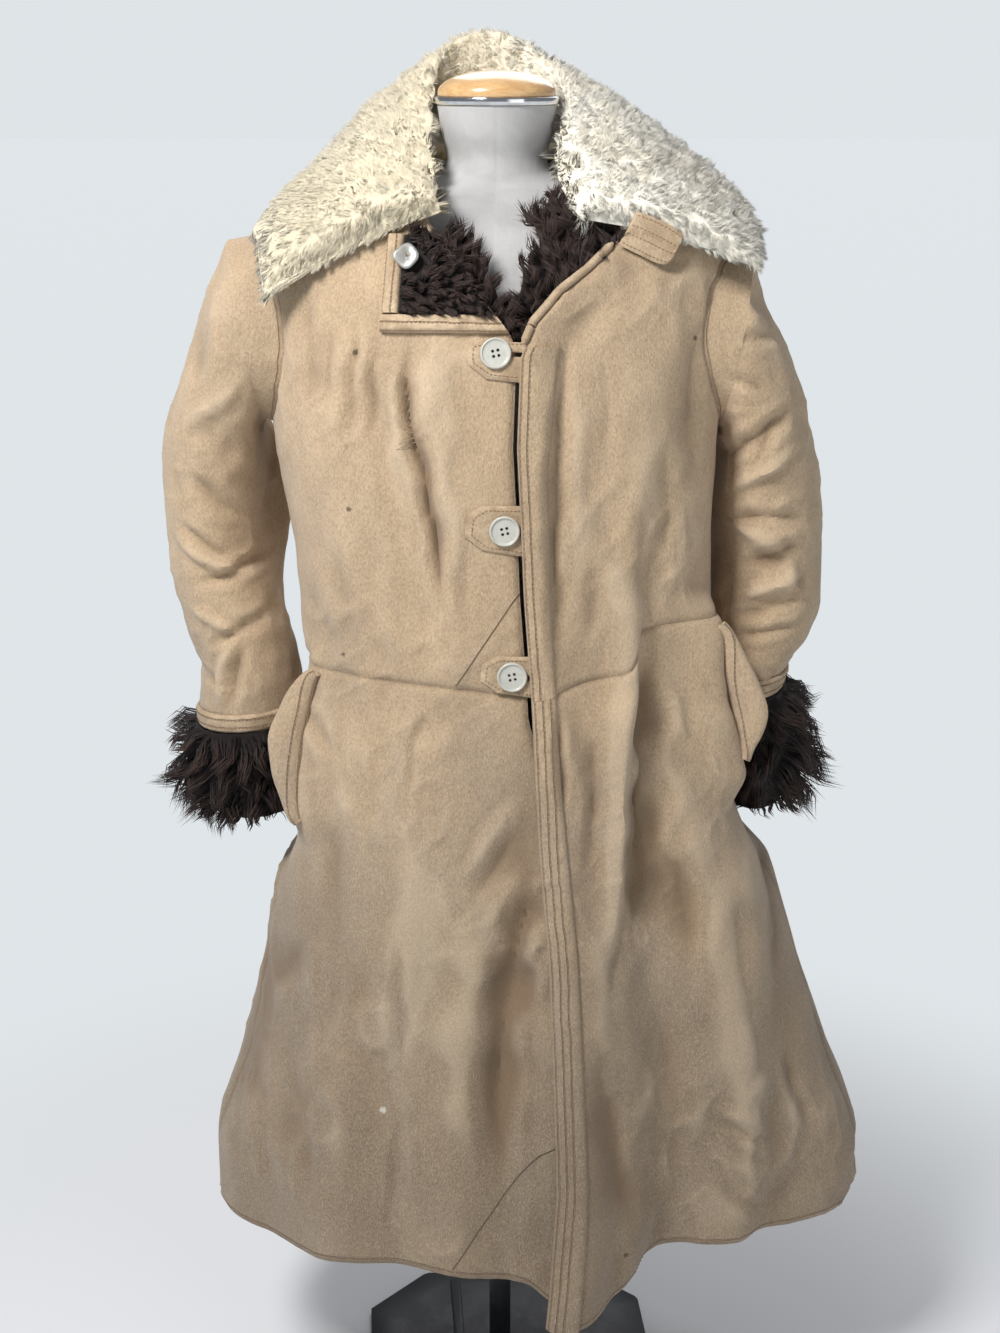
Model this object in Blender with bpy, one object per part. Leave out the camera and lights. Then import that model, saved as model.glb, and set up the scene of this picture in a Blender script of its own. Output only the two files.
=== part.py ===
"""Shearling coat on a limbless dress form.

Metres, +Z up, the front faces -Y and the wearer's left is +X. The origin is on the floor, under
the middle of the base plate. The coat's body is a stack of flat rounded sections. Its panels are
walls cut from that one surface, so they meet along shared seam lines. Angles run around the body
in degrees: 0 at the front centre, +90 at the wearer's left side, 180 at the centre back.
"""
import math
from collections import namedtuple

import bmesh
import bpy
import numpy as np
from mathutils import Matrix, Vector

# ---------------------------------------------------------------- driving dimensions
WALL = 0.006                # hide and clipped pile
SEAM = 0.0003               # parting between neighbouring pieces
ARMHOLE_HEIGHT = 1.230      # middle of the armhole
ARMHOLE_HALF_HEIGHT = 0.095
ARMHOLE_HALF_DEPTH = 0.080
ARMHOLE_MIDDLE = 0.005      # its place front to back
NECK_TOP = 1.398            # top row of the bodice
SIDE_SEAM_WAIST = -0.020    # the side seam's place front to back, at the waist and at the hem
SIDE_SEAM_HEM = -0.040
WAIST_NOMINAL = 0.905
HEM_NOMINAL = 0.245

FRONT_COLUMNS = 14          # wall cells across one front
BACK_COLUMNS = 20
LOWER_BODICE_ROWS = 4       # from the waist to the armpit
ARMHOLE_STEPS = 8           # from the armpit to the shoulder tip
SHOULDER_HEIGHTS = (1.340, 1.358, 1.378, NECK_TOP)
SKIRT_ROWS = 12

# ---------------------------------------------------------------- tables
Section = namedtuple("Section", "height centre half_width front back squareness")
BODY = (
    Section(0.180, 0.041, 0.356, 0.216, 0.206, 2.15),
    Section(0.245, 0.042, 0.366, 0.212, 0.205, 2.15),
    Section(0.310, 0.043, 0.367, 0.209, 0.200, 2.15),
    Section(0.437, 0.038, 0.330, 0.202, 0.188, 2.18),
    Section(0.520, 0.034, 0.307, 0.196, 0.178, 2.20),
    Section(0.620, 0.029, 0.279, 0.188, 0.163, 2.25),
    Section(0.700, 0.024, 0.257, 0.182, 0.150, 2.30),
    Section(0.800, 0.014, 0.236, 0.174, 0.133, 2.30),
    Section(0.900, 0.008, 0.216, 0.166, 0.121, 2.30),
    Section(1.000, 0.003, 0.217, 0.160, 0.120, 2.35),
    Section(1.115, -0.003, 0.226, 0.155, 0.125, 2.35),
    Section(1.200, -0.005, 0.232, 0.146, 0.126, 2.30),
    Section(1.270, -0.006, 0.238, 0.128, 0.120, 2.25),
    Section(1.325, -0.006, 0.243, 0.104, 0.108, 2.20),
    Section(1.340, -0.006, 0.214, 0.097, 0.100, 2.20),
    Section(1.370, -0.005, 0.157, 0.081, 0.086, 2.15),
    Section(1.400, -0.004, 0.100, 0.062, 0.068, 2.10),
)

# A fold follows a line down the body. Depth is outward, so a trough is negative.
Fold = namedtuple("Fold", "top bottom angle_top angle_bottom depth_top depth_bottom width")
FOLDS = (
    Fold(1.210, 0.910, -28.0, -16.0, -0.010, -0.005, 4.5),    # deep crease below the lapel
    Fold(1.200, 0.930, -40.0, -44.0, 0.005, 0.004, 7.0),
    Fold(1.160, 0.660, 32.0, 27.0, 0.008, 0.008, 5.0),        # long ridge through the waist
    Fold(1.120, 0.700, 41.0, 37.0, -0.006, -0.007, 6.0),
    Fold(0.880, 0.200, 30.0, 24.5, -0.006, -0.048, 9.0),      # wide trough down to the hem
    Fold(0.780, 0.200, 58.0, 39.0, 0.007, 0.016, 7.0),
    Fold(0.620, 0.200, 46.0, 44.0, 0.000, -0.052, 17.0),      # where the skirt turns to its side
    Fold(0.860, 0.200, -2.0, -4.0, -0.004, -0.010, 5.0),      # beside the closing edge
    Fold(0.700, 0.200, -21.0, -24.0, -0.004, -0.012, 6.0),
    Fold(0.640, 0.200, -38.0, -37.0, 0.004, 0.010, 7.0),
    Fold(0.600, 0.200, -60.0, -55.0, -0.004, -0.010, 7.0),
    Fold(0.930, 0.640, -96.0, -96.0, -0.030, -0.030, 21.0),   # where the cuffs press the sides in
    Fold(0.960, 0.650, 94.0, 94.0, -0.030, -0.036, 20.0),
    Fold(0.935, 0.700, -63.0, -62.0, 0.012, 0.014, 9.0),      # where the pocket edges stand out
    Fold(0.990, 0.740, 64.0, 62.0, 0.028, 0.030, 9.5),
    Fold(0.850, 0.200, 128.0, 124.0, 0.006, 0.016, 9.0),      # back skirt
    Fold(0.850, 0.200, 150.0, 147.0, -0.006, -0.016, 9.0),
    Fold(0.850, 0.200, 172.0, 170.0, 0.005, 0.014, 9.0),
    Fold(0.850, 0.200, 194.0, 197.0, -0.006, -0.016, 9.0),
    Fold(0.850, 0.200, 216.0, 222.0, 0.006, 0.016, 10.0),
    Fold(1.180, 0.930, 160.0, 166.0, -0.006, -0.004, 7.0),    # back bodice
    Fold(1.200, 0.930, 205.0, 200.0, 0.006, 0.004, 8.0),
)

SeamPoint = namedtuple("SeamPoint", "angle height")
WAIST_SEAM = (
    SeamPoint(-180, 0.935), SeamPoint(-90, 0.906), SeamPoint(-60, 0.900), SeamPoint(-25, 0.900),
    SeamPoint(-8, 0.896), SeamPoint(4, 0.890), SeamPoint(16, 0.901), SeamPoint(29, 0.913),
    SeamPoint(34, 0.944), SeamPoint(48, 0.952), SeamPoint(90, 0.953), SeamPoint(180, 0.935),
)
HEM_LINE = (
    SeamPoint(-180, 0.254), SeamPoint(-60, 0.250), SeamPoint(-38, 0.255), SeamPoint(-20, 0.255),
    SeamPoint(-10, 0.250), SeamPoint(-2, 0.243), SeamPoint(3, 0.217), SeamPoint(11, 0.223),
    SeamPoint(17, 0.235), SeamPoint(24, 0.248), SeamPoint(33, 0.256), SeamPoint(60, 0.257),
    SeamPoint(90, 0.253), SeamPoint(180, 0.254),
)

# The free edges at the front, as the distance from the middle at each height.
EdgePoint = namedtuple("EdgePoint", "height x")
RIGHT_EDGE = (
    EdgePoint(0.180, 0.074), EdgePoint(0.400, 0.080), EdgePoint(0.600, 0.070),
    EdgePoint(0.800, 0.047), EdgePoint(0.860, 0.030), EdgePoint(0.895, 0.022),
    EdgePoint(0.991, 0.016), EdgePoint(1.060, 0.012), EdgePoint(1.137, 0.008),
    EdgePoint(1.243, 0.010), EdgePoint(1.330, -0.058), EdgePoint(1.370, -0.083),
    EdgePoint(1.400, -0.094),
)
LEFT_EDGE = (
    EdgePoint(0.180, 0.052), EdgePoint(0.274, 0.058), EdgePoint(0.368, 0.062),
    EdgePoint(0.496, 0.057), EdgePoint(0.621, 0.051), EdgePoint(0.737, 0.040),
    EdgePoint(0.808, 0.035), EdgePoint(0.899, 0.030), EdgePoint(0.991, 0.023),
    EdgePoint(1.060, 0.020), EdgePoint(1.137, 0.016), EdgePoint(1.221, 0.019),
    EdgePoint(1.252, 0.033), EdgePoint(1.279, 0.057), EdgePoint(1.301, 0.086),
    EdgePoint(1.327, 0.114), EdgePoint(1.350, 0.116), EdgePoint(1.375, 0.108),
    EdgePoint(1.400, 0.088),
)
# How far the left front stands off, over the right one, along its closing edge.
Proud = namedtuple("Proud", "height lift reach")
LEFT_PROUD = (
    Proud(0.180, 0.048, 0.048), Proud(0.245, 0.044, 0.048), Proud(0.400, 0.028, 0.050),
    Proud(0.600, 0.017, 0.048), Proud(0.800, 0.0125, 0.040), Proud(0.900, 0.012, 0.040),
    Proud(1.245, 0.012, 0.040), Proud(1.300, 0.005, 0.045), Proud(1.330, 0.000, 0.045),
    Proud(1.400, 0.000, 0.045),
)

# A sleeve's rings: its outer and inner points as seen from the front, its depth, and how far the
# slack behind the armpit reaches towards the body.
SleeveRing = namedtuple("SleeveRing", "outer_x outer_z inner_x inner_z half_depth middle tuck")
TUCK_TURN = 222.0           # the place of that slack round the sleeve, in degrees
TUCK_WIDTH = 30.0
SLEEVE_RIGHT = (
    SleeveRing(-0.274, 1.319, -0.236, 1.136, 0.080, 0.006, 0.000),
    SleeveRing(-0.293, 1.280, -0.243, 1.130, 0.080, 0.008, 0.000),
    SleeveRing(-0.312, 1.230, -0.247, 1.118, 0.078, 0.010, 0.010),
    SleeveRing(-0.334, 1.170, -0.250, 1.098, 0.075, 0.014, 0.030),
    SleeveRing(-0.351, 1.115, -0.251, 1.070, 0.072, 0.018, 0.044),
    SleeveRing(-0.354, 1.066, -0.253, 1.038, 0.070, 0.022, 0.044),
    SleeveRing(-0.352, 1.012, -0.250, 1.000, 0.069, 0.024, 0.034),
    SleeveRing(-0.348, 0.958, -0.240, 0.960, 0.068, 0.024, 0.016),
    SleeveRing(-0.335, 0.905, -0.226, 0.912, 0.066, 0.022, 0.000),
    SleeveRing(-0.323, 0.866, -0.217, 0.868, 0.064, 0.020, 0.000),
    SleeveRing(-0.326, 0.824, -0.213, 0.834, 0.062, 0.018, 0.000),
    SleeveRing(-0.320, 0.777, -0.213, 0.788, 0.060, 0.018, 0.000),
    SleeveRing(-0.314, 0.732, -0.216, 0.740, 0.057, 0.018, 0.000),
)
SLEEVE_LEFT = (
    SleeveRing(0.253, 1.312, 0.224, 1.136, 0.080, 0.006, 0.000),
    SleeveRing(0.268, 1.262, 0.228, 1.130, 0.080, 0.008, 0.000),
    SleeveRing(0.292, 1.215, 0.230, 1.116, 0.078, 0.010, 0.012),
    SleeveRing(0.314, 1.162, 0.231, 1.092, 0.075, 0.014, 0.026),
    SleeveRing(0.328, 1.108, 0.231, 1.062, 0.072, 0.018, 0.032),
    SleeveRing(0.338, 1.052, 0.230, 1.028, 0.070, 0.022, 0.032),
    SleeveRing(0.342, 1.000, 0.230, 0.990, 0.069, 0.024, 0.030),
    SleeveRing(0.342, 0.950, 0.229, 0.950, 0.068, 0.024, 0.030),
    SleeveRing(0.334, 0.910, 0.228, 0.915, 0.067, 0.022, 0.018),
    SleeveRing(0.314, 0.884, 0.228, 0.878, 0.067, 0.020, 0.000),
    SleeveRing(0.302, 0.842, 0.235, 0.836, 0.066, 0.020, 0.000),
    SleeveRing(0.304, 0.792, 0.240, 0.788, 0.064, 0.022, 0.000),
    SleeveRing(0.308, 0.746, 0.245, 0.742, 0.062, 0.022, 0.000),
)

# Cuffs: height along the sleeve's end and how far the fur reaches outward, inward and below.
CuffRing = namedtuple("CuffRing", "height reach_out reach_in reach_depth")
CUFF_RIGHT = (
    CuffRing(0.811, 0.020, 0.006, 0.014), CuffRing(0.795, 0.048, 0.007, 0.022),
    CuffRing(0.772, 0.056, 0.007, 0.026), CuffRing(0.747, 0.050, 0.006, 0.024),
    CuffRing(0.725, 0.026, 0.005, 0.016), CuffRing(0.713, 0.004, 0.000, 0.004),
)
CUFF_LEFT = (
    CuffRing(0.848, 0.020, 0.004, 0.014), CuffRing(0.830, 0.044, 0.005, 0.020),
    CuffRing(0.805, 0.058, 0.005, 0.024), CuffRing(0.775, 0.066, 0.005, 0.024),
    CuffRing(0.748, 0.050, 0.004, 0.018), CuffRing(0.724, 0.008, 0.000, 0.006),
)
BAND_THICKNESS = 0.0035
BAND_HEIGHT = 0.020

# The collar, by plan angle from one front end round the back to the other. Each station has the
# neckline, the roll and the outer edge.
Station = namedtuple("Station", "neck roll edge")
COLLAR_RIGHT = (
    Station((-0.066, -0.096, 1.346), (-0.066, -0.100, 1.366), (-0.222, -0.102, 1.275)),
    Station((-0.076, -0.072, 1.366), (-0.070, -0.066, 1.392), (-0.232, -0.055, 1.318)),
    Station((-0.085, -0.040, 1.390), (-0.073, -0.036, 1.424), (-0.233, 0.000, 1.343)),
    Station((-0.091, 0.000, 1.408), (-0.0745, 0.010, 1.454), (-0.226, 0.048, 1.344)),
    Station((-0.084, 0.038, 1.412), (-0.070, 0.054, 1.484), (-0.202, 0.100, 1.348)),
    Station((-0.060, 0.063, 1.414), (-0.056, 0.086, 1.506), (-0.146, 0.140, 1.350)),
    Station((-0.031, 0.074, 1.414), (-0.030, 0.100, 1.519), (-0.076, 0.160, 1.352)),
)
COLLAR_BACK = Station((0.000, 0.078, 1.414), (0.000, 0.105, 1.521), (0.002, 0.168, 1.354))
COLLAR_LEFT = (
    Station((0.031, 0.074, 1.414), (0.031, 0.100, 1.507), (0.078, 0.160, 1.352)),
    Station((0.060, 0.063, 1.414), (0.052, 0.086, 1.493), (0.150, 0.140, 1.350)),
    Station((0.084, 0.038, 1.412), (0.067, 0.054, 1.476), (0.206, 0.100, 1.350)),
    Station((0.092, 0.000, 1.408), (0.070, 0.010, 1.456), (0.238, 0.048, 1.348)),
    Station((0.096, -0.036, 1.392), (0.064, -0.034, 1.426), (0.248, -0.002, 1.336)),
    Station((0.096, -0.066, 1.366), (0.062, -0.064, 1.394), (0.250, -0.050, 1.320)),
    Station((0.100, -0.090, 1.341), (0.082, -0.098, 1.356), (0.244, -0.090, 1.302)),
)
COLLAR_STEPS = 2            # spans between two stations
COLLAR_FUR = 0.023          # height of the fur over the fall
STAND_FUR = 0.010
UNDERSIDE_LIFT = 0.0046     # over the bodice
# Places along the fall, from the roll to the edge, with the share of the fur's height there.
FallPoint = namedtuple("FallPoint", "along fur")
FALL = (FallPoint(0.10, 0.45), FallPoint(0.30, 0.95), FallPoint(0.55, 1.00), FallPoint(0.80, 0.90),
        FallPoint(0.97, 0.55))

# The dress form under the coat, and its neck.
FORM = (
    Section(0.762, 0.000, 0.166, 0.108, 0.106, 2.1),
    Section(0.790, 0.000, 0.171, 0.114, 0.112, 2.1),
    Section(0.840, 0.000, 0.168, 0.114, 0.108, 2.1),
    Section(0.920, 0.000, 0.150, 0.104, 0.094, 2.1),
    Section(1.000, 0.000, 0.138, 0.098, 0.084, 2.1),
    Section(1.080, -0.001, 0.155, 0.112, 0.092, 2.1),
    Section(1.150, -0.003, 0.176, 0.122, 0.100, 2.1),
    Section(1.200, -0.004, 0.186, 0.118, 0.104, 2.1),
    Section(1.250, -0.005, 0.198, 0.106, 0.102, 2.1),
    Section(1.300, -0.006, 0.206, 0.086, 0.095, 2.1),
    Section(1.325, -0.006, 0.205, 0.071, 0.086, 2.1),
    Section(1.340, -0.006, 0.193, 0.063, 0.078, 2.1),
    Section(1.352, -0.006, 0.1765, 0.058, 0.072, 2.1),
    Section(1.366, -0.005, 0.150, 0.054, 0.064, 2.1),
    Section(1.373, -0.004, 0.122, 0.053, 0.060, 2.0),
    Section(1.378, -0.003, 0.085, 0.052, 0.056, 2.0),
    Section(1.386, -0.003, 0.056, 0.051, 0.053, 2.0),
    Section(1.400, -0.003, 0.050, 0.050, 0.050, 2.0),
    Section(1.425, -0.003, 0.055, 0.055, 0.055, 2.0),
    Section(1.4505, -0.003, 0.059, 0.059, 0.059, 2.0),
)
FORM_COLUMNS = 24
NECK_CENTRE = -0.003
RING_RADIUS = 0.061
RING_BOTTOM = 1.4508
RING_TOP = 1.4585
CAP_RADIUS = 0.0585
CAP_TOP = 1.4835

PLATE_HALF = 0.167
PLATE_X = 0.013             # its middle, beside the pole
PLATE_CHAMFER = 0.070
PLATE_THICKNESS = 0.008
PLATE_TURN = math.radians(4.0)
BAR_X = -0.060
BAR_WIDTH = 0.012
BAR_LENGTH = 0.290
BAR_HEIGHT = 0.004
POLE_RADIUS = 0.0125

# Buttons lie on the tabs, at these places on the right front.
BUTTON_RADIUS = 0.015
BUTTON_THICKNESS = 0.0045
BUTTON_RIM = 0.0022
BUTTON_HOLE_RADIUS = 0.0012
BUTTON_HOLE_SPACING = 0.0032
SHANK_RADIUS = 0.0014
Fastening = namedtuple("Fastening", "x height tilt tip_x rise drop")
FASTENINGS = (
    Fastening(-0.004, 1.2255, -3.0, -0.026, 0.0120, 0.0260),
    Fastening(0.0045, 1.0580, -6.0, -0.038, 0.0260, 0.0240),
    Fastening(0.012, 0.9120, -6.0, -0.031, 0.0220, 0.0200),
)
TAB_THICKNESS = 0.0024
TAB_LIFT = 0.0009           # over the front's facets
TAB_UNDER = 0.009           # how far a tab runs in under the left front
SLOT_HALF_WIDTH = 0.0019

# The open corner of the right front: its top, bottom and left edges.
LAPEL_TOP = 1.331
LAPEL_BOTTOM = 1.2440
LAPEL_OUTER_TOP = -0.107
LAPEL_OUTER_BOTTOM = -0.114
LAPEL_BAND = 0.017
LAPEL_LIFT = 0.0010
LAPEL_BAND_TOP = 0.0085
LAPEL_FUR_TOP = 0.0150

# Pocket welts, from the top down: the line sewn to the body, and the free outer edge.
WeltPoint = namedtuple("WeltPoint", "height angle lift free_x free_y")
WELT_RIGHT = (
    WeltPoint(0.896, -58.0, 0.0008, -0.205, -0.092), WeltPoint(0.862, -60.0, 0.0008, -0.224, -0.098),
    WeltPoint(0.822, -61.0, 0.0008, -0.239, -0.100), WeltPoint(0.790, -61.0, 0.0008, -0.237, -0.099),
    WeltPoint(0.760, -61.0, 0.0008, -0.230, -0.099), WeltPoint(0.734, -60.0, 0.0008, -0.224, -0.103),
)
WELT_LEFT = (
    WeltPoint(0.944, 63.0, 0.0008, 0.231, -0.086), WeltPoint(0.911, 65.0, 0.0008, 0.251, -0.090),
    WeltPoint(0.880, 66.0, 0.0014, 0.267, -0.094), WeltPoint(0.850, 66.5, 0.0024, 0.276, -0.096),
    WeltPoint(0.824, 66.5, 0.0016, 0.272, -0.096), WeltPoint(0.800, 65.0, 0.0008, 0.262, -0.096),
)
WELT_THICKNESS = 0.005
WELT_CROWN = 0.0032

# The loose tab on the collar's left end, from the neckline to its point: lower and upper edge.
TabRow = namedtuple("TabRow", "low high")
COLLAR_TAB = (
    TabRow((0.1135, -0.0970, 1.3240), (0.1305, -0.0960, 1.3550)),
    TabRow((0.1330, -0.0985, 1.3145), (0.1515, -0.0957, 1.3475)),
    TabRow((0.1540, -0.0980, 1.3055), (0.1725, -0.0947, 1.3355)),
    TabRow((0.1645, -0.0970, 1.3080), (0.1740, -0.0945, 1.3285)),
)
PLACKET_LIFT = 0.0010
PLACKET_THICKNESS = 0.0025
PLACKET_SHARE = 0.97        # its width, as a share of the front's first cells
PLACKET_SHARE_HEM = 0.66
PIPING_RADIUS = 0.004
PIPING_LIFT = 0.0008        # its parting from the edge it follows
PIPING_LOW = 1.232
PIPING_HIGH = 1.322

# The four-lobed disc that backs a button, on the turned-back corner.
DISC_X = -0.087
DISC_HEIGHT = 1.309
DISC_RADIUS = 0.0150
DISC_LOBE = 0.09
DiscRing = namedtuple("DiscRing", "height size")
DISC = (DiscRing(0.0, 0.93), DiscRing(0.0008, 1.0), DiscRing(0.0016, 0.95), DiscRing(0.0021, 0.80))

# Fur inside the neck opening: how far it reaches out from under each front's free edge.
FurReach = namedtuple("FurReach", "height reach")
NECK_FUR_RIGHT = (
    FurReach(1.244, 0.003), FurReach(1.262, 0.010), FurReach(1.285, 0.014), FurReach(1.308, 0.015),
    FurReach(1.332, 0.014),
)
NECK_FUR_LEFT = (
    FurReach(1.228, 0.005), FurReach(1.252, 0.024), FurReach(1.276, 0.040), FurReach(1.300, 0.056),
    FurReach(1.326, 0.076), FurReach(1.345, 0.080), FurReach(1.360, 0.070),
)
NECK_FUR_TOP = -0.0072      # under the hide's inner face
NECK_FUR_BOTTOM = -0.0205

SUEDE = ("suede", (0.50, 0.36, 0.23), 0.95, 0.0)
BINDING = ("binding", (0.60, 0.45, 0.29), 0.90, 0.0)
CREAM_FUR = ("cream_fur", (0.84, 0.75, 0.52), 0.95, 0.0)
DARK_FUR = ("dark_fur", (0.035, 0.026, 0.022), 0.90, 0.0)
IVORY = ("ivory", (0.80, 0.79, 0.70), 0.35, 0.0)
LINEN = ("linen", (0.62, 0.60, 0.58), 0.90, 0.0)
WOOD = ("wood", (0.62, 0.38, 0.17), 0.40, 0.0)
CHROME = ("chrome", (0.75, 0.75, 0.75), 0.15, 1.0)
BLACK = ("black_steel", (0.012, 0.013, 0.016), 0.50, 0.3)


# ---------------------------------------------------------------- curves and sections
def blend(a, b, t):
    return a + (b - a) * t


def smooth_step(t):
    t = min(max(t, 0.0), 1.0)
    return t * t * (3.0 - 2.0 * t)


def read_linear(table, key, value, at):
    """A column of a table at one place, in straight runs."""
    keys = [getattr(row, key) for row in table]
    values = [getattr(row, value) for row in table]
    return float(np.interp(at, keys, values))


def read_smooth(table, key, value, at):
    """A column of a table at one place, on a curve that never swings past its own rows."""
    keys = [getattr(row, key) for row in table]
    values = [getattr(row, value) for row in table]
    last = len(keys) - 2
    k = min(max(int(np.searchsorted(keys, at)) - 1, 0), last)
    slopes = np.diff(values) / np.diff(keys)

    def tangent(i):
        if i == 0 or i == last + 1:
            return slopes[min(i, last)]
        before, after = slopes[i - 1], slopes[i]
        if before * after <= 0.0:
            return 0.0
        return 2.0 * before * after / (before + after)

    span = keys[k + 1] - keys[k]
    t = min(max((at - keys[k]) / span, 0.0), 1.0)
    start, end = values[k], values[k + 1]
    hermite = (2 * t ** 3 - 3 * t ** 2 + 1) * start + (3 * t ** 2 - 2 * t ** 3) * end
    bend = (t ** 3 - 2 * t ** 2 + t) * tangent(k) + (t ** 3 - t ** 2) * tangent(k + 1)
    return hermite + bend * span


def section_at(table, height):
    columns = ("centre", "half_width", "front", "back", "squareness")
    return [read_smooth(table, "height", column, height) for column in columns]


def section_point(table, angle, height):
    """A point of a rounded section at an angle and a height."""
    centre, half_width, front, back, squareness = section_at(table, height)
    turn = math.radians(angle)
    side = math.copysign(abs(math.sin(turn)) ** (2.0 / squareness), math.sin(turn))
    ahead = abs(math.cos(turn)) ** (2.0 / squareness)
    depth = -front * ahead if math.cos(turn) > 0 else back * ahead
    return Vector((centre + half_width * side, depth, height))


def fold_depth(angle, height):
    """The sum of the folds at one place of the body."""
    total = 0.0
    for fold in FOLDS:
        t = (fold.top - height) / (fold.top - fold.bottom)
        ends = smooth_step(t / 0.25) * smooth_step((1.0 - t) / 0.2 if fold.bottom > 0.3 else 1.0)
        if ends <= 0.0:
            continue
        away = (angle - blend(fold.angle_top, fold.angle_bottom, t) + 180.0) % 360.0 - 180.0
        depth = blend(fold.depth_top, fold.depth_bottom, min(t, 1.0))
        total += depth * ends * math.exp(-(away / fold.width) ** 2)
    return total


def folded_point(angle, height):
    flat = section_point(BODY, angle, height)
    centre = section_at(BODY, height)[0]
    outward = Vector((flat.x - centre, flat.y, 0.0)).normalized()
    return flat + outward * fold_depth(angle, height)


def body_point(angle, height, lift=0.0):
    """A point of the coat's outer face, moved out along the surface's own direction."""
    here = folded_point(angle, height)
    across = folded_point(angle + 1.0, height) - folded_point(angle - 1.0, height)
    up = folded_point(angle, height + 0.004) - folded_point(angle, height - 0.004)
    return here + across.cross(up).normalized() * lift


def angle_at_x(x, height):
    """The front angle where a section reaches x."""
    centre, half_width, _, _, squareness = section_at(BODY, height)
    share = min(abs(x - centre) / half_width, 1.0) ** (squareness / 2.0)
    return math.copysign(math.degrees(math.asin(share)), x - centre)


def angle_at_y(y, height, side):
    """The side angle where a section reaches y."""
    _, _, front, back, squareness = section_at(BODY, height)
    reach = front if y < 0.0 else back
    share = min(abs(y) / reach, 1.0) ** (squareness / 2.0)
    angle = math.degrees(math.acos(share))
    return side * (angle if y < 0.0 else 180.0 - angle)


def front_point(x, height, lift=0.0):
    return body_point(angle_at_x(x, height), height, lift)


# ---------------------------------------------------------------- seams and edges
def armhole_height(step):
    turn = math.radians(-90.0 + 180.0 * step / ARMHOLE_STEPS)
    return ARMHOLE_HEIGHT + ARMHOLE_HALF_HEIGHT * math.sin(turn)


ARMPIT = armhole_height(0)
SHOULDER_TIP = armhole_height(ARMHOLE_STEPS)


def side_edge_y(height, facing):
    """The side edge of a front (facing -1) or of the back (facing +1), front to back."""
    if height >= SHOULDER_TIP:
        return ARMHOLE_MIDDLE
    if height > ARMPIT:
        rise = (height - ARMHOLE_HEIGHT) / ARMHOLE_HALF_HEIGHT
        return ARMHOLE_MIDDLE + facing * ARMHOLE_HALF_DEPTH * math.sqrt(1.0 - rise * rise)
    if height > WAIST_NOMINAL:
        return blend(SIDE_SEAM_WAIST, ARMHOLE_MIDDLE, (height - WAIST_NOMINAL) / (ARMPIT - WAIST_NOMINAL))
    return blend(SIDE_SEAM_HEM, SIDE_SEAM_WAIST, (height - HEM_NOMINAL) / (WAIST_NOMINAL - HEM_NOMINAL))


def seam_degrees(height):
    """Half the seam's parting as an angle."""
    return math.degrees(0.5 * SEAM / section_at(BODY, height)[1])


def front_edges(height, side):
    """The closing edge's and the side edge's angles of a front at one height."""
    table = RIGHT_EDGE if side < 0 else LEFT_EDGE
    closing = angle_at_x(read_linear(table, "height", "x", height), height)
    sideways = angle_at_y(side_edge_y(height, -1), height, side) - side * seam_degrees(height)
    return closing, sideways


def back_edges(height):
    """The back's two edges, from the wearer's left round to the right."""
    left = angle_at_y(side_edge_y(height, 1), height, 1) + seam_degrees(height)
    right = 360.0 + angle_at_y(side_edge_y(height, 1), height, -1) - seam_degrees(height)
    return left, right


def seam_height(table, angle):
    return read_smooth(table, "angle", "height", (angle + 180.0) % 360.0 - 180.0)


def bodice_height(row, angle):
    if row < LOWER_BODICE_ROWS:
        low = seam_height(WAIST_SEAM, angle) + 0.5 * SEAM
        return blend(low, ARMPIT, row / LOWER_BODICE_ROWS)
    step = row - LOWER_BODICE_ROWS
    if step <= ARMHOLE_STEPS:
        return armhole_height(step)
    return SHOULDER_HEIGHTS[step - ARMHOLE_STEPS - 1]


BODICE_ROWS = LOWER_BODICE_ROWS + ARMHOLE_STEPS + len(SHOULDER_HEIGHTS)


def skirt_height(row, angle):
    top = seam_height(WAIST_SEAM, angle) - 0.5 * SEAM
    return blend(seam_height(HEM_LINE, angle), top, row / SKIRT_ROWS)


def left_proud(angle, height):
    """How far the left front stands off near its closing edge."""
    covered = read_linear(RIGHT_EDGE, "height", "x", height)
    start = max(covered + 0.003, read_linear(LEFT_EDGE, "height", "x", height) + 0.012)
    reach = read_linear(LEFT_PROUD, "height", "reach", height)
    away = (folded_point(angle, height).x - start) / reach
    return read_smooth(LEFT_PROUD, "height", "lift", height) * (1.0 - smooth_step(away))


def no_lift(_angle, _height):
    return 0.0


# ---------------------------------------------------------------- meshes
def material_of(finish):
    name, colour, roughness, metallic = finish
    found = bpy.data.materials.get(name)
    if found:
        return found
    material = bpy.data.materials.new(name)
    material.use_nodes = True
    shader = material.node_tree.nodes["Principled BSDF"]
    shader.inputs["Base Color"].default_value = (*colour, 1.0)
    shader.inputs["Roughness"].default_value = roughness
    shader.inputs["Metallic"].default_value = metallic
    return material


def add_object(name, bm, finish):
    bmesh.ops.recalc_face_normals(bm, faces=bm.faces)
    mesh = bpy.data.meshes.new(name)
    bm.to_mesh(mesh)
    bm.free()
    mesh.shade_smooth()
    mesh.set_sharp_from_angle(angle=math.radians(40.0))
    mesh.materials.append(material_of(finish))
    thing = bpy.data.objects.new(name, mesh)
    bpy.context.scene.collection.objects.link(thing)
    return thing


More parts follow.
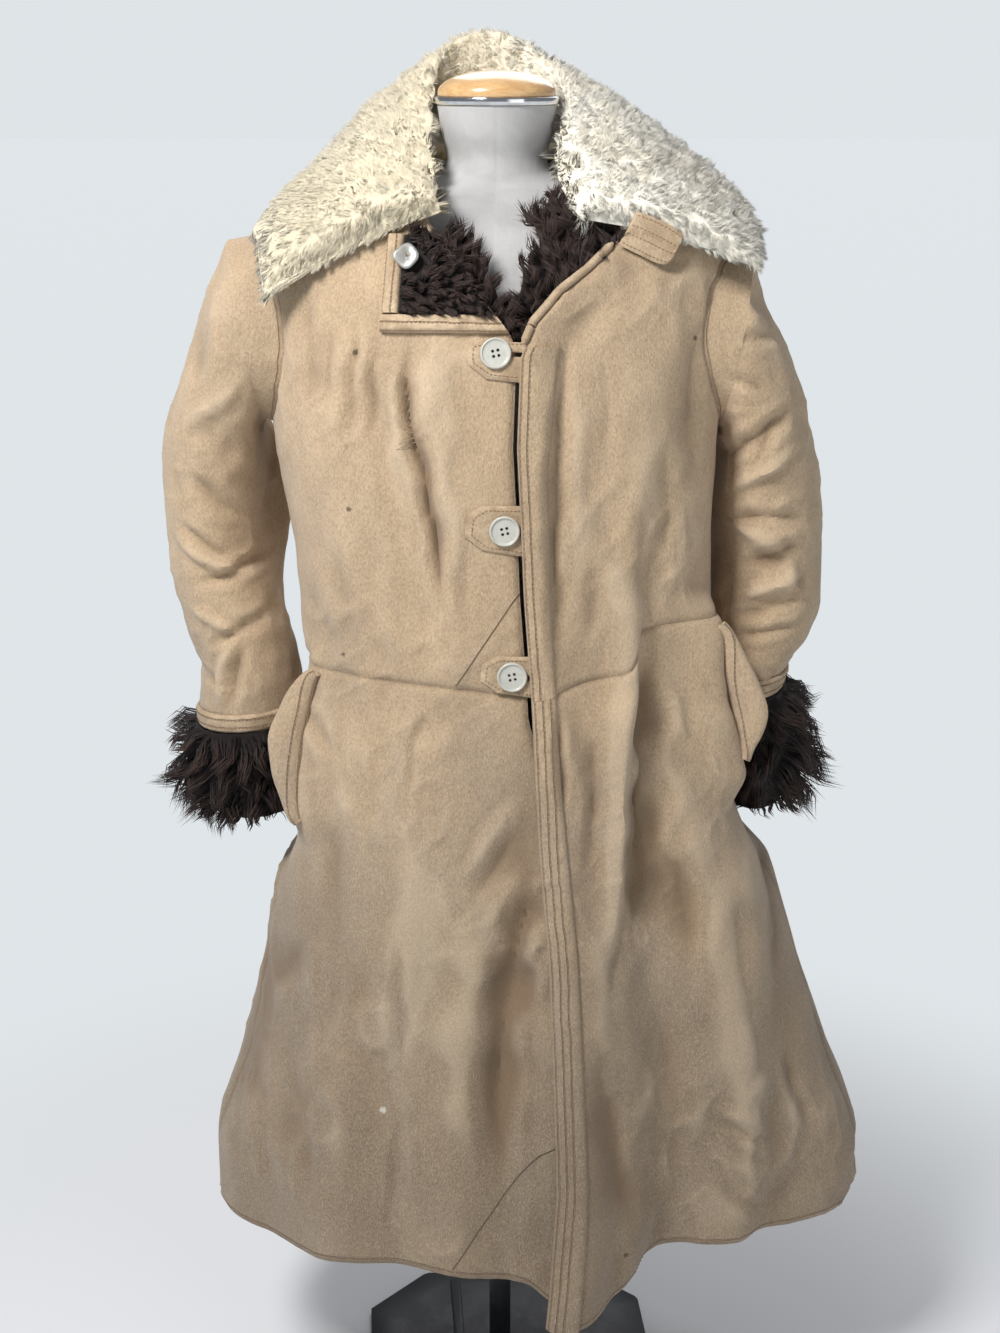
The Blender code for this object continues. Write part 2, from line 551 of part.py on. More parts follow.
def add_wall(name, outer, inner, finish, around=False):
    """A closed wall between two equal grids of points; around joins the last column to the first."""
    bm = bmesh.new()
    layers = [[[bm.verts.new(point) for point in row] for row in grid] for grid in (outer, inner)]
    rows = len(outer)
    columns = len(outer[0])
    for grid in layers:
        for r in range(rows - 1):
            for c in range(columns if around else columns - 1):
                d = (c + 1) % columns
                bm.faces.new((grid[r][c], grid[r][d], grid[r + 1][d], grid[r + 1][c]))
    rim = [(0, c) for c in range(columns)]
    far = [(rows - 1, c) for c in range(columns)]
    if around:
        loops = (rim + rim[:1], far + far[:1])
    else:
        right = [(r, columns - 1) for r in range(rows)]
        left = [(r, 0) for r in range(rows)]
        loops = (rim, far, right, left)
    for loop in loops:
        for (r, c), (s, d) in zip(loop, loop[1:]):
            bm.faces.new((layers[0][r][c], layers[0][s][d], layers[1][s][d], layers[1][r][c]))
    return add_object(name, bm, finish)


def add_loft(name, rings, finish):
    """A solid through closed rings of points, with flat fans at its two ends."""
    bm = bmesh.new()
    loops = [[bm.verts.new(point) for point in ring] for ring in rings]
    count = len(loops[0])
    for low, high in zip(loops, loops[1:]):
        for c in range(count):
            d = (c + 1) % count
            bm.faces.new((low[c], low[d], high[d], high[c]))
    for loop, ring in ((loops[0], rings[0]), (loops[-1], rings[-1])):
        middle = bm.verts.new(sum((Vector(point) for point in ring), Vector()) / count)
        for c in range(count):
            bm.faces.new((loop[c], loop[(c + 1) % count], middle))
    return add_object(name, bm, finish)


def panel(name, rows, columns, edges_at, height_of, lift_of, finish):
    """A wall cut from the body's surface. Edges and heights depend on each other, so they settle."""
    outer = []
    inner = []
    for row in range(rows + 1):
        outer_row = []
        inner_row = []
        for column in range(columns + 1):
            angle, height = settle(row, column / columns, edges_at, height_of)
            lift = lift_of(angle, height)
            outer_row.append(body_point(angle, height, lift))
            inner_row.append(body_point(angle, height, lift - WALL))
        outer.append(outer_row)
        inner.append(inner_row)
    return add_wall(name, outer, inner, finish)


def settle(row, share, edges_at, height_of):
    angle = 0.0
    height = height_of(row, angle)
    for _ in range(4):
        first, last = edges_at(height)
        angle = blend(first, last, share)
        height = height_of(row, angle)
    return angle, height


# ---------------------------------------------------------------- coat panels
def add_front(side):
    name = "front_right" if side < 0 else "front_left"
    lift_of = left_proud if side > 0 else no_lift
    panel(name, BODICE_ROWS, FRONT_COLUMNS, lambda height: front_edges(height, side),
          bodice_height, lift_of, SUEDE)


def add_skirt_front(side):
    name = "skirt_front_right" if side < 0 else "skirt_front_left"
    lift_of = left_proud if side > 0 else no_lift
    panel(name, SKIRT_ROWS, FRONT_COLUMNS, lambda height: front_edges(height, side),
          skirt_height, lift_of, SUEDE)


def add_backs():
    panel("back", BODICE_ROWS, BACK_COLUMNS, back_edges, bodice_height, no_lift, SUEDE)
    panel("skirt_back", SKIRT_ROWS, BACK_COLUMNS, back_edges, skirt_height, no_lift, SUEDE)


# ---------------------------------------------------------------- sleeves and cuffs
def armhole_ring(side):
    """The armhole's rim, up its front and down its back, drawn in by the seam's parting."""
    points = []
    for step in range(ARMHOLE_STEPS + 1):
        height = armhole_height(step)
        points.append(body_point(angle_at_y(side_edge_y(height, -1), height, side), height))
    for step in range(ARMHOLE_STEPS - 1, 0, -1):
        height = armhole_height(step)
        points.append(body_point(angle_at_y(side_edge_y(height, 1), height, side), height))
    middle = sum(points, Vector()) / len(points)
    return [point + (middle - point).normalized() * SEAM for point in points]


def sleeve_row(table, place):
    """A sleeve's row at a fractional place in its table."""
    low = min(int(place), len(table) - 2)
    t = place - low
    return SleeveRing(*(blend(a, b, t) for a, b in zip(table[low], table[low + 1])))


def sleeve_ring(row, grow_out=0.0, grow_in=0.0, grow_depth=0.0):
    """One ring of a sleeve, from the inner point by the front to the outer point and back."""
    outer = Vector((row.outer_x, row.middle, row.outer_z))
    inner = Vector((row.inner_x, row.middle, row.inner_z))
    half = (outer - inner) / 2.0
    along = half.normalized()
    points = []
    for step in range(2 * ARMHOLE_STEPS):
        degrees = -90.0 + 180.0 * step / ARMHOLE_STEPS
        turn = math.radians(degrees)
        grow = grow_out if math.sin(turn) > 0.0 else grow_in
        reach = along * (half.length + grow) * math.sin(turn)
        ahead = Vector((0.0, -(row.half_depth + grow_depth) * math.cos(turn), 0.0))
        away = ((degrees - TUCK_TURN + 180.0) % 360.0 - 180.0) / TUCK_WIDTH
        slack = math.copysign(row.tuck * math.exp(-away * away), -row.outer_x)
        points.append(inner + half + reach + ahead + Vector((slack, 0.0, 0.0)))
    return points


def sleeve_place(table, height):
    """The place in a sleeve's table whose ring lies at a height."""
    heights = [-(row.outer_z + row.inner_z) / 2.0 for row in table]
    return float(np.interp(-height, heights, range(len(table))))


def shrink(ring, depth):
    middle = sum(ring, Vector()) / len(ring)
    return [point + (middle - point).normalized() * depth for point in ring]


def add_sleeve(side):
    table = SLEEVE_RIGHT if side < 0 else SLEEVE_LEFT
    outer = [armhole_ring(side)] + [sleeve_ring(row) for row in table]
    inner = [shrink(ring, WALL) for ring in outer]
    add_wall("sleeve_right" if side < 0 else "sleeve_left", outer, inner, SUEDE, around=True)


def add_cuff(side):
    label = "right" if side < 0 else "left"
    table, rows = (SLEEVE_RIGHT, CUFF_RIGHT) if side < 0 else (SLEEVE_LEFT, CUFF_LEFT)
    outer = []
    inner = []
    for row in rows:
        ring = sleeve_row(table, sleeve_place(table, row.height))
        drop = row.height - (ring.outer_z + ring.inner_z) / 2.0
        grown = sleeve_ring(ring, row.reach_out, row.reach_in, row.reach_depth)
        outer.append([point + Vector((0.0, 0.0, drop)) for point in grown])
        inner.append(sleeve_ring(ring, SEAM * 2, SEAM * 2, SEAM * 2))
    end = [point - Vector((0.0, 0.0, SEAM * 2)) for point in sleeve_ring(table[-1])]
    inner[-2] = shrink(end, -SEAM * 2)
    inner[-1] = shrink(end, WALL * 0.8)
    add_wall("cuff_" + label, outer, inner, DARK_FUR, around=True)

    top = rows[0].height + BAND_HEIGHT
    band = [sleeve_row(table, sleeve_place(table, height))
            for height in (top, top - BAND_HEIGHT / 2.0, rows[0].height + SEAM)]
    reach = SEAM * 2 + BAND_THICKNESS
    add_wall("cuff_band_" + label, [sleeve_ring(ring, reach, reach, reach) for ring in band],
             [sleeve_ring(ring, SEAM * 2, SEAM * 2, SEAM * 2) for ring in band], BINDING, around=True)


# ---------------------------------------------------------------- collar
def body_share(point):
    """Below 1 inside the body's plain section at the point's height, above 1 outside."""
    if point.z > BODY[-1].height:
        return 2.0
    centre, half_width, front, back, squareness = section_at(BODY, point.z)
    reach = front if point.y < 0.0 else back
    return abs((point.x - centre) / half_width) ** squareness + abs(point.y / reach) ** squareness


def body_normal(point):
    step = 0.001
    slope = [body_share(point + Vector(axis) * step) - body_share(point - Vector(axis) * step)
             for axis in ((1, 0, 0), (0, 1, 0), (0, 0, 1))]
    return Vector(slope).normalized()


def clear_of_body(point, lift):
    """The point, moved out until it lies at least a lift above the body."""
    for _ in range(80):
        if point.z > BODY[-1].height - 0.002:
            return point
        normal = body_normal(point)
        if body_share(point - normal * lift) > 1.0:
            return point
        point = point + normal * 0.0007
    return point


def collar_stations():
    rows = list(COLLAR_RIGHT) + [COLLAR_BACK] + list(COLLAR_LEFT)
    spans = len(rows) - 1
    stations = []
    for step in range(spans * COLLAR_STEPS + 1):
        place = step / COLLAR_STEPS
        low = min(int(place), spans - 1)
        t = place - low
        picks = [rows[min(max(low + k, 0), spans)] for k in (-1, 0, 1, 2)]
        stations.append([catmull([getattr(pick, part) for pick in picks], t)
                         for part in Station._fields])
    return stations


def catmull(points, t):
    """A point between the two middle ones of four."""
    p0, p1, p2, p3 = [Vector(point) for point in points]
    return 0.5 * (2 * p1 + (p2 - p0) * t + (2 * p0 - 5 * p1 + 4 * p2 - p3) * t ** 2
                  + (3 * p1 - p0 - 3 * p2 + p3) * t ** 3)


def collar_ring(neck, roll, edge, share):
    """The collar's closed section: up the stand, over the roll, down the fall and back under."""
    outward = Vector((edge.x - roll.x, edge.y - roll.y, 0.0)).normalized()
    down = (edge - roll).normalized()
    lift = (Vector((0, 0, 1)) - down * down.z).normalized()
    fold = blend(0.12, 0.72, smooth_step(1.0 - abs(2.0 * share - 1.0)))
    stand_in = neck - outward * STAND_FUR + Vector((0, 0, 0.004))
    roll_in = roll - outward * STAND_FUR - Vector((0, 0, 0.006))
    ring = [stand_in, stand_in.lerp(roll_in, 0.5), roll_in, roll]
    ring += [roll.lerp(edge, point.along) + lift * COLLAR_FUR * point.fur for point in FALL]
    ring += [edge + down * 0.006 + lift * 0.006, edge + down * 0.002]
    inside = neck.lerp(roll, fold) + outward * 0.013
    ring[-1] = clear_of_body(ring[-1], UNDERSIDE_LIFT)
    for t in (0.16, 0.33, 0.50, 0.66, 0.83, 1.0):
        ring.append(clear_of_body(edge.lerp(inside, t), UNDERSIDE_LIFT))
    ring.append(clear_of_body(neck + outward * 0.010 + Vector((0, 0, 0.002)), UNDERSIDE_LIFT))
    return ring


def collar_rings():
    stations = collar_stations()
    last = len(stations) - 1
    return [collar_ring(*station, k / last) for k, station in enumerate(stations)]


def add_collar():
    add_loft("collar", collar_rings(), CREAM_FUR)


# ---------------------------------------------------------------- pieces on the fronts
def add_patch(name, places, low, high, finish):
    """A wall over the front's surface: places are rows of (x, height), between two lifts."""
    outer = [[front_point(x, height, high) for x, height in row] for row in places]
    inner = [[front_point(x, height, low) for x, height in row] for row in places]
    add_wall(name, outer, inner, finish)


def lapel_left(height):
    t = (height - LAPEL_BOTTOM) / (LAPEL_TOP - LAPEL_BOTTOM)
    return blend(LAPEL_OUTER_BOTTOM, LAPEL_OUTER_TOP, t)


def add_lapel():
    """The turned-back corner: its fur, and the binding down its side and along its foot."""
    foot = LAPEL_BOTTOM + LAPEL_BAND
    heights = [blend(foot + SEAM, LAPEL_TOP, k / 5.0) for k in range(6)]
    edges = [(lapel_left(h) + LAPEL_BAND + SEAM, read_linear(RIGHT_EDGE, "height", "x", h) - 0.003)
             for h in heights]
    places = [[(blend(a, b, c / 6.0), h) for c in range(7)] for (a, b), h in zip(edges, heights)]
    add_patch("lapel_fur", places, LAPEL_LIFT, LAPEL_FUR_TOP, DARK_FUR)
    side = [[(lapel_left(h) + LAPEL_BAND * c / 2.0, h) for c in range(3)] for h in heights]
    add_patch("lapel_band_front", side, LAPEL_LIFT, LAPEL_BAND_TOP, BINDING)
    right = read_linear(RIGHT_EDGE, "height", "x", LAPEL_BOTTOM) - 0.001
    ends = ((LAPEL_BOTTOM, right), (LAPEL_BOTTOM + LAPEL_BAND / 2.0, right - 0.006),
            (foot, right - 0.013))
    foot_rows = [[(blend(lapel_left(h), end, c / 10.0), h) for c in range(11)] for h, end in ends]
    add_patch("lapel_band_neck", foot_rows, LAPEL_LIFT, LAPEL_BAND_TOP, BINDING)


def add_backing_disc():
    """A flat disc with four lobes, on the lapel's binding and fur."""
    place = front_point(DISC_X, DISC_HEIGHT, LAPEL_FUR_TOP + 0.0005)
    normal = (place - front_point(DISC_X, DISC_HEIGHT)).normalized()
    disc = Matrix.Translation(place) @ normal.to_track_quat("Z", "Y").to_matrix().to_4x4()
    rings = []
    for row in DISC:
        ring = []
        for k in range(24):
            turn = math.tau * k / 24
            radius = DISC_RADIUS * row.size * (1.0 + DISC_LOBE * math.cos(4.0 * turn))
            ring.append(disc @ Vector((radius * math.cos(turn), radius * math.sin(turn), row.height)))
        rings.append(ring)
    add_loft("backing_disc", rings, IVORY)


def add_neck_fur():
    """The fur inside the neck opening, under the free edges of both fronts."""
    for name, table, reaches, side in (("neck_fur_right", RIGHT_EDGE, NECK_FUR_RIGHT, 1),
                                       ("neck_fur_left", LEFT_EDGE, NECK_FUR_LEFT, -1)):
        places = []
        for height, reach in reaches:
            x = read_linear(table, "height", "x", height)
            slope = read_linear(table, "height", "x", height + 0.004) - x
            along = Vector((slope, 0.004)).normalized()
            across = Vector((along.y * side, -along.x * side))
            places.append([(x + across.x * w, height + across.y * w)
                           for w in (-0.010, 0.0, reach * 0.34, reach * 0.67, reach)])
        add_patch(name, places, NECK_FUR_BOTTOM, NECK_FUR_TOP, DARK_FUR)


def add_piping():
    """The rolled edge along the left front's neckline."""
    last = 9
    heights = [blend(PIPING_LOW, PIPING_HIGH, k / last) for k in range(last + 1)]
    away = PIPING_RADIUS + PIPING_LIFT
    centres = []
    for height in heights:
        x = read_linear(LEFT_EDGE, "height", "x", height)
        slope = read_linear(LEFT_EDGE, "height", "x", height + 0.004) - x
        along = Vector((slope, 0.004)).normalized()
        lift = read_smooth(LEFT_PROUD, "height", "lift", height)
        centres.append(front_point(x - along.y * away, height + along.x * away, lift))
    rings = []
    for k, centre in enumerate(centres):
        ahead = centres[min(k + 1, last)] - centres[max(k - 1, 0)]
        frame = Matrix.Translation(centre) @ ahead.to_track_quat("Z", "Y").to_matrix().to_4x4()
        rings.append([frame @ Vector((PIPING_RADIUS * math.cos(math.tau * c / 8),
                                      PIPING_RADIUS * math.sin(math.tau * c / 8), 0.0))
                      for c in range(8)])
    add_loft("neckline_piping", rings, BINDING)


def add_placket(name, rows, height_of, shares):
    """A strip over the left front's first cells, from its closing edge inward."""
    low = []
    high = []
    for row, share in zip(rows, shares):
        corners = []
        for column in (0, 1):
            angle, height = settle(row, column / FRONT_COLUMNS, lambda h: front_edges(h, 1), height_of)
            lift = left_proud(angle, height)
            corners.append([body_point(angle, height, lift + extra)
                            for extra in (PLACKET_LIFT, PLACKET_LIFT + PLACKET_THICKNESS)])
        low.append([corners[0][0].lerp(corners[1][0], share * c / 2.0) for c in range(3)])
        high.append([corners[0][1].lerp(corners[1][1], share * c / 2.0) for c in range(3)])
    add_wall(name, high, low, SUEDE)


def add_plackets():
    bodice_rows = range(LOWER_BODICE_ROWS + 5)
    add_placket("placket_bodice", bodice_rows, bodice_height, [PLACKET_SHARE] * len(bodice_rows))
    skirt_rows = range(SKIRT_ROWS + 1)
    shares = [blend(PLACKET_SHARE_HEM, PLACKET_SHARE, row / SKIRT_ROWS) for row in skirt_rows]
    add_placket("placket_skirt", skirt_rows, skirt_height, shares)


def add_welt(side):
    """A pocket's standing welt: sewn along its inner line, free along its outer edge."""
    table = WELT_RIGHT if side < 0 else WELT_LEFT
    base = []
    for row in table:
        sewn = body_point(row.angle, row.height, row.lift)
        free = Vector((row.free_x, row.free_y, row.height))
        base.append([sewn, sewn.lerp(free, 0.5) + Vector((0.0, -WELT_CROWN, 0.0)), free])
    top = []
    for r, points in enumerate(base):
        up = base[max(r - 1, 0)][1] - base[min(r + 1, len(base) - 1)][1]
        across = (points[2] - points[0]) * -side
        normal = across.cross(up).normalized()
        normal = normal if normal.y < 0.0 else -normal
        top.append([point + normal * WELT_THICKNESS for point in points])
    add_wall("welt_right" if side < 0 else "welt_left", top, base, SUEDE)


# ---------------------------------------------------------------- tabs and buttons
def add_tab(index, fastening):
    """A pointed tab with a slot, from under the left front out over the right one."""
    edge = read_linear(LEFT_EDGE, "height", "x", fastening.height)
    right_end = edge - fastening.x + TAB_UNDER
    tip, rise, drop = fastening.tip_x, fastening.rise, fastening.drop
    outline = ((right_end, -drop), (0.4 * right_end, -drop), (tip + 0.018, -drop * 0.9),
               (tip, -drop * 0.42), (tip, rise * 0.40), (tip + 0.014, rise * 0.85),
               (0.4 * right_end, rise), (right_end, rise))
    slot_right = right_end - 0.007
    slot = ((slot_right, -SLOT_HALF_WIDTH), (0.4 * right_end, -SLOT_HALF_WIDTH),
            (0.004, -SLOT_HALF_WIDTH), (-0.003, -SLOT_HALF_WIDTH), (-0.003, SLOT_HALF_WIDTH),
            (0.004, SLOT_HALF_WIDTH), (0.4 * right_end, SLOT_HALF_WIDTH), (slot_right, SLOT_HALF_WIDTH))
    tilt = math.radians(fastening.tilt)
    layers = []
    for lift in (TAB_LIFT + TAB_THICKNESS, TAB_LIFT):
        rows = []
        for t in (0.0, 0.5, 1.0):
            row = []
            for rim, hole in zip(outline, slot):
                x, z = blend(rim[0], hole[0], t), blend(rim[1], hole[1], t)
                place_x = fastening.x + x * math.cos(tilt) - z * math.sin(tilt)
                place_z = fastening.height + x * math.sin(tilt) + z * math.cos(tilt)
                row.append(front_point(place_x, place_z, lift))
            rows.append(row)
        layers.append(rows)
    add_wall(f"tab_{index}", layers[0], layers[1], BINDING, around=True)


def add_button(index, fastening):
    """A rimmed button with four holes on its thread shank, which passes through the tab's slot."""
    seat = TAB_LIFT + TAB_THICKNESS + 0.0006
    place = front_point(fastening.x, fastening.height, seat)
    normal = (place - front_point(fastening.x, fastening.height)).normalized()
    shank = seat - 0.0007
    rim_in = BUTTON_RADIUS - BUTTON_RIM
    profile = ((0.0, -shank), (SHANK_RADIUS, -shank), (SHANK_RADIUS, 0.0), (BUTTON_RADIUS - 0.0015, 0.0),
               (BUTTON_RADIUS, 0.0015), (BUTTON_RADIUS, 0.0034), (BUTTON_RADIUS - 0.001, BUTTON_THICKNESS),
               (rim_in, BUTTON_THICKNESS), (rim_in - 0.001, 0.0032), (0.0, 0.0030))
    bm = bmesh.new()
    verts = [bm.verts.new((radius, 0.0, height)) for radius, height in profile]
    edges = [bm.edges.new(pair) for pair in zip(verts, verts[1:])]
    bmesh.ops.spin(bm, geom=verts + edges, axis=(0, 0, 1), cent=(0, 0, 0), angle=math.tau, steps=22,
                   use_merge=True)
    bmesh.ops.remove_doubles(bm, verts=bm.verts, dist=1e-6)
    button = add_object(f"button_{index}", bm, IVORY)

    holes = bmesh.new()
    for k in range(4):
        turn = math.tau * (k + 0.5) / 4
        spot = (BUTTON_HOLE_SPACING * math.cos(turn), BUTTON_HOLE_SPACING * math.sin(turn), 0.003)
        bmesh.ops.create_cone(holes, cap_ends=True, segments=8, radius1=BUTTON_HOLE_RADIUS,
                              radius2=BUTTON_HOLE_RADIUS, depth=0.012,
                              matrix=Matrix.Translation(spot))
    cutter = add_object(f"button_{index}_holes", holes, IVORY)
    cutter.hide_render = True
    cutter.display_type = "WIRE"
    cut = button.modifiers.new("holes", "BOOLEAN")
    cut.object = cutter
    for thing in (button, cutter):
        thing.rotation_mode = "QUATERNION"
        thing.rotation_quaternion = normal.to_track_quat("Z", "Y")
        thing.location = place


def add_collar_tab():
    """The loose buttonhole tab that lies over the collar's left end."""
    layers = []
    for lift in (TAB_THICKNESS, 0.0):
        layers.append([[Vector(row.low).lerp(Vector(row.high), t) - Vector((0.0, lift, 0.0))
                        for t in (0.0, 0.5, 1.0)] for row in COLLAR_TAB])
    add_wall("tab_collar", layers[0], layers[1], BINDING)


# ---------------------------------------------------------------- dress form
def turned_rings(profile, columns):
    return [[Vector((NECK_CENTRE + radius * math.cos(math.tau * c / columns),
                     radius * math.sin(math.tau * c / columns), height)) for c in range(columns)]
            for radius, height in profile]


def add_form():
    rings = [[section_point(FORM, 360.0 * c / FORM_COLUMNS, row.height) for c in range(FORM_COLUMNS)]
             for row in FORM]
    add_loft("form_torso", rings, LINEN)
    ring = ((RING_RADIUS - 0.0015, RING_BOTTOM), (RING_RADIUS, RING_BOTTOM + 0.0015),
            (RING_RADIUS, RING_TOP - 0.0015), (RING_RADIUS - 0.0015, RING_TOP))
    add_loft("form_ring", turned_rings(ring, 32), CHROME)
    low = RING_TOP + SEAM
    rise = CAP_TOP - low
    cap = [(CAP_RADIUS, low), (CAP_RADIUS, low + 0.15 * rise)]
    for k in range(1, 6):
        turn = math.radians(15.0 * k)
        cap.append((CAP_RADIUS * math.cos(turn), low + rise * (0.15 + 0.85 * math.sin(turn))))
    add_loft("form_cap", turned_rings(cap, 28), WOOD)


def add_stand():
    """The flat plate with its cut corners, the low bar across it, and the pole."""
    half = PLATE_HALF
    inner = half - PLATE_CHAMFER
    turn = Matrix.Translation((PLATE_X, 0.0, 0.0)) @ Matrix.Rotation(PLATE_TURN, 4, "Z")
    corners = [turn @ Vector((x, y, 0.0))
               for x, y in ((half, -inner), (half, inner), (inner, half), (-inner, half),
                            (-half, inner), (-half, -inner), (-inner, -half), (inner, -half))]
    top = [corner + Vector((0, 0, PLATE_THICKNESS)) for corner in corners]
    add_loft("base_plate", [corners, top], BLACK)
    bar = bmesh.new()
    place = Matrix.Translation((BAR_X, 0.0, PLATE_THICKNESS + SEAM + BAR_HEIGHT / 2.0))
    size = Matrix.Diagonal((BAR_WIDTH, BAR_LENGTH, BAR_HEIGHT, 1.0))
    bmesh.ops.create_cube(bar, size=1.0, matrix=turn @ place @ size)
    add_object("base_bar", bar, BLACK)
    pole = ((POLE_RADIUS, PLATE_THICKNESS + SEAM), (POLE_RADIUS, FORM[0].height - SEAM))
    rings = [[Vector((radius * math.cos(math.tau * c / 24), radius * math.sin(math.tau * c / 24), height))
              for c in range(24)] for radius, height in pole]
    add_loft("form_pole", rings, BLACK)


def main():
    for thing in list(bpy.data.objects):
        bpy.data.objects.remove(thing, do_unlink=True)
    for side in (-1, 1):
        add_front(side)
        add_skirt_front(side)
        add_sleeve(side)
        add_cuff(side)
        add_welt(side)
    add_backs()
    add_collar()
    add_lapel()
    add_backing_disc()
    add_neck_fur()
    add_piping()
    add_plackets()
    for index, fastening in enumerate(FASTENINGS, start=1):
        add_tab(index, fastening)
        add_button(index, fastening)
    add_collar_tab()
    add_form()
    add_stand()


main()
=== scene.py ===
"""Looks of a shearling coat on a limbless dress form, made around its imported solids.

Metres, +Z up; the front faces -Y and the wearer's left is +X. The coat's body is a stack of flat
rounded sections with folds laid over them, read here more finely than in the solids. Angles run
round the body in degrees: 0 at the front, +90 at the wearer's left, 180 at the back.
"""
import math

import bmesh
import bpy
import numpy as np
from mathutils import Matrix, Vector


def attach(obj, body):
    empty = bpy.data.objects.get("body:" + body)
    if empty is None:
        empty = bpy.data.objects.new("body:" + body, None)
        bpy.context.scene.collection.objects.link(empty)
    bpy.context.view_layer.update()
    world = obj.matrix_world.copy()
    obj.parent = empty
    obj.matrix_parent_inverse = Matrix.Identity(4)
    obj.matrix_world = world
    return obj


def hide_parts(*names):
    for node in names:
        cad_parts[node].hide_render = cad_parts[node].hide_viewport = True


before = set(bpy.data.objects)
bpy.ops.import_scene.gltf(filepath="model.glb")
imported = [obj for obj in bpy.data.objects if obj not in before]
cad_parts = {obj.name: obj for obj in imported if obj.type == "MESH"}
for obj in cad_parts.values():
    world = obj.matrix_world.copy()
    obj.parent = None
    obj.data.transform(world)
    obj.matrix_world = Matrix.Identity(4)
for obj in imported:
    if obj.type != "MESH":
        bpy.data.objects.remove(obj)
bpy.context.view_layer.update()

# ---------------------------------------------------------------- driving dimensions
WALL = 0.0055               # hide and clipped pile
SEAM = 0.0003               # parting between neighbouring pieces
HEM_SEWN = 0.0075           # sewn lines, from the hem and from the armhole
ARMHOLE_SEWN = 0.004
STITCH = 0.0050             # stitch pitches: on the hide, on bindings and on tabs
BINDING_STITCH = 0.0042
TAB_STITCH = 0.0040
THREAD_LIFT = 0.0003
FUR_HAIR = 0.0017           # hair widths at the root: dark fur and cream wool
WOOL_HAIR = 0.0012
SIDES = ((-1, "right"), (1, "left"))
UP = np.array([0.0, 0.0, 1.0])
ARMHOLE_HEIGHT = 1.230
ARMHOLE_HALF_HEIGHT = 0.095
ARMHOLE_HALF_DEPTH = 0.080
ARMHOLE_MIDDLE = 0.005
ARMPIT = ARMHOLE_HEIGHT - ARMHOLE_HALF_HEIGHT
SHOULDER_TIP = ARMHOLE_HEIGHT + ARMHOLE_HALF_HEIGHT
SHOULDER_ROWS = (SHOULDER_TIP, 1.340, 1.358, 1.378, 1.398)
WAIST_NOMINAL = 0.905
HEM_NOMINAL = 0.245
SIDE_SEAM_WAIST = -0.020
SIDE_SEAM_HEM = -0.040
LOWER_ROWS = 4              # the solids' rows from the waist to the armpit
ARMHOLE_ROWS = 8            # from the armpit to the shoulder tip
SKIRT_ROWS = 12
FRONT_CELLS = 14

FRAME_HEIGHT = 1333         # the rendered frame's height in pixels, the unit of the focal length
FOCAL_PIXELS = 1950
CAMERA_PLACE = (0.0, -2.0, 1.49)
CAMERA_PITCH = math.radians(17.2)
BACKDROP = (0.735, 0.775, 0.800)
FLOOR_COLOUR = (0.86, 0.865, 0.88)
FLOOR_FADE = (0.40, 1.25)   # the floor melts into the backdrop over these distances
SKY_LIGHT = (0.195, 0.203, 0.220)
LAMPS = (("key", (-0.95, -1.25, 2.60), 0.60, 52), ("fill", (1.6, -2.2, 1.7), 1.4, 7),
         ("back", (0.3, 1.9, 2.6), 1.6, 28))


class Table:
    """Rows of named columns, read along the first one: run() in straight runs, curve() on a cubic
    whose slopes are the harmonic means of its neighbours', so that it never swings past a row."""

    def __init__(self, names, *rows):
        self.columns = dict(zip(names.split(), np.array(rows, float).T))
        self.keys = self.columns[names.split()[0]]

    def run(self, column, at):
        return np.interp(at, self.keys, self.columns[column])

    def curve(self, column, at):
        keys, values = self.keys, self.columns[column]
        at = np.asarray(at, float)
        k = np.clip(np.searchsorted(keys, at) - 1, 0, len(keys) - 2)
        slopes = np.diff(values) / np.diff(keys)
        before, after = slopes[:-1], slopes[1:]
        same = before * after > 0
        inner = np.where(same, 2 * before * after / np.where(same, before + after, 1.0), 0.0)
        tangent = np.concatenate([slopes[:1], inner, slopes[-1:]])
        span = keys[k + 1] - keys[k]
        t = np.clip((at - keys[k]) / span, 0, 1)
        straight = (2 * t ** 3 - 3 * t ** 2 + 1) * values[k] + (3 * t ** 2 - 2 * t ** 3) * values[k + 1]
        bend = (t ** 3 - 2 * t ** 2 + t) * tangent[k] + (t ** 3 - t ** 2) * tangent[k + 1]
        return straight + bend * span


# ---------------------------------------------------------------- tables shared with the solids
BODY = Table(
    "height centre half_width front back squareness",
    (0.180, 0.041, 0.356, 0.216, 0.206, 2.15),
    (0.245, 0.042, 0.366, 0.212, 0.205, 2.15),
    (0.310, 0.043, 0.367, 0.209, 0.200, 2.15),
    (0.437, 0.038, 0.330, 0.202, 0.188, 2.18),
    (0.520, 0.034, 0.307, 0.196, 0.178, 2.20),
    (0.620, 0.029, 0.279, 0.188, 0.163, 2.25),
    (0.700, 0.024, 0.257, 0.182, 0.150, 2.30),
    (0.800, 0.014, 0.236, 0.174, 0.133, 2.30),
    (0.900, 0.008, 0.216, 0.166, 0.121, 2.30),
    (1.000, 0.003, 0.217, 0.160, 0.120, 2.35),
    (1.115, -0.003, 0.226, 0.155, 0.125, 2.35),
    (1.200, -0.005, 0.232, 0.146, 0.126, 2.30),
    (1.270, -0.006, 0.238, 0.128, 0.120, 2.25),
    (1.325, -0.006, 0.243, 0.104, 0.108, 2.20),
    (1.340, -0.006, 0.214, 0.097, 0.100, 2.20),
    (1.370, -0.005, 0.157, 0.081, 0.086, 2.15),
    (1.400, -0.004, 0.100, 0.062, 0.068, 2.10),
)
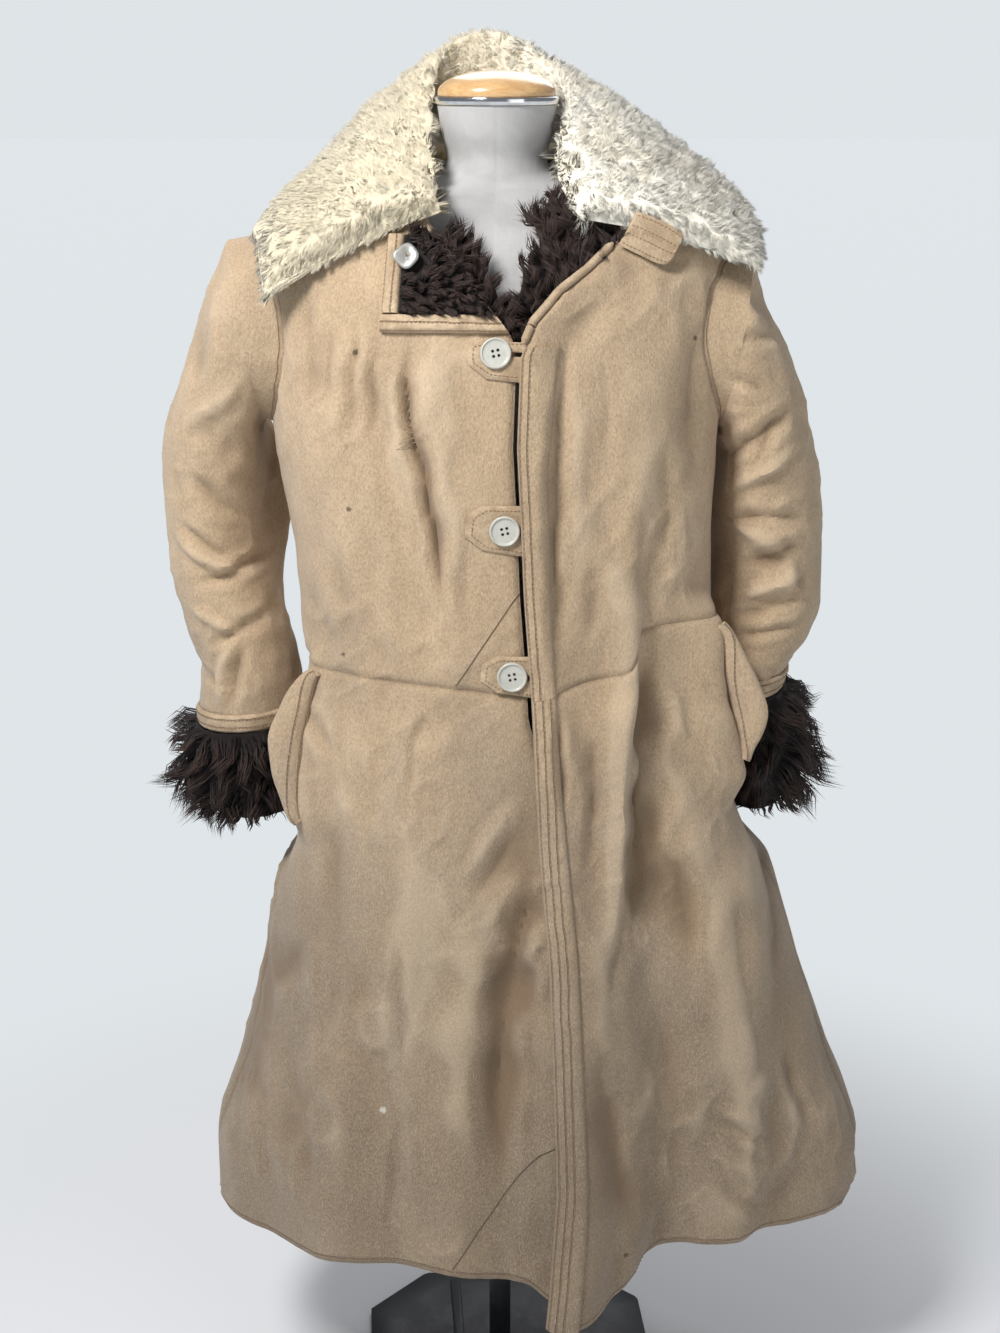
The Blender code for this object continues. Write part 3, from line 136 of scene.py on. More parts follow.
# Large folds: top, bottom, angle at each, depth at each (outward), width in degrees.
FOLDS = (
    (1.210, 0.910, -28.0, -16.0, -0.010, -0.005, 4.5),
    (1.200, 0.930, -40.0, -44.0, 0.005, 0.004, 7.0),
    (1.160, 0.660, 32.0, 27.0, 0.008, 0.008, 5.0),
    (1.120, 0.700, 41.0, 37.0, -0.006, -0.007, 6.0),
    (0.880, 0.200, 30.0, 24.5, -0.006, -0.048, 9.0),
    (0.780, 0.200, 58.0, 39.0, 0.007, 0.016, 7.0),
    (0.620, 0.200, 46.0, 44.0, 0.000, -0.052, 17.0),
    (0.860, 0.200, -2.0, -4.0, -0.004, -0.010, 5.0),
    (0.700, 0.200, -21.0, -24.0, -0.004, -0.012, 6.0),
    (0.640, 0.200, -38.0, -37.0, 0.004, 0.010, 7.0),
    (0.600, 0.200, -60.0, -55.0, -0.004, -0.010, 7.0),
    (0.930, 0.640, -96.0, -96.0, -0.030, -0.030, 21.0),
    (0.960, 0.650, 94.0, 94.0, -0.030, -0.036, 20.0),
    (0.935, 0.700, -63.0, -62.0, 0.012, 0.014, 9.0),
    (0.990, 0.740, 64.0, 62.0, 0.028, 0.030, 9.5),
    (0.850, 0.200, 128.0, 124.0, 0.006, 0.016, 9.0),
    (0.850, 0.200, 150.0, 147.0, -0.006, -0.016, 9.0),
    (0.850, 0.200, 172.0, 170.0, 0.005, 0.014, 9.0),
    (0.850, 0.200, 194.0, 197.0, -0.006, -0.016, 9.0),
    (0.850, 0.200, 216.0, 222.0, 0.006, 0.016, 10.0),
    (1.180, 0.930, 160.0, 166.0, -0.006, -0.004, 7.0),
    (1.200, 0.930, 205.0, 200.0, 0.006, 0.004, 8.0),
)
WAIST_SEAM = Table(
    "angle height",
    (-180, 0.935), (-90, 0.906), (-60, 0.900), (-25, 0.900), (-8, 0.896), (4, 0.890),
    (16, 0.901), (29, 0.913), (34, 0.944), (48, 0.952), (90, 0.953), (180, 0.935),
)
HEM_LINE = Table(
    "angle height",
    (-180, 0.254), (-60, 0.250), (-38, 0.255), (-20, 0.255), (-10, 0.250), (-2, 0.243), (3, 0.217),
    (11, 0.223), (17, 0.235), (24, 0.248), (33, 0.256), (60, 0.257), (90, 0.253), (180, 0.254),
)
RIGHT_EDGE = Table(
    "height x",
    (0.180, 0.074), (0.400, 0.080), (0.600, 0.070), (0.800, 0.047), (0.860, 0.030), (0.895, 0.022),
    (0.991, 0.016), (1.060, 0.012), (1.137, 0.008), (1.243, 0.010), (1.330, -0.058),
    (1.370, -0.083), (1.400, -0.094),
)
LEFT_EDGE = Table(
    "height x",
    (0.180, 0.052), (0.274, 0.058), (0.368, 0.062), (0.496, 0.057), (0.621, 0.051), (0.737, 0.040),
    (0.808, 0.035), (0.899, 0.030), (0.991, 0.023), (1.060, 0.020), (1.137, 0.016), (1.221, 0.019),
    (1.252, 0.033), (1.279, 0.057), (1.301, 0.086), (1.327, 0.114), (1.350, 0.116),
    (1.375, 0.108), (1.400, 0.088),
)
LEFT_PROUD = Table(
    "height lift reach",
    (0.180, 0.048, 0.048), (0.245, 0.044, 0.048), (0.400, 0.028, 0.050), (0.600, 0.017, 0.048),
    (0.800, 0.0125, 0.040), (0.900, 0.012, 0.040), (1.245, 0.012, 0.040), (1.300, 0.005, 0.045),
    (1.330, 0.000, 0.045), (1.400, 0.000, 0.045),
)
SLEEVE_COLUMNS = "place outer_x outer_z inner_x inner_z half_depth middle tuck"
TUCK_TURN = 222.0           # where the slack behind the armpit lies round a sleeve, in degrees
TUCK_WIDTH = 30.0
SLEEVES = {
    -1: Table(
        SLEEVE_COLUMNS,
        (0, -0.274, 1.319, -0.236, 1.136, 0.080, 0.006, 0.000),
        (1, -0.293, 1.280, -0.243, 1.130, 0.080, 0.008, 0.000),
        (2, -0.312, 1.230, -0.247, 1.118, 0.078, 0.010, 0.010),
        (3, -0.334, 1.170, -0.250, 1.098, 0.075, 0.014, 0.030),
        (4, -0.351, 1.115, -0.251, 1.070, 0.072, 0.018, 0.044),
        (5, -0.354, 1.066, -0.253, 1.038, 0.070, 0.022, 0.044),
        (6, -0.352, 1.012, -0.250, 1.000, 0.069, 0.024, 0.034),
        (7, -0.348, 0.958, -0.240, 0.960, 0.068, 0.024, 0.016),
        (8, -0.335, 0.905, -0.226, 0.912, 0.066, 0.022, 0.000),
        (9, -0.323, 0.866, -0.217, 0.868, 0.064, 0.020, 0.000),
        (10, -0.326, 0.824, -0.213, 0.834, 0.062, 0.018, 0.000),
        (11, -0.320, 0.777, -0.213, 0.788, 0.060, 0.018, 0.000),
        (12, -0.314, 0.732, -0.216, 0.740, 0.057, 0.018, 0.000),
    ),
    1: Table(
        SLEEVE_COLUMNS,
        (0, 0.253, 1.312, 0.224, 1.136, 0.080, 0.006, 0.000),
        (1, 0.268, 1.262, 0.228, 1.130, 0.080, 0.008, 0.000),
        (2, 0.292, 1.215, 0.230, 1.116, 0.078, 0.010, 0.012),
        (3, 0.314, 1.162, 0.231, 1.092, 0.075, 0.014, 0.026),
        (4, 0.328, 1.108, 0.231, 1.062, 0.072, 0.018, 0.032),
        (5, 0.338, 1.052, 0.230, 1.028, 0.070, 0.022, 0.032),
        (6, 0.342, 1.000, 0.230, 0.990, 0.069, 0.024, 0.030),
        (7, 0.342, 0.950, 0.229, 0.950, 0.068, 0.024, 0.030),
        (8, 0.334, 0.910, 0.228, 0.915, 0.067, 0.022, 0.018),
        (9, 0.314, 0.884, 0.228, 0.878, 0.067, 0.020, 0.000),
        (10, 0.302, 0.842, 0.235, 0.836, 0.066, 0.020, 0.000),
        (11, 0.304, 0.792, 0.240, 0.788, 0.064, 0.022, 0.000),
        (12, 0.308, 0.746, 0.245, 0.742, 0.062, 0.022, 0.000),
    ),
}
CUFF_COLUMNS = "place height reach_out reach_in reach_depth"
CUFFS = {
    -1: Table(
        CUFF_COLUMNS,
        (0, 0.811, 0.020, 0.006, 0.014), (1, 0.795, 0.048, 0.007, 0.022),
        (2, 0.772, 0.056, 0.007, 0.026), (3, 0.747, 0.050, 0.006, 0.024),
        (4, 0.725, 0.026, 0.005, 0.016), (5, 0.713, 0.004, 0.000, 0.004),
    ),
    1: Table(
        CUFF_COLUMNS,
        (0, 0.848, 0.020, 0.004, 0.014), (1, 0.830, 0.044, 0.005, 0.020),
        (2, 0.805, 0.058, 0.005, 0.024), (3, 0.775, 0.066, 0.005, 0.024),
        (4, 0.748, 0.050, 0.004, 0.018), (5, 0.724, 0.008, 0.000, 0.006),
    ),
}
BAND_HEIGHT = 0.020
BAND_THICKNESS = 0.0035
# The collar by stations from the wearer's right round the back to the left: its neckline, roll and edge.
COLLAR_NECK = np.array([
    (-0.066, -0.096, 1.346), (-0.076, -0.072, 1.366), (-0.085, -0.040, 1.390), (-0.091, 0.000, 1.408),
    (-0.084, 0.038, 1.412), (-0.060, 0.063, 1.414), (-0.031, 0.074, 1.414), (0.000, 0.078, 1.414),
    (0.031, 0.074, 1.414), (0.060, 0.063, 1.414), (0.084, 0.038, 1.412), (0.092, 0.000, 1.408),
    (0.096, -0.036, 1.392), (0.096, -0.066, 1.366), (0.100, -0.090, 1.341)])
COLLAR_ROLL = np.array([
    (-0.066, -0.100, 1.366), (-0.070, -0.066, 1.392), (-0.073, -0.036, 1.424), (-0.0745, 0.010, 1.454),
    (-0.070, 0.054, 1.484), (-0.056, 0.086, 1.506), (-0.030, 0.100, 1.519), (0.000, 0.105, 1.521),
    (0.031, 0.100, 1.507), (0.052, 0.086, 1.493), (0.067, 0.054, 1.476), (0.070, 0.010, 1.456),
    (0.064, -0.034, 1.426), (0.062, -0.064, 1.394), (0.082, -0.098, 1.356)])
COLLAR_EDGE = np.array([
    (-0.222, -0.102, 1.275), (-0.232, -0.055, 1.318), (-0.233, 0.000, 1.343), (-0.226, 0.048, 1.344),
    (-0.202, 0.100, 1.348), (-0.146, 0.140, 1.350), (-0.076, 0.160, 1.352), (0.002, 0.168, 1.354),
    (0.078, 0.160, 1.352), (0.150, 0.140, 1.350), (0.206, 0.100, 1.350), (0.238, 0.048, 1.348),
    (0.248, -0.002, 1.336), (0.250, -0.050, 1.320), (0.244, -0.090, 1.302)])
COLLAR_FUR = 0.023
STAND_FUR = 0.010
UNDERSIDE_LIFT = 0.0046
FALL = ((0.10, 0.45), (0.30, 0.95), (0.55, 1.00), (0.80, 0.90), (0.97, 0.55))
FORM_FOOT = 0.762
FORM_SEAM = 1.3735          # where the cover's neck is sewn to its shoulders
FORM = Table(
    "height centre half_width front back squareness",
    (FORM_FOOT, 0.000, 0.166, 0.108, 0.106, 2.1), (0.790, 0.000, 0.171, 0.114, 0.112, 2.1),
    (0.840, 0.000, 0.168, 0.114, 0.108, 2.1), (0.920, 0.000, 0.150, 0.104, 0.094, 2.1),
    (1.000, 0.000, 0.138, 0.098, 0.084, 2.1), (1.080, -0.001, 0.155, 0.112, 0.092, 2.1),
    (1.150, -0.003, 0.176, 0.122, 0.100, 2.1), (1.200, -0.004, 0.186, 0.118, 0.104, 2.1),
    (1.250, -0.005, 0.198, 0.106, 0.102, 2.1), (1.300, -0.006, 0.206, 0.086, 0.095, 2.1),
    (1.325, -0.006, 0.205, 0.071, 0.086, 2.1), (1.340, -0.006, 0.193, 0.063, 0.078, 2.1),
    (1.352, -0.006, 0.1765, 0.058, 0.072, 2.1), (1.366, -0.005, 0.150, 0.054, 0.064, 2.1),
    (1.373, -0.004, 0.122, 0.053, 0.060, 2.0), (1.378, -0.003, 0.085, 0.052, 0.056, 2.0),
    (1.386, -0.003, 0.056, 0.051, 0.053, 2.0), (1.400, -0.003, 0.050, 0.050, 0.050, 2.0),
    (1.425, -0.003, 0.055, 0.055, 0.055, 2.0), (1.4505, -0.003, 0.059, 0.059, 0.059, 2.0),
)
WELTS = {
    -1: Table(
        "height angle lift free_x free_y",
        (0.734, -60.0, 0.0008, -0.224, -0.103), (0.760, -61.0, 0.0008, -0.230, -0.099),
        (0.790, -61.0, 0.0008, -0.237, -0.099), (0.822, -61.0, 0.0008, -0.239, -0.100),
        (0.862, -60.0, 0.0008, -0.224, -0.098), (0.896, -58.0, 0.0008, -0.205, -0.092),
    ),
    1: Table(
        "height angle lift free_x free_y",
        (0.800, 65.0, 0.0008, 0.262, -0.096), (0.824, 66.5, 0.0016, 0.272, -0.096),
        (0.850, 66.5, 0.0024, 0.276, -0.096), (0.880, 66.0, 0.0014, 0.267, -0.094),
        (0.911, 65.0, 0.0008, 0.251, -0.090), (0.944, 63.0, 0.0008, 0.231, -0.086),
    ),
}
WELT_THICKNESS = 0.005
WELT_CROWN = 0.0032
# Fastenings: x, height, tilt in degrees, the tab's tip in x, its rise and its drop.
FASTENINGS = (
    (-0.0040, 1.2255, -3.0, -0.026, 0.0120, 0.0260),
    (0.0045, 1.0580, -6.0, -0.038, 0.0260, 0.0240),
    (0.0120, 0.9120, -6.0, -0.031, 0.0220, 0.0200),
)
TAB_LIFT = 0.0009
TAB_THICKNESS = 0.0024
TAB_UNDER = 0.009
SLIT_HALF = 0.0019          # half the width of a tab's buttonhole
# A button's turned profile, as radius and height in millimetres, from its foot up and in to its middle.
BUTTON_PROFILE = ((0.0, 0.0), (13.0, 0.0), (14.6, 0.8), (15.0, 1.8), (14.9, 3.2), (14.3, 4.3), (13.5, 4.6),
                  (12.9, 4.2), (12.2, 3.4), (11.0, 3.0), (6.0, 2.9), (0.0, 2.9))
HOLE_AWAY = 0.0036          # a thread hole's distance from the button's middle, and its radius
HOLE_RADIUS = 0.0015
COLLAR_TAB = np.array([
    ((0.1135, -0.0970, 1.3240), (0.1305, -0.0960, 1.3550)),
    ((0.1330, -0.0985, 1.3145), (0.1515, -0.0957, 1.3475)),
    ((0.1540, -0.0980, 1.3055), (0.1725, -0.0947, 1.3355)),
    ((0.1645, -0.0970, 1.3080), (0.1740, -0.0945, 1.3285))])
LAPEL_TOP = 1.331
LAPEL_BOTTOM = 1.2440
LAPEL_OUTER_TOP = -0.107
LAPEL_OUTER_BOTTOM = -0.114
LAPEL_BAND = 0.017
LAPEL_LIFT = 0.0010
LAPEL_BAND_TOP = 0.0085
LAPEL_FUR_TOP = 0.0150
DISC_X = -0.087
DISC_HEIGHT = 1.309
DISC_RADIUS = 0.0150
DISC_SHARE = 0.80           # the backing disc's own size, of the clearing in the fur
NECK_FUR_RIGHT = Table("height reach", (1.244, 0.003), (1.262, 0.010), (1.285, 0.014), (1.308, 0.015),
                       (1.332, 0.014))
NECK_FUR_LEFT = Table("height reach", (1.228, 0.005), (1.252, 0.024), (1.276, 0.040), (1.300, 0.056),
                      (1.326, 0.076), (1.345, 0.080), (1.360, 0.070))
PLACKET_LIFT = 0.0010
PLACKET_THICKNESS = 0.0025
PIPING_RADIUS = 0.004
NECK_CENTRE = -0.003
RING_RADIUS = 0.061
RING_BOTTOM = 1.4508
RING_TOP = 1.4585
CAP_RADIUS = 0.0585
CAP_TOP = 1.4835
PLATE_HALF = 0.167
PLATE_X = 0.013
PLATE_CHAMFER = 0.070
PLATE_THICKNESS = 0.008
PLATE_TURN = math.radians(4.0)
BAR_X = -0.060
BAR_WIDTH = 0.012
BAR_LENGTH = 0.290
BAR_HEIGHT = 0.004
POLE_RADIUS = 0.0125

# Creases listed one by one: width, depth, lean, and the points passed, as x and height, in metres. A
# trough has a negative depth; with a lean above 0 the side towards +x is the steeper on the way down.
FRONT_CREASES = (
    (0.0062, -0.0125, -0.6, (-0.088, 1.258), (-0.090, 1.180), (-0.087, 1.140), (-0.074, 1.114),
     (-0.070, 1.082), (-0.065, 1.040), (-0.057, 0.976), (-0.053, 0.940)),
    (0.0110, 0.0045, 0.4, (-0.102, 1.230), (-0.104, 1.180), (-0.100, 1.135), (-0.090, 1.090)),
    (0.0117, 0.0031, 0.0, (-0.078, 1.240), (-0.066, 1.170), (-0.050, 1.090), (-0.040, 1.020)),
    (0.0091, 0.0025, -0.4, (-0.104, 1.238), (-0.100, 1.160), (-0.093, 1.080), (-0.083, 1.000)),
    (0.0055, -0.0050, 0.3, (-0.163, 1.262), (-0.167, 1.215), (-0.170, 1.160)),
    (0.0055, -0.0050, -0.3, (-0.140, 1.262), (-0.143, 1.190), (-0.148, 1.115)),
    (0.0050, -0.0044, 0.3, (-0.120, 1.256), (-0.121, 1.200), (-0.125, 1.130)),
    (0.0091, 0.0025, 0.0, (-0.152, 1.260), (-0.156, 1.190), (-0.160, 1.130)),
    (0.0091, 0.0022, 0.0, (-0.130, 1.258), (-0.134, 1.190), (-0.137, 1.120)),
    (0.0065, -0.0036, 0.0, (-0.187, 1.285), (-0.184, 1.220), (-0.190, 1.160)),
    (0.0104, 0.0026, 0.5, (-0.066, 1.232), (-0.046, 1.170), (-0.030, 1.115)),
    (0.0080, -0.0030, 0.0, (-0.170, 1.040), (-0.158, 0.985), (-0.152, 0.925)),
    (0.0100, -0.0030, 0.2, (-0.205, 0.990), (-0.180, 0.945), (-0.150, 0.925)),
    (0.0091, 0.0021, 0.0, (-0.120, 1.020), (-0.112, 0.960), (-0.100, 0.915)),
    (0.0060, -0.0034, 0.0, (-0.030, 1.040), (-0.034, 0.990), (-0.028, 0.935)),
    (0.0085, -0.0080, -0.3, (0.067, 1.262), (0.061, 1.215), (0.056, 1.166), (0.055, 1.108),
     (0.055, 1.049), (0.054, 0.989), (0.057, 0.890)),
    (0.0117, 0.0025, -0.3, (0.078, 1.262), (0.070, 1.200), (0.066, 1.120), (0.066, 1.040), (0.068, 0.960)),
    (0.0110, -0.0050, 0.3, (0.196, 1.262), (0.188, 1.200), (0.190, 1.140), (0.202, 1.080)),
    (0.0090, -0.0034, 0.0, (0.096, 1.240), (0.104, 1.180), (0.100, 1.110)),
    (0.0130, 0.0025, 0.0, (0.134, 1.180), (0.148, 1.100), (0.148, 1.020)),
    (0.0080, -0.0036, 0.4, (0.158, 1.150), (0.166, 1.080), (0.162, 1.010)),
    (0.0070, -0.0036, -0.3, (0.082, 0.936), (0.094, 0.985), (0.092, 1.040)),
    (0.0104, 0.0024, 0.3, (0.104, 1.030), (0.126, 0.985), (0.132, 0.950)),
    (0.0110, 0.0085, 0.8, (0.142, 1.040), (0.135, 0.985), (0.131, 0.930), (0.127, 0.862),
     (0.124, 0.794), (0.120, 0.730), (0.114, 0.656), (0.108, 0.594), (0.104, 0.520)),
    (0.0105, -0.0130, -0.4, (0.150, 0.950), (0.146, 0.862), (0.144, 0.780), (0.141, 0.700), (0.137, 0.600)),
    (0.0040, -0.0062, 0.0, (0.056, 0.889), (0.057, 0.854), (0.060, 0.798), (0.063, 0.760)),
    (0.0084, 0.0026, 0.3, (0.066, 0.885), (0.071, 0.830), (0.082, 0.788), (0.079, 0.733), (0.073, 0.680)),
    (0.0070, -0.0042, 0.0, (0.090, 0.860), (0.096, 0.790), (0.094, 0.720)),
    (0.0055, 0.0017, 0.4, (0.138, 0.935), (0.157, 0.901), (0.175, 0.871), (0.184, 0.840), (0.216, 0.805),
     (0.250, 0.762)),
    (0.0060, -0.0032, 0.0, (0.206, 0.890), (0.222, 0.868), (0.240, 0.850)),
    (0.0200, -0.0110, 0.2, (0.152, 0.790), (0.162, 0.726), (0.183, 0.685), (0.196, 0.640), (0.204, 0.560)),
    (0.0104, 0.0035, 0.5, (0.262, 0.830), (0.264, 0.760), (0.264, 0.710), (0.275, 0.663), (0.284, 0.556),
     (0.300, 0.450)),
    (0.0100, -0.0056, 0.0, (0.280, 0.760), (0.292, 0.660), (0.305, 0.540)),
    (0.0050, -0.0044, 0.0, (-0.077, 0.893), (-0.077, 0.862), (-0.088, 0.823), (-0.090, 0.770)),
    (0.0078, 0.0021, 0.0, (-0.048, 0.866), (-0.056, 0.842), (-0.070, 0.812)),
    (0.0052, 0.0016, 0.0, (-0.092, 0.772), (-0.073, 0.757), (-0.065, 0.741), (-0.052, 0.764),
     (-0.042, 0.795)),
    (0.0091, 0.0032, 0.7, (-0.046, 0.688), (-0.030, 0.712), (-0.014, 0.737), (0.000, 0.760), (0.016, 0.785),
     (0.026, 0.815)),
    (0.0091, 0.0029, 0.6, (-0.016, 0.640), (0.000, 0.668), (0.014, 0.692), (0.030, 0.722)),
    (0.0080, -0.0050, 0.0, (-0.030, 0.668), (-0.012, 0.700), (0.004, 0.730), (0.020, 0.760)),
    (0.0130, -0.0105, 0.5, (0.034, 0.740), (0.030, 0.690), (0.020, 0.630), (0.009, 0.550), (0.001, 0.480),
     (0.003, 0.400), (0.006, 0.310)),
    (0.0160, -0.0058, 0.0, (0.022, 0.860), (0.022, 0.720), (0.028, 0.560), (0.032, 0.420), (0.036, 0.320)),
    (0.0050, -0.0040, 0.0, (0.052, 0.640), (0.036, 0.604), (0.024, 0.566)),
    (0.0091, 0.0025, 0.0, (0.004, 0.600), (0.014, 0.540), (0.012, 0.470)),
    (0.0065, -0.0048, 0.0, (-0.100, 0.640), (-0.104, 0.590), (-0.101, 0.530), (-0.106, 0.470)),
    (0.0240, 0.0035, 0.0, (-0.034, 0.740), (-0.036, 0.600), (-0.040, 0.450), (-0.034, 0.320)),
    (0.0300, 0.0080, 0.0, (-0.080, 0.780), (-0.086, 0.640), (-0.100, 0.480), (-0.120, 0.330)),
    (0.0300, -0.0080, 0.0, (-0.250, 0.640), (-0.262, 0.520), (-0.262, 0.400), (-0.250, 0.300)),
    (0.0240, -0.0080, 0.2, (0.090, 0.540), (0.110, 0.450), (0.130, 0.360), (0.150, 0.270)),
    (0.0220, 0.0070, 0.0, (0.190, 0.760), (0.230, 0.600), (0.262, 0.440), (0.280, 0.310)),
    (0.0182, 0.0032, -0.3, (-0.050, 0.600), (-0.046, 0.500), (-0.060, 0.380)),
    (0.0117, 0.0037, -0.6, (-0.190, 0.885), (-0.212, 0.830), (-0.222, 0.760), (-0.223, 0.700),
     (-0.221, 0.643), (-0.213, 0.595)),
    (0.0120, -0.0050, 0.0, (-0.205, 0.610), (-0.232, 0.560), (-0.262, 0.520)),
    (0.0100, -0.0040, 0.0, (-0.180, 0.800), (-0.170, 0.720), (-0.176, 0.640)),
    (0.0070, -0.0036, 0.0, (-0.202, 0.868), (-0.186, 0.836), (-0.160, 0.812)),
    (0.0055, -0.0040, 0.0, (-0.107, 0.455), (-0.109, 0.370), (-0.123, 0.280)),
    (0.0160, -0.0050, 0.0, (-0.200, 0.480), (-0.210, 0.400), (-0.204, 0.310)),
    (0.0195, 0.0029, 0.0, (-0.160, 0.560), (-0.164, 0.450), (-0.172, 0.340)),
    (0.0140, -0.0046, 0.0, (-0.280, 0.480), (-0.292, 0.400), (-0.290, 0.310)),
    (0.0117, 0.0032, -0.4, (0.094, 0.620), (0.104, 0.540), (0.124, 0.460), (0.141, 0.375), (0.156, 0.300)),
    (0.0120, -0.0052, 0.0, (0.164, 0.565), (0.180, 0.474), (0.190, 0.380), (0.206, 0.300)),
    (0.0104, 0.0026, 0.3, (0.228, 0.690), (0.246, 0.592), (0.260, 0.500)),
    (0.0065, 0.0021, 0.3, (0.214, 0.430), (0.255, 0.412), (0.299, 0.377)),
    (0.0050, -0.0034, 0.0, (0.218, 0.415), (0.256, 0.394), (0.290, 0.362)),
    (0.0062, 0.0021, 0.4, (0.257, 0.535), (0.266, 0.475), (0.254, 0.440)),
    (0.0078, 0.0026, 0.5, (0.294, 0.480), (0.314, 0.415), (0.338, 0.350)),
    (0.0060, -0.0040, 0.0, (0.306, 0.480), (0.326, 0.415), (0.348, 0.360)),
    (0.0065, 0.0019, 0.0, (0.205, 0.395), (0.256, 0.352), (0.320, 0.324)),
    (0.0070, -0.0034, 0.0, (0.236, 0.340), (0.262, 0.310), (0.300, 0.285)),
)
BACK_CREASES = (
    (0.0080, -0.0056, 0.3, (-0.150, 1.290), (-0.134, 1.220), (-0.122, 1.130)),
    (0.0143, 0.0031, 0.0, (-0.088, 1.210), (-0.102, 1.120), (-0.108, 1.010)),
    (0.0090, -0.0046, 0.0, (-0.028, 1.140), (-0.040, 1.050), (-0.044, 0.950)),
    (0.0110, -0.0050, -0.3, (0.044, 1.200), (0.038, 1.100), (0.026, 0.980)),
    (0.0104, 0.0029, 0.0, (0.116, 1.290), (0.108, 1.210), (0.094, 1.130)),
    (0.0110, -0.0052, 0.4, (0.148, 1.210), (0.150, 1.120), (0.164, 1.020)),
    (0.0117, 0.0027, 0.0, (-0.166, 1.110), (-0.184, 1.040), (-0.190, 0.960)),
    (0.0104, 0.0025, 0.0, (0.066, 1.070), (0.096, 1.010), (0.122, 0.955)),
    (0.0100, -0.0070, 0.3, (-0.118, 0.915), (-0.138, 0.780), (-0.150, 0.620)),
    (0.0156, 0.0040, -0.3, (-0.060, 0.900), (-0.072, 0.730), (-0.070, 0.540)),
    (0.0100, -0.0062, 0.0, (0.012, 0.915), (0.008, 0.780), (-0.002, 0.620)),
    (0.0169, 0.0041, 0.4, (0.068, 0.890), (0.084, 0.700), (0.112, 0.500)),
    (0.0100, -0.0068, 0.0, (0.148, 0.905), (0.170, 0.770), (0.192, 0.600)),
    (0.0182, 0.0040, 0.0, (-0.196, 0.720), (-0.220, 0.570), (-0.242, 0.400)),
    (0.0140, -0.0066, 0.0, (0.206, 0.660), (0.232, 0.540), (0.262, 0.390)),
    (0.0140, -0.0058, 0.0, (-0.016, 0.540), (-0.034, 0.440), (-0.052, 0.320)),
    (0.0169, 0.0036, 0.3, (0.118, 0.500), (0.132, 0.420), (0.152, 0.310)),
    (0.0060, -0.0040, 0.0, (-0.140, 0.480), (-0.120, 0.430), (-0.124, 0.360)),
    (0.0078, 0.0022, 0.0, (0.040, 0.700), (0.020, 0.640), (0.026, 0.590)),
)
SEAM_DIP = 0.0025           # how far hide rolls down at a sewn edge, and over what reach
SEAM_REACH = 0.0034


# ---------------------------------------------------------------- arithmetic on whole arrays
def blend(a, b, t):
    return a + (b - a) * t


def smooth_step(t):
    t = np.clip(t, 0.0, 1.0)
    return t * t * (3.0 - 2.0 * t)


def unit(vectors):
    return vectors / np.maximum(np.linalg.norm(vectors, axis=-1, keepdims=True), 1e-12)


def scatter(cells, seed):
    """A number from -1 to 1 for each whole-numbered lattice point, from a hash of its coordinates."""
    c = cells.astype(np.int64)
    h = (c[..., 0] * 73856093) ^ (c[..., 1] * 19349663) ^ (c[..., 2] * 83492791) ^ (seed * 40503171)
    h = ((h & 0xFFFFFFFF) ^ ((h & 0xFFFFFFFF) >> 13)) * 1274126177 & 0xFFFFFFFF
    h = h ^ (h >> 16)
    return (h & 0xFFFFF) / 524287.5 - 1.0


def noise(points, pitch, seed=0):
    """Smooth noise from -1 to 1: lattice numbers at a pitch, blended by a quintic step in x, y, z."""
    place = points / pitch
    cell = np.floor(place)
    t = place - cell
    t = t * t * t * (t * (t * 6 - 15) + 10)
    total = 0.0
    for corner in np.ndindex(2, 2, 2):
        weight = np.prod(np.where(np.array(corner) == 1, t, 1 - t), axis=-1)
        total = total + weight * scatter(cell + corner, seed)
    return total


def tufts(points, pitch, seed=0):
    """Rounded tufts: one minus the squared distance to the nearest jittered lattice point."""
    place = points / pitch
    cell = np.floor(place)
    nearest = np.full(points.shape[:-1], 9.0)
    for corner in np.ndindex(3, 3, 3):
        spot = cell + np.array(corner) - 1
        jitter = np.stack([scatter(spot, seed + k) for k in (1, 2, 3)], -1) * 0.42 + 0.5
        nearest = np.minimum(nearest, ((spot + jitter - place) ** 2).sum(-1))
    return 1.0 - nearest


def catmull(points, at, closed=False):
    """Points on a Catmull-Rom curve through the first axis of an array, at fractional indices."""
    count = len(points)
    low = np.floor(at).astype(int)
    if not closed:
        low = np.clip(low, 0, count - 2)
    t = (at - low).reshape(-1, *[1] * (points.ndim - 1))
    ids = [low + k for k in (-1, 0, 1, 2)]
    ids = [i % count if closed else np.clip(i, 0, count - 1) for i in ids]
    p0, p1, p2, p3 = (points[i] for i in ids)
    return 0.5 * (2 * p1 + (p2 - p0) * t + (2 * p0 - 5 * p1 + 4 * p2 - p3) * t ** 2
                  + (3 * p1 - p0 - 3 * p2 + p3) * t ** 3)


def grid_normals(points, around=False):
    """The unit cross product of a grid's two central differences."""
    if around:
        wrapped = np.concatenate([points[:, -1:], points, points[:, :1]], axis=1)
        across = (wrapped[:, 2:] - wrapped[:, :-2])
    else:
        across = np.gradient(points, axis=1)
    return unit(np.cross(across, np.gradient(points, axis=0)))


def outward_normals(rings):
    """A closed grid's normals, away from its rings' middles."""
    normals = grid_normals(rings, around=True)
    return normals * np.sign((normals * (rings - rings.mean(1, keepdims=True))).sum())


def forward_normals(points):
    """An open grid's normals, each towards the front."""
    normals = grid_normals(points)
    return normals * np.sign(-normals[..., 1:2])


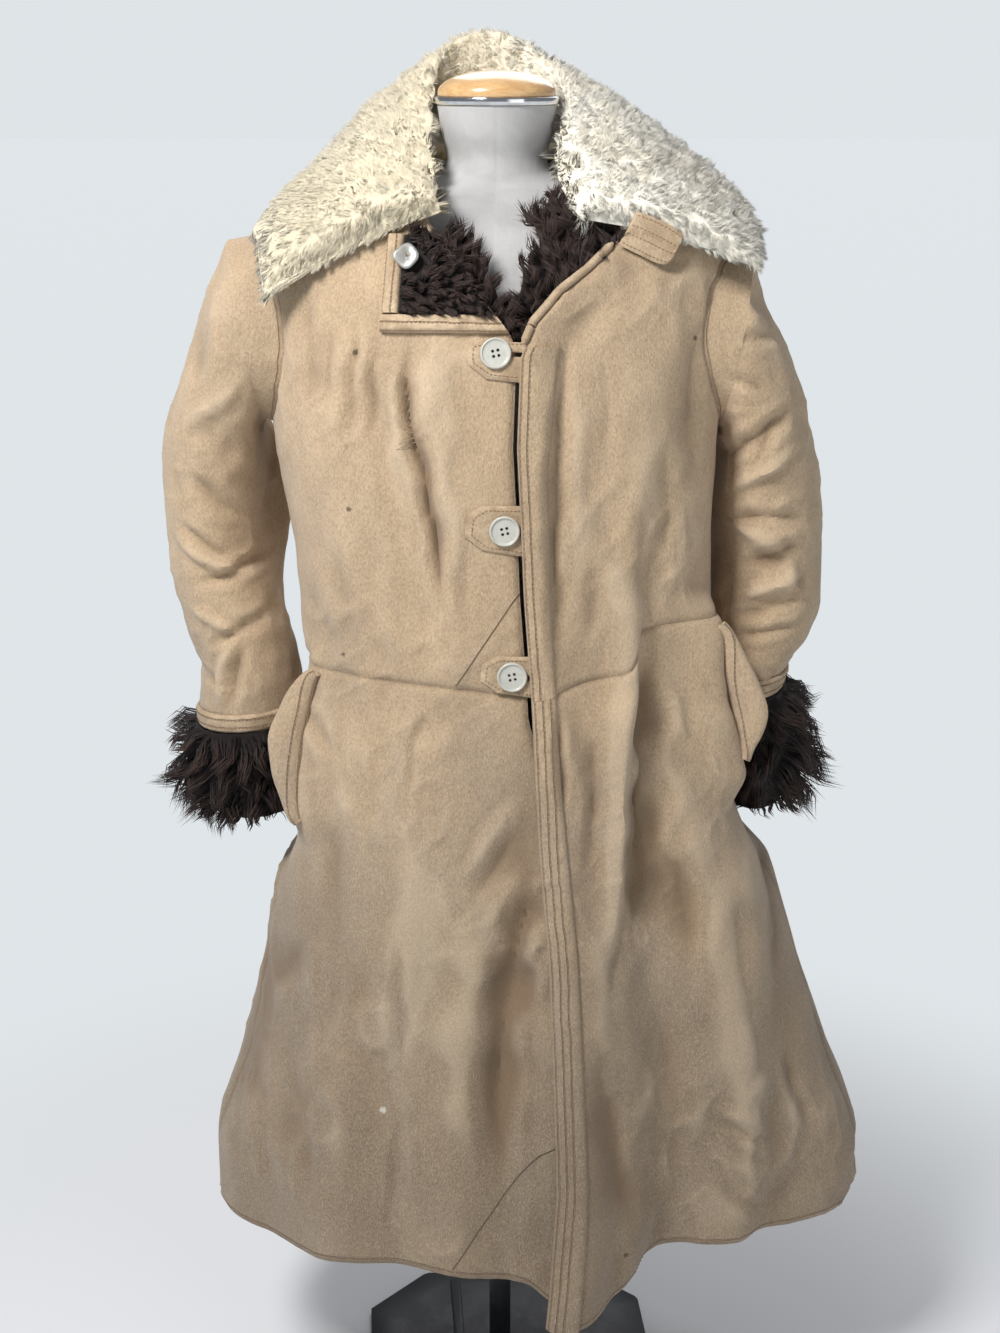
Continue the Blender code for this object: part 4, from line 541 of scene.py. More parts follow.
# ---------------------------------------------------------------- the coat's surface
def section(table, angle, height):
    """A rounded section: its half-width and depths, times powers of the sine and cosine."""
    centre, half, front, back, squareness = (
        table.curve(name, height) for name in ("centre", "half_width", "front", "back", "squareness"))
    sine, cosine = np.sin(np.radians(angle)), np.cos(np.radians(angle))
    x = centre + half * np.sign(sine) * np.abs(sine) ** (2.0 / squareness)
    y = np.where(cosine > 0, -front, back) * np.abs(cosine) ** (2.0 / squareness)
    return np.stack(np.broadcast_arrays(x, y, height), -1), centre


def folded(angle, height):
    """The section's point, moved out from its middle by the sum of the folds there. A fold is a bell
    across its angle, and rises and falls smoothly at its ends."""
    flat, centre = section(BODY, angle, height)
    total = 0.0
    for top, bottom, angle_top, angle_bottom, depth_top, depth_bottom, width in FOLDS:
        t = (top - height) / (top - bottom)
        ends = smooth_step(t / 0.25)
        if bottom > 0.3:
            ends = ends * smooth_step((1.0 - t) / 0.2)
        away = (angle - blend(angle_top, angle_bottom, t) + 180.0) % 360.0 - 180.0
        depth = blend(depth_top, depth_bottom, np.minimum(t, 1.0))
        total = total + depth * ends * np.exp(-(away / width) ** 2)
    outward = unit(np.stack(np.broadcast_arrays(flat[..., 0] - centre, flat[..., 1], 0.0), -1))
    return flat + outward * np.asarray(total)[..., None]


def crease(u, v, vary, width, depth, lean, line):
    """One crease: a bell of the distance to a smooth line, cusped in a trough, tapering to the line's
    ends, wider on one side by its lean and with a slight lip of the other sign."""
    line = catmull(np.array(line), np.linspace(0, len(line) - 1, 4 * len(line) - 3))
    run = np.linalg.norm(np.diff(line, axis=0), axis=1)
    best, along = np.full(u.shape, 9.0), np.zeros(u.shape)
    for (a, b), start, length, before in zip(line[1:] - line[:-1], line, run, run.cumsum() - run):
        du, dv = a / length, b / length
        t = np.clip((u - start[0]) * du + (v - start[1]) * dv, 0, length)
        au, av = u - start[0] - t * du, v - start[1] - t * dv
        far = np.hypot(au, av)
        nearer = far < np.abs(best)
        best = np.where(nearer, far * np.where(av * du - au * dv < 0, -1.0, 1.0), best)
        along = np.where(nearer, before + t, along)
    share = along / run.sum()
    fade = smooth_step(share / 0.34) * smooth_step((1 - share) / 0.40)
    reach = width * (1 - 0.6 * lean * np.sign(best)) * (0.55 + 0.45 * fade) * (1 + 0.35 * vary)
    near = np.abs(best) / reach
    bell = np.exp(-near ** (1.25 if depth < 0 else 2.0)) - 0.28 * np.exp(-(near - 2.4) ** 2)
    return depth * (1 + 0.25 * vary) * fade * bell


def creases(points, table):
    """The sum of the listed creases, their lines wavering a little, each worked out near its line."""
    waver = 0.0030 * np.stack([noise(points, 0.030, seed) for seed in (91, 92)], -1)
    vary = noise(points, 0.048, 94)
    u, v = points[..., 0] + waver[..., 0], points[..., 2] + waver[..., 1]
    total = np.zeros(u.shape)
    for width, depth, lean, *line in table:
        low, high = np.min(line, axis=0) - 7 * width, np.max(line, axis=0) + 7 * width
        near = (u > low[0]) & (u < high[0]) & (v > low[1]) & (v < high[1])
        total[near] += crease(u[near], v[near], vary[near], width, depth, lean, line)
    return total


def wrinkles(points, pitch, seed):
    """Ridged noise, 0 in its valleys and up to 1 on sharp crests."""
    return (1.0 - np.abs(noise(points, pitch, seed))) ** 3


def hide_relief(points):
    """Creases of the front and the back, with slack undulation of the hide and small wrinkles."""
    facing = smooth_step(-points[..., 1] / 0.03 + 0.5)
    drawn = creases(points, FRONT_CREASES) * facing + creases(points, BACK_CREASES) * (1 - facing)
    stretched = points * np.array([1.0, 1.0, 0.55])
    slack = 0.0020 * noise(stretched, 0.060, 3) + 0.0009 * noise(stretched, 0.024, 5)
    rumpled = smooth_step(noise(points, 0.130, 13) * 1.6 + 0.5)
    turned = points @ np.array([[0.9, 0.0, -0.45], [0.0, 1.0, 0.0], [0.30, 0.0, 0.60]])
    small = 0.0034 * (wrinkles(turned, 0.042, 15) - 0.35) + 0.0020 * (wrinkles(turned, 0.021, 16) - 0.35)
    return drawn + slack + rumpled * small


def coat(angle, height, lift=0.0, relief=True):
    """A point of the coat's outer face, moved along its normal by a lift and the hide's relief."""
    here = folded(angle, height)
    across = folded(angle + 1.0, height) - folded(angle - 1.0, height)
    up = folded(angle, height + 0.004) - folded(angle, height - 0.004)
    normal = unit(np.cross(across, up))
    amount = np.asarray(lift) + (hide_relief(here) if relief else 0.0)
    return here + normal * np.asarray(amount)[..., None]


def angle_at_x(x, height):
    """The front angle where a section reaches x."""
    half = BODY.curve("half_width", height)
    offset = x - BODY.curve("centre", height)
    share = np.minimum(np.abs(offset) / half, 1.0) ** (BODY.curve("squareness", height) / 2.0)
    return np.sign(offset) * np.degrees(np.arcsin(share))


def angle_at_y(y, height, side):
    """The side angle where a section reaches y."""
    reach = np.where(y < 0.0, BODY.curve("front", height), BODY.curve("back", height))
    share = np.minimum(np.abs(y) / reach, 1.0) ** (BODY.curve("squareness", height) / 2.0)
    angle = np.degrees(np.arccos(share))
    return side * np.where(y < 0.0, angle, 180.0 - angle)


def front(x, height, lift=0.0):
    """A point of the coat's front face over x and a height."""
    return coat(angle_at_x(x, height), height, lift)


# ---------------------------------------------------------------- seams and edges
def side_edge_y(height, facing):
    """The side edge of a front (facing -1) or the back (+1): an ellipse round the armhole, then the seam."""
    rise = np.clip((height - ARMHOLE_HEIGHT) / ARMHOLE_HALF_HEIGHT, -1.0, 1.0)
    armhole = ARMHOLE_MIDDLE + facing * ARMHOLE_HALF_DEPTH * np.sqrt(1.0 - rise * rise)
    upper = blend(SIDE_SEAM_WAIST, ARMHOLE_MIDDLE, (height - WAIST_NOMINAL) / (ARMPIT - WAIST_NOMINAL))
    lower = blend(SIDE_SEAM_HEM, SIDE_SEAM_WAIST, (height - HEM_NOMINAL) / (WAIST_NOMINAL - HEM_NOMINAL))
    return np.where(height > ARMPIT, armhole, np.where(height > WAIST_NOMINAL, upper, lower))


def seam_degrees(height):
    """Half a seam's parting, as an angle round the body."""
    return np.degrees(0.5 * SEAM / BODY.curve("half_width", height))


def front_edges(side):
    """A front's two edges: the angles of its closing edge and of its side seam at a height."""
    def edges(height):
        x = LEFT_EDGE.run("x", height)
        if side < 0:
            covered = np.maximum(RIGHT_EDGE.run("x", height), x - 0.0035)
            x = blend(RIGHT_EDGE.run("x", height), covered, smooth_step((1.245 - height) / 0.03))
        closing = angle_at_x(x, height)
        return closing, angle_at_y(side_edge_y(height, -1), height, side) - side * seam_degrees(height)
    return edges


def back_edges(height):
    left = angle_at_y(side_edge_y(height, 1), height, 1) + seam_degrees(height)
    right = 360.0 + angle_at_y(side_edge_y(height, 1), height, -1) - seam_degrees(height)
    return left, right


def seam_height(table, angle):
    return table.curve("height", (angle + 180.0) % 360.0 - 180.0)


def bodice_height(row, angle):
    low = seam_height(WAIST_SEAM, angle) + 0.5 * SEAM
    lower = blend(low, ARMPIT, row / LOWER_ROWS)
    step = np.clip(row - LOWER_ROWS, 0, ARMHOLE_ROWS) / ARMHOLE_ROWS
    middle = ARMHOLE_HEIGHT + ARMHOLE_HALF_HEIGHT * np.sin(np.pi * (step - 0.5))
    upper = np.interp(row - LOWER_ROWS - ARMHOLE_ROWS, range(5), SHOULDER_ROWS)
    return np.where(row < LOWER_ROWS, lower, np.where(row < LOWER_ROWS + ARMHOLE_ROWS, middle, upper))


def skirt_height(row, angle):
    top = seam_height(WAIST_SEAM, angle) - 0.5 * SEAM
    return blend(seam_height(HEM_LINE, angle), top, row / SKIRT_ROWS)


def settle(row, share, edges_at, height_of):
    """Angles and heights of a panel's grid. Edges and heights depend on each other, so they settle."""
    angle = np.zeros(np.broadcast(row, share).shape)
    height = height_of(row, angle)
    for _ in range(5):
        first, last = edges_at(height)
        angle = blend(first, last, share)
        height = height_of(row, angle)
    return angle, height


def left_proud(angle, height):
    """How far the left front stands off near its closing edge."""
    covered = RIGHT_EDGE.run("x", height)
    start = np.maximum(covered + 0.003, LEFT_EDGE.run("x", height) + 0.012)
    away = (folded(angle, height)[..., 0] - start) / LEFT_PROUD.run("reach", height)
    return LEFT_PROUD.curve("lift", height) * (1.0 - smooth_step(away))


def no_lift(angle, _height):
    return np.zeros(np.shape(angle))


# ---------------------------------------------------------------- meshes
def quads(rows, columns, start=0, around=False):
    """The faces of a grid of rows by columns points, numbered row by row."""
    r, c = np.meshgrid(np.arange(rows - 1), np.arange(columns if around else columns - 1), indexing="ij")
    d = (c + 1) % columns
    corners = [r * columns + c, r * columns + d, (r + 1) * columns + d, (r + 1) * columns + c]
    return np.stack(corners, -1).reshape(-1, 4) + start


def wall_faces(rows, columns, around=False, step=1):
    """The faces of a closed wall: an outer grid, an inner one with a point for each step of the
    outer's, and the rims between. All have four corners; a triangle's last one is doubled."""
    outer_ids = np.arange(rows * columns).reshape(rows, columns)
    inner_shape = outer_ids[::step, ::step].shape
    inner_ids = rows * columns + np.arange(inner_shape[0] * inner_shape[1]).reshape(inner_shape)
    outer = quads(rows, columns, 0, around)
    inner = quads(*inner_shape, rows * columns, around)[:, ::-1]

    def rim(many, few):
        near = few[(np.arange(len(many) - 1) + step - step // 2) // step]
        k = np.arange(len(few) - 1)
        edges = np.stack([many[:-1], many[1:], near, near], -1)
        joints = np.stack([many[k * step + step // 2], few[1:], few[:-1], few[:-1]], -1)
        return np.concatenate([edges, joints])

    if around:
        ends = [[np.append(ids[k], ids[k][0]) for ids in (outer_ids, inner_ids)] for k in (0, -1)]
        rims = [rim(*(loop[::-1] for loop in ends[0])), rim(*ends[1])]
    else:
        rims = [rim(outer_ids[0][::-1], inner_ids[0][::-1]), rim(outer_ids[-1], inner_ids[-1]),
                rim(outer_ids[:, 0], inner_ids[:, 0]), rim(outer_ids[::-1, -1], inner_ids[::-1, -1])]
    return outer, inner, np.concatenate(rims)


def face_lists(faces):
    """Faces as lists, with doubled corners dropped."""
    return [list(dict.fromkeys(face)) for face in faces.tolist()]


def volume(points, faces):
    """Six times a mesh's signed volume, from the triangle fans of its faces."""
    a, b, c, d = (points[faces[:, k]] for k in range(4))
    return (a * np.cross(b, c)).sum() + (a * np.cross(c, d)).sum()


def add_mesh(name, points, faces, materials, slot, uv=None, shade=None, material_of=None, smooth=True,
             normals=None):
    """A mesh object from arrays, with its map in metres, its shade attribute and its materials."""
    mesh = bpy.data.meshes.new(name)
    mesh.from_pydata(points.tolist(), [], faces if isinstance(faces, list) else face_lists(faces))
    for material in materials if isinstance(materials, (list, tuple)) else [materials]:
        mesh.materials.append(material)
    if uv is not None:
        corner = np.empty(len(mesh.loops), np.int32)
        mesh.loops.foreach_get("vertex_index", corner)
        mesh.uv_layers.new(name="cloth").data.foreach_set("uv", uv[corner].astype(np.float32).ravel())
    if shade is not None:
        attribute = mesh.attributes.new("shade", "FLOAT", "POINT")
        attribute.data.foreach_set("value", shade.astype(np.float32).ravel())
    if material_of is not None:
        mesh.polygons.foreach_set("material_index", material_of.astype(np.int32))
    if smooth:
        mesh.shade_smooth()
    if normals is not None:
        mesh.normals_split_custom_set_from_vertices(normals.tolist())
    elif smooth:
        mesh.set_sharp_from_angle(angle=math.radians(50.0))
    thing = bpy.data.objects.new(name, mesh)
    bpy.context.scene.collection.objects.link(thing)
    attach(thing, "root")
    return thing


def add_wall(name, outer, inner, materials, slot, around=False, uv=None, shade=None, step=1):
    """A closed wall between two grids, the inner one read at each step; with two materials the
    second covers its inner face."""
    rows, columns = outer.shape[:2]
    points = np.concatenate([outer.reshape(-1, 3), inner[::step, ::step].reshape(-1, 3)])
    parts = wall_faces(rows, columns, around, step)
    faces = np.concatenate(parts)
    if volume(points, faces) < 0:
        faces = faces[:, ::-1]
    many = isinstance(materials, (list, tuple))
    which = np.concatenate([np.full(len(p), k == 1) for k, p in enumerate(parts)]) if many else None
    doubled = {"uv": uv, "shade": shade}
    for key, value in doubled.items():
        if value is not None:
            flat = value.reshape(rows, columns, -1)
            width = flat.shape[-1]
            doubled[key] = np.concatenate([flat.reshape(-1, width), flat[::step, ::step].reshape(-1, width)])
    return add_mesh(name, points, faces, materials, slot, material_of=which, **doubled)


def add_loft(name, rings, material, slot, uv=None, shade=None):
    """A solid through closed rings, each end closed by a fan to its middle."""
    count, around = rings.shape[:2]
    points = np.concatenate([rings.reshape(-1, 3), rings[:1].mean(1), rings[-1:].mean(1)])
    sides = quads(count, around, 0, True)
    c = np.arange(around)
    d = (c + 1) % around
    low = np.stack([d, c, np.full(around, count * around)], -1)
    high = np.stack([c, d, np.full(around, count * around + 1)], -1)
    high[:, :2] += (count - 1) * around
    faces = sides.tolist() + low.tolist() + high.tolist()
    if volume(points, sides) < 0:
        faces = [face[::-1] for face in faces]
    ends = {"uv": uv, "shade": shade}
    for key, value in ends.items():
        if value is not None:
            flat = value.reshape(count * around, -1)
            ends[key] = np.concatenate([flat, flat[:1], flat[-1:]])
    return add_mesh(name, points, faces, material, slot, **ends)


def lengths_map(points):
    """A grid's map in metres: the run along each row, and up each column."""
    across = np.linalg.norm(np.diff(points, axis=1), axis=-1).cumsum(1)
    up = np.linalg.norm(np.diff(points, axis=0), axis=-1).cumsum(0)
    u = np.concatenate([np.zeros((len(points), 1)), across], 1)
    v = np.concatenate([np.zeros((1, points.shape[1])), up], 0)
    return np.stack([u, v], -1)


# ---------------------------------------------------------------- shader maths
class Signal:
    """A number socket of a shader, which Python's operators work on."""

    def __init__(self, look, socket):
        self.look, self.socket = look, socket

    def maths(self, operation, *values):
        return self.look.node("ShaderNodeMath", dict(enumerate(values)), operation=operation)

    def __add__(self, other):
        return self.maths("ADD", self, other)

    def __sub__(self, other):
        return self.maths("SUBTRACT", self, other)

    def __rsub__(self, other):
        return self.maths("SUBTRACT", other, self)

    def __mul__(self, other):
        return self.maths("MULTIPLY", self, other)

    def __truediv__(self, other):
        return self.maths("DIVIDE", self, other)

    def __pow__(self, other):
        return self.maths("POWER", self, other)

    def __abs__(self):
        return self.maths("ABSOLUTE", self)

    __radd__, __rmul__ = __add__, __mul__

    def most(self, other):
        return self.maths("MAXIMUM", self, other)

    def ramp(self, low, high, to_low=0.0, to_high=1.0):
        """Mapped smoothly from low..high to to_low..to_high."""
        values = {0: self, 1: low, 2: high, 3: to_low, 4: to_high}
        return self.look.node("ShaderNodeMapRange", values, interpolation_type="SMOOTHSTEP")


class Look:
    """One material: a Principled shader, and the nodes that vary its colour, roughness and bump."""

    def __init__(self, name, roughness=0.8, **sockets):
        self.material = bpy.data.materials.new(name)
        self.material.use_nodes = True
        self.tree = self.material.node_tree
        self.shader = self.tree.nodes["Principled BSDF"]
        self.set(Roughness=roughness, **{key.replace("_", " "): value for key, value in sockets.items()})

    def set(self, **values):
        for key, value in values.items():
            self.feed(self.shader.inputs[key.replace("_", " ")], value)

    def feed(self, socket, value):
        if isinstance(value, Signal):
            self.tree.links.new(value.socket, socket)
        elif isinstance(value, tuple) and len(value) == 3 and socket.type == "RGBA":
            socket.default_value = (*value, 1.0)
        else:
            socket.default_value = value

    def node(self, kind, values=None, output=0, stops=None, **settings):
        """Any node: its settings first, then its ramp's stops, then its sockets by name or number."""
        made = self.tree.nodes.new(kind)
        for key, value in settings.items():
            setattr(made, key, value)
        for k, (place, colour) in enumerate(stops or ()):
            element = made.color_ramp.elements[k] if k < 2 else made.color_ramp.elements.new(place)
            element.position, element.color = place, (*colour, 1.0)
        for key, value in (values or {}).items():
            self.feed(made.inputs[key], value)
        return Signal(self, made.outputs[output])

    def object_place(self):
        return self.node("ShaderNodeTexCoord", output="Object")

    def cloth_map(self):
        """The piece's own map, across and up, in metres."""
        both = self.node("ShaderNodeUVMap", uv_map="cloth")
        return [self.node("ShaderNodeSeparateXYZ", {0: both}, output=k) for k in (0, 1)]

    def scaled(self, vector, scale):
        return self.node("ShaderNodeMapping", {"Vector": vector, "Scale": scale})

    def noise(self, vector, pitch, detail=3.0, roughness=0.55, distortion=0.0):
        """Noise of about 0 to 1, with its grains about a pitch apart."""
        values = {"Vector": vector, "Scale": 1.0 / pitch, "Detail": detail, "Roughness": roughness,
                  "Distortion": distortion}
        return self.node("ShaderNodeTexNoise", values)

    def shade(self):
        return self.node("ShaderNodeAttribute", output="Fac", attribute_name="shade")

    def mix(self, factor, a, b, blend_type="MIX"):
        """Two colours mixed; the sockets after the factor are the node's colour pair."""
        return self.node("ShaderNodeMix", {0: factor, 6: a, 7: b}, output=2, data_type="RGBA",
                         blend_type=blend_type)

    def bump(self, height, distance, strength=1.0, normal=None):
        values = {"Height": height, "Distance": distance, "Strength": strength}
        if normal:
            values["Normal"] = normal
        return self.node("ShaderNodeBump", values)


# A sewn line's groove: whole up to the first distance from it, none past the second.
GROOVE = (0.0002, 0.0012, 1.0, 0.0)
SUEDE_LIGHT = (0.620, 0.452, 0.288)
SUEDE_MIDDLE = (0.515, 0.368, 0.230)
SUEDE_DARK = (0.225, 0.148, 0.086)
SUEDE_HEM_DARK = (0.268, 0.200, 0.136)
SUEDE_GREYED = (0.400, 0.318, 0.248)
SUEDE_PALE = (0.760, 0.610, 0.435)
# Blemishes on the fronts: x, height, radius, and whether it is a pale speck.
BLEMISHES = (
    (-0.139, 1.224, 0.0044, False), (-0.148, 1.073, 0.0036, False), (-0.158, 0.921, 0.0030, False),
    (0.191, 1.233, 0.0034, False), (-0.123, 0.437, 0.0050, True), (0.249, 0.743, 0.0034, False),
    (0.135, 0.272, 0.0040, False),
)
# Seams between pieced scraps of hide on the wearer's right: x and height along each.
PATCH_SEAMS = (((0.024, 0.998), (0.013, 0.986), (-0.012, 0.948), (-0.031, 0.919), (-0.043, 0.901)),
               ((0.066, 0.411), (0.042, 0.396), (0.022, 0.374), (-0.012, 0.323), (-0.050, 0.262)))


def toned(tone, colour):
    return tuple(tone * c for c in colour)


def suede(name, lines=(), tone=1.0, blemished=False, seams=()):
    """Brushed hide: mottled tan, darker towards the hem, with painted shade in its troughs and a paler tint
    on its ridges that is partly rubbed wear and partly painted highlight, with a fibrous nap and grooves
    along its sewn lines. A line is the map's axis (0 across, 1 up) and its distance in metres."""
    look = Look(name, 0.92, Sheen_Weight=0.22, Sheen_Roughness=0.5, Specular_IOR_Level=0.2)
    place = look.object_place()
    broad = look.noise(look.scaled(place, (1.0, 1.0, 0.5)), 0.12, 4.0, 0.6, 0.3)
    patches = look.noise(look.scaled(place, (1.0, 1.0, 0.6)), 0.035, 5.0, 0.65, 0.3)
    grain = look.noise(look.scaled(place, (1.0, 1.0, 0.6)), 0.0024, 4.0, 0.75)
    nap = look.noise(look.scaled(place, (1.0, 1.0, 0.4)), 0.0011, 3.0, 0.7)
    colour = look.mix(patches.ramp(0.32, 0.72), toned(tone, SUEDE_MIDDLE), toned(tone, SUEDE_LIGHT))
    low = look.node("ShaderNodeSeparateXYZ", {0: place}, output=2)
    # Darker towards the hem and in broad patches.
    darkening = low.ramp(1.02, 0.40, 0.0, 0.88) + broad.ramp(0.40, 0.68, -0.08, 0.30)
    colour = look.mix(darkening, colour, SUEDE_HEM_DARK)
    greyed = look.noise(look.scaled(place, (1.0, 1.0, 0.4)), 0.075, 5.0, 0.65, 0.4)
    colour = look.mix(greyed.ramp(0.42, 0.68) * low.ramp(1.0, 0.86, 0.10, 0.40), colour, SUEDE_GREYED)
    colour = look.mix(grain.ramp(0.38, 0.66) * 0.40, colour, SUEDE_DARK)
    colour = look.mix(nap.ramp(0.42, 0.66) * 0.34, colour, SUEDE_PALE)
    # The shade attribute carries the hide's relief: painted shade darkens the troughs, and the paler tint on
    # the ridges is partly rubbed wear and partly painted highlight.
    hollow = look.shade()
    colour = look.mix(hollow.ramp(0.0, -0.0105, 0.0, 0.80), colour, SUEDE_DARK)
    colour = look.mix(hollow.ramp(0.0004, 0.0048, 0.0, 0.28), colour, SUEDE_PALE)
    groove = None
    if lines:
        run = look.cloth_map()
        for axis, away in lines:
            mask = abs(run[axis] - away).ramp(*GROOVE)
            groove = mask if groove is None else groove.most(mask)
        colour = look.mix(groove * 0.25, colour, SUEDE_DARK)
    across = look.node("ShaderNodeSeparateXYZ", {0: place}, output=0)
    for (x0, z0), (x1, z1) in (pair for seam in seams for pair in zip(seam[:-1], seam[1:])):
        long = math.hypot(x1 - x0, z1 - z0)
        dx, dz = (x1 - x0) / long, (z1 - z0) / long
        along = (across - x0) * dx + (low - z0) * dz
        past = abs(along - 0.5 * long).ramp(0.5 * long, 0.5 * long + 0.0006, 1.0, 0.0)
        mask = abs((across - x0) * dz - (low - z0) * dx).ramp(0.0002, 0.0013, 1.0, 0.0) * past
        groove = mask if groove is None else groove.most(mask)
        colour = look.mix(mask * 0.60, colour, (0.095, 0.060, 0.036))
    if blemished:
        for x, height, radius, pale in BLEMISHES:
            far = ((across - x) ** 2.0 + (low - height) ** 2.0) ** 0.5 + (nap + grain - 1.0) * 0.0055
            spot = far.ramp(radius * 0.4, radius * 0.9, 0.8, 0.0)
            colour = look.mix(spot, colour, (0.80, 0.74, 0.66) if pale else (0.075, 0.045, 0.030))
    height = grain + nap * 0.55 + patches * 0.8
    if groove is not None:
        height = height - groove * 1.6
    look.set(Base_Color=colour, Roughness=grain.ramp(0.2, 0.8, 0.86, 0.98),
             Normal=look.bump(height, 0.0013, 0.9))
    return look.material


def binding(name, lines=(), tone=1.0):
    """Suede strip, rough at its cut edges, with its sewn lines sunk in."""
    look = Look(name, 0.93, Sheen_Weight=0.2, Specular_IOR_Level=0.2)
    place = look.object_place()
    grain = look.noise(place, 0.0030, 4.0, 0.7, 0.4)
    fine = look.noise(place, 0.0011, 2.0)
    patches = look.noise(place, 0.018, 3.0)
    colour = look.mix(patches.ramp(0.35, 0.65), toned(tone, (0.47, 0.345, 0.220)),
                      toned(tone, (0.62, 0.470, 0.315)))
    colour = look.mix(grain.ramp(0.34, 0.68) * 0.40, colour, (0.26, 0.175, 0.105))
    height = grain + fine * 0.5
    if lines:
        run = look.cloth_map()
        for axis, away in lines:
            mask = abs(run[axis] - away).ramp(*GROOVE)
            colour = look.mix(mask * 0.25, colour, (0.19, 0.12, 0.07))
            height = height - mask * 1.4
    look.set(Base_Color=colour, Roughness=fine.ramp(0.2, 0.8, 0.86, 0.98),
             Normal=look.bump(height, 0.0011, 0.9))
    return look.material


def pile():
    """The clipped dark wool of the coat's inside."""
    look = Look("inner_pile", 0.9, Sheen_Weight=0.2, Specular_IOR_Level=0.2)
    place = look.object_place()
    curl = look.noise(place, 0.006, 5.0, 0.7, 1.5)
    colour = look.mix(curl.ramp(0.35, 0.70), (0.012, 0.009, 0.008), (0.075, 0.052, 0.042))
    look.set(Base_Color=colour, Normal=look.bump(curl, 0.004, 1.0))
    return look.material


def dark_wool():
    """Shaggy dark brown wool: near black at its roots, a painted shade, and warmer and lighter at some tips,
    a painted highlight, over each hair's own random tone; more faded on the wearer's left."""
    look = Look("dark_wool", 0.68, Sheen_Weight=0.06, Specular_IOR_Level=0.25)
    place = look.object_place()
    tone = look.shade()
    wander = look.noise(place, 0.022, 3.0)
    # Painted shade at the roots and painted highlight at the tips: the shade attribute runs from the root to
    # the tip of each hair.
    colour = look.mix(tone.ramp(0.0, 1.0), (0.007, 0.0045, 0.0045), (0.080, 0.046, 0.034))
    across = look.node("ShaderNodeSeparateXYZ", {0: place}, output=0)
    faded = wander.ramp(0.42, 0.70) * across.ramp(-0.05, 0.08, 0.10, 0.50)
    colour = look.mix(faded, colour, (0.110, 0.084, 0.078))
    look.set(Base_Color=colour, Roughness=wander.ramp(0.3, 0.7, 0.60, 0.78),
             Normal=look.bump(look.noise(place, 0.0012, 2.0), 0.0006, 0.6))
    return look.material


def cream_wool():
    """Cream wool: pale at its tips and darker and yellower down between the tufts and at the roots, as
    painted shade; yellower on the wearer's right and whiter on the wearer's left, partly its own tone and
    partly painted light.
    """
    look = Look("cream_wool", 0.9, Sheen_Weight=0.3, Sheen_Roughness=0.5, Specular_IOR_Level=0.15)
    place = look.object_place()
    tone = look.shade()
    broad = look.noise(place, 0.060, 4.0, 0.6)
    wisp = look.noise(place, 0.0032, 4.0, 0.65, 1.4)
    across = look.node("ShaderNodeSeparateXYZ", {0: place}, output=0)
    # Whiter on the wearer's left and yellower, darker on the wearer's right, partly the wool's own tone and
    # partly painted light; low shade values, in the hollows and at the roots, take the darker colour as
    # painted shade.
    side = across.ramp(-0.06, 0.10)
    low = look.mix(side, (0.64, 0.545, 0.375), (0.93, 0.840, 0.650))
    high = look.mix(side, (0.740, 0.665, 0.505), (0.960, 0.930, 0.840))
    colour = look.mix(tone.ramp(0.05, 0.80), low, high)
    yellow = broad.ramp(0.42, 0.66, 0.0, 0.30)
    colour = look.mix(yellow, colour, (0.790, 0.690, 0.495))
    colour = look.mix(wisp.ramp(0.30, 0.70) * 0.12, colour, (0.72, 0.61, 0.42))
    look.set(Base_Color=colour, Roughness=wisp.ramp(0.3, 0.7, 0.82, 0.95),
             Normal=look.bump(wisp, 0.0012, 0.6))
    return look.material


def thread():
    """Brown sewing thread."""
    look = Look("thread", 0.75, Specular_IOR_Level=0.3)
    place = look.object_place()
    grain = look.noise(place, 0.0011, 2.0)
    look.set(Base_Color=look.mix(grain.ramp(0.3, 0.7), (0.255, 0.160, 0.095), (0.40, 0.265, 0.165)),
             Normal=look.bump(grain, 0.0003, 0.8))
    return look.material


def ivory(name, tone):
    """Yellowed ivory-coloured resin, clouded and finely scratched."""
    look = Look(name, 0.34, Coat_Weight=0.15, Specular_IOR_Level=0.5)
    place = look.object_place()
    cloud = look.noise(place, 0.012, 4.0, 0.6, 0.8)
    scratch = look.noise(look.scaled(place, (1.0, 1.0, 0.15)), 0.0010, 2.0)
    colour = look.mix(cloud.ramp(0.3, 0.7), toned(tone, (0.58, 0.57, 0.51)), toned(tone, (0.50, 0.49, 0.43)))
    colour = look.mix(scratch.ramp(0.62, 0.75) * 0.25, colour, (0.58, 0.55, 0.47))
    look.set(Base_Color=colour, Roughness=scratch.ramp(0.4, 0.8, 0.30, 0.46),
             Normal=look.bump(scratch, 0.0001, 0.4))
    return look.material


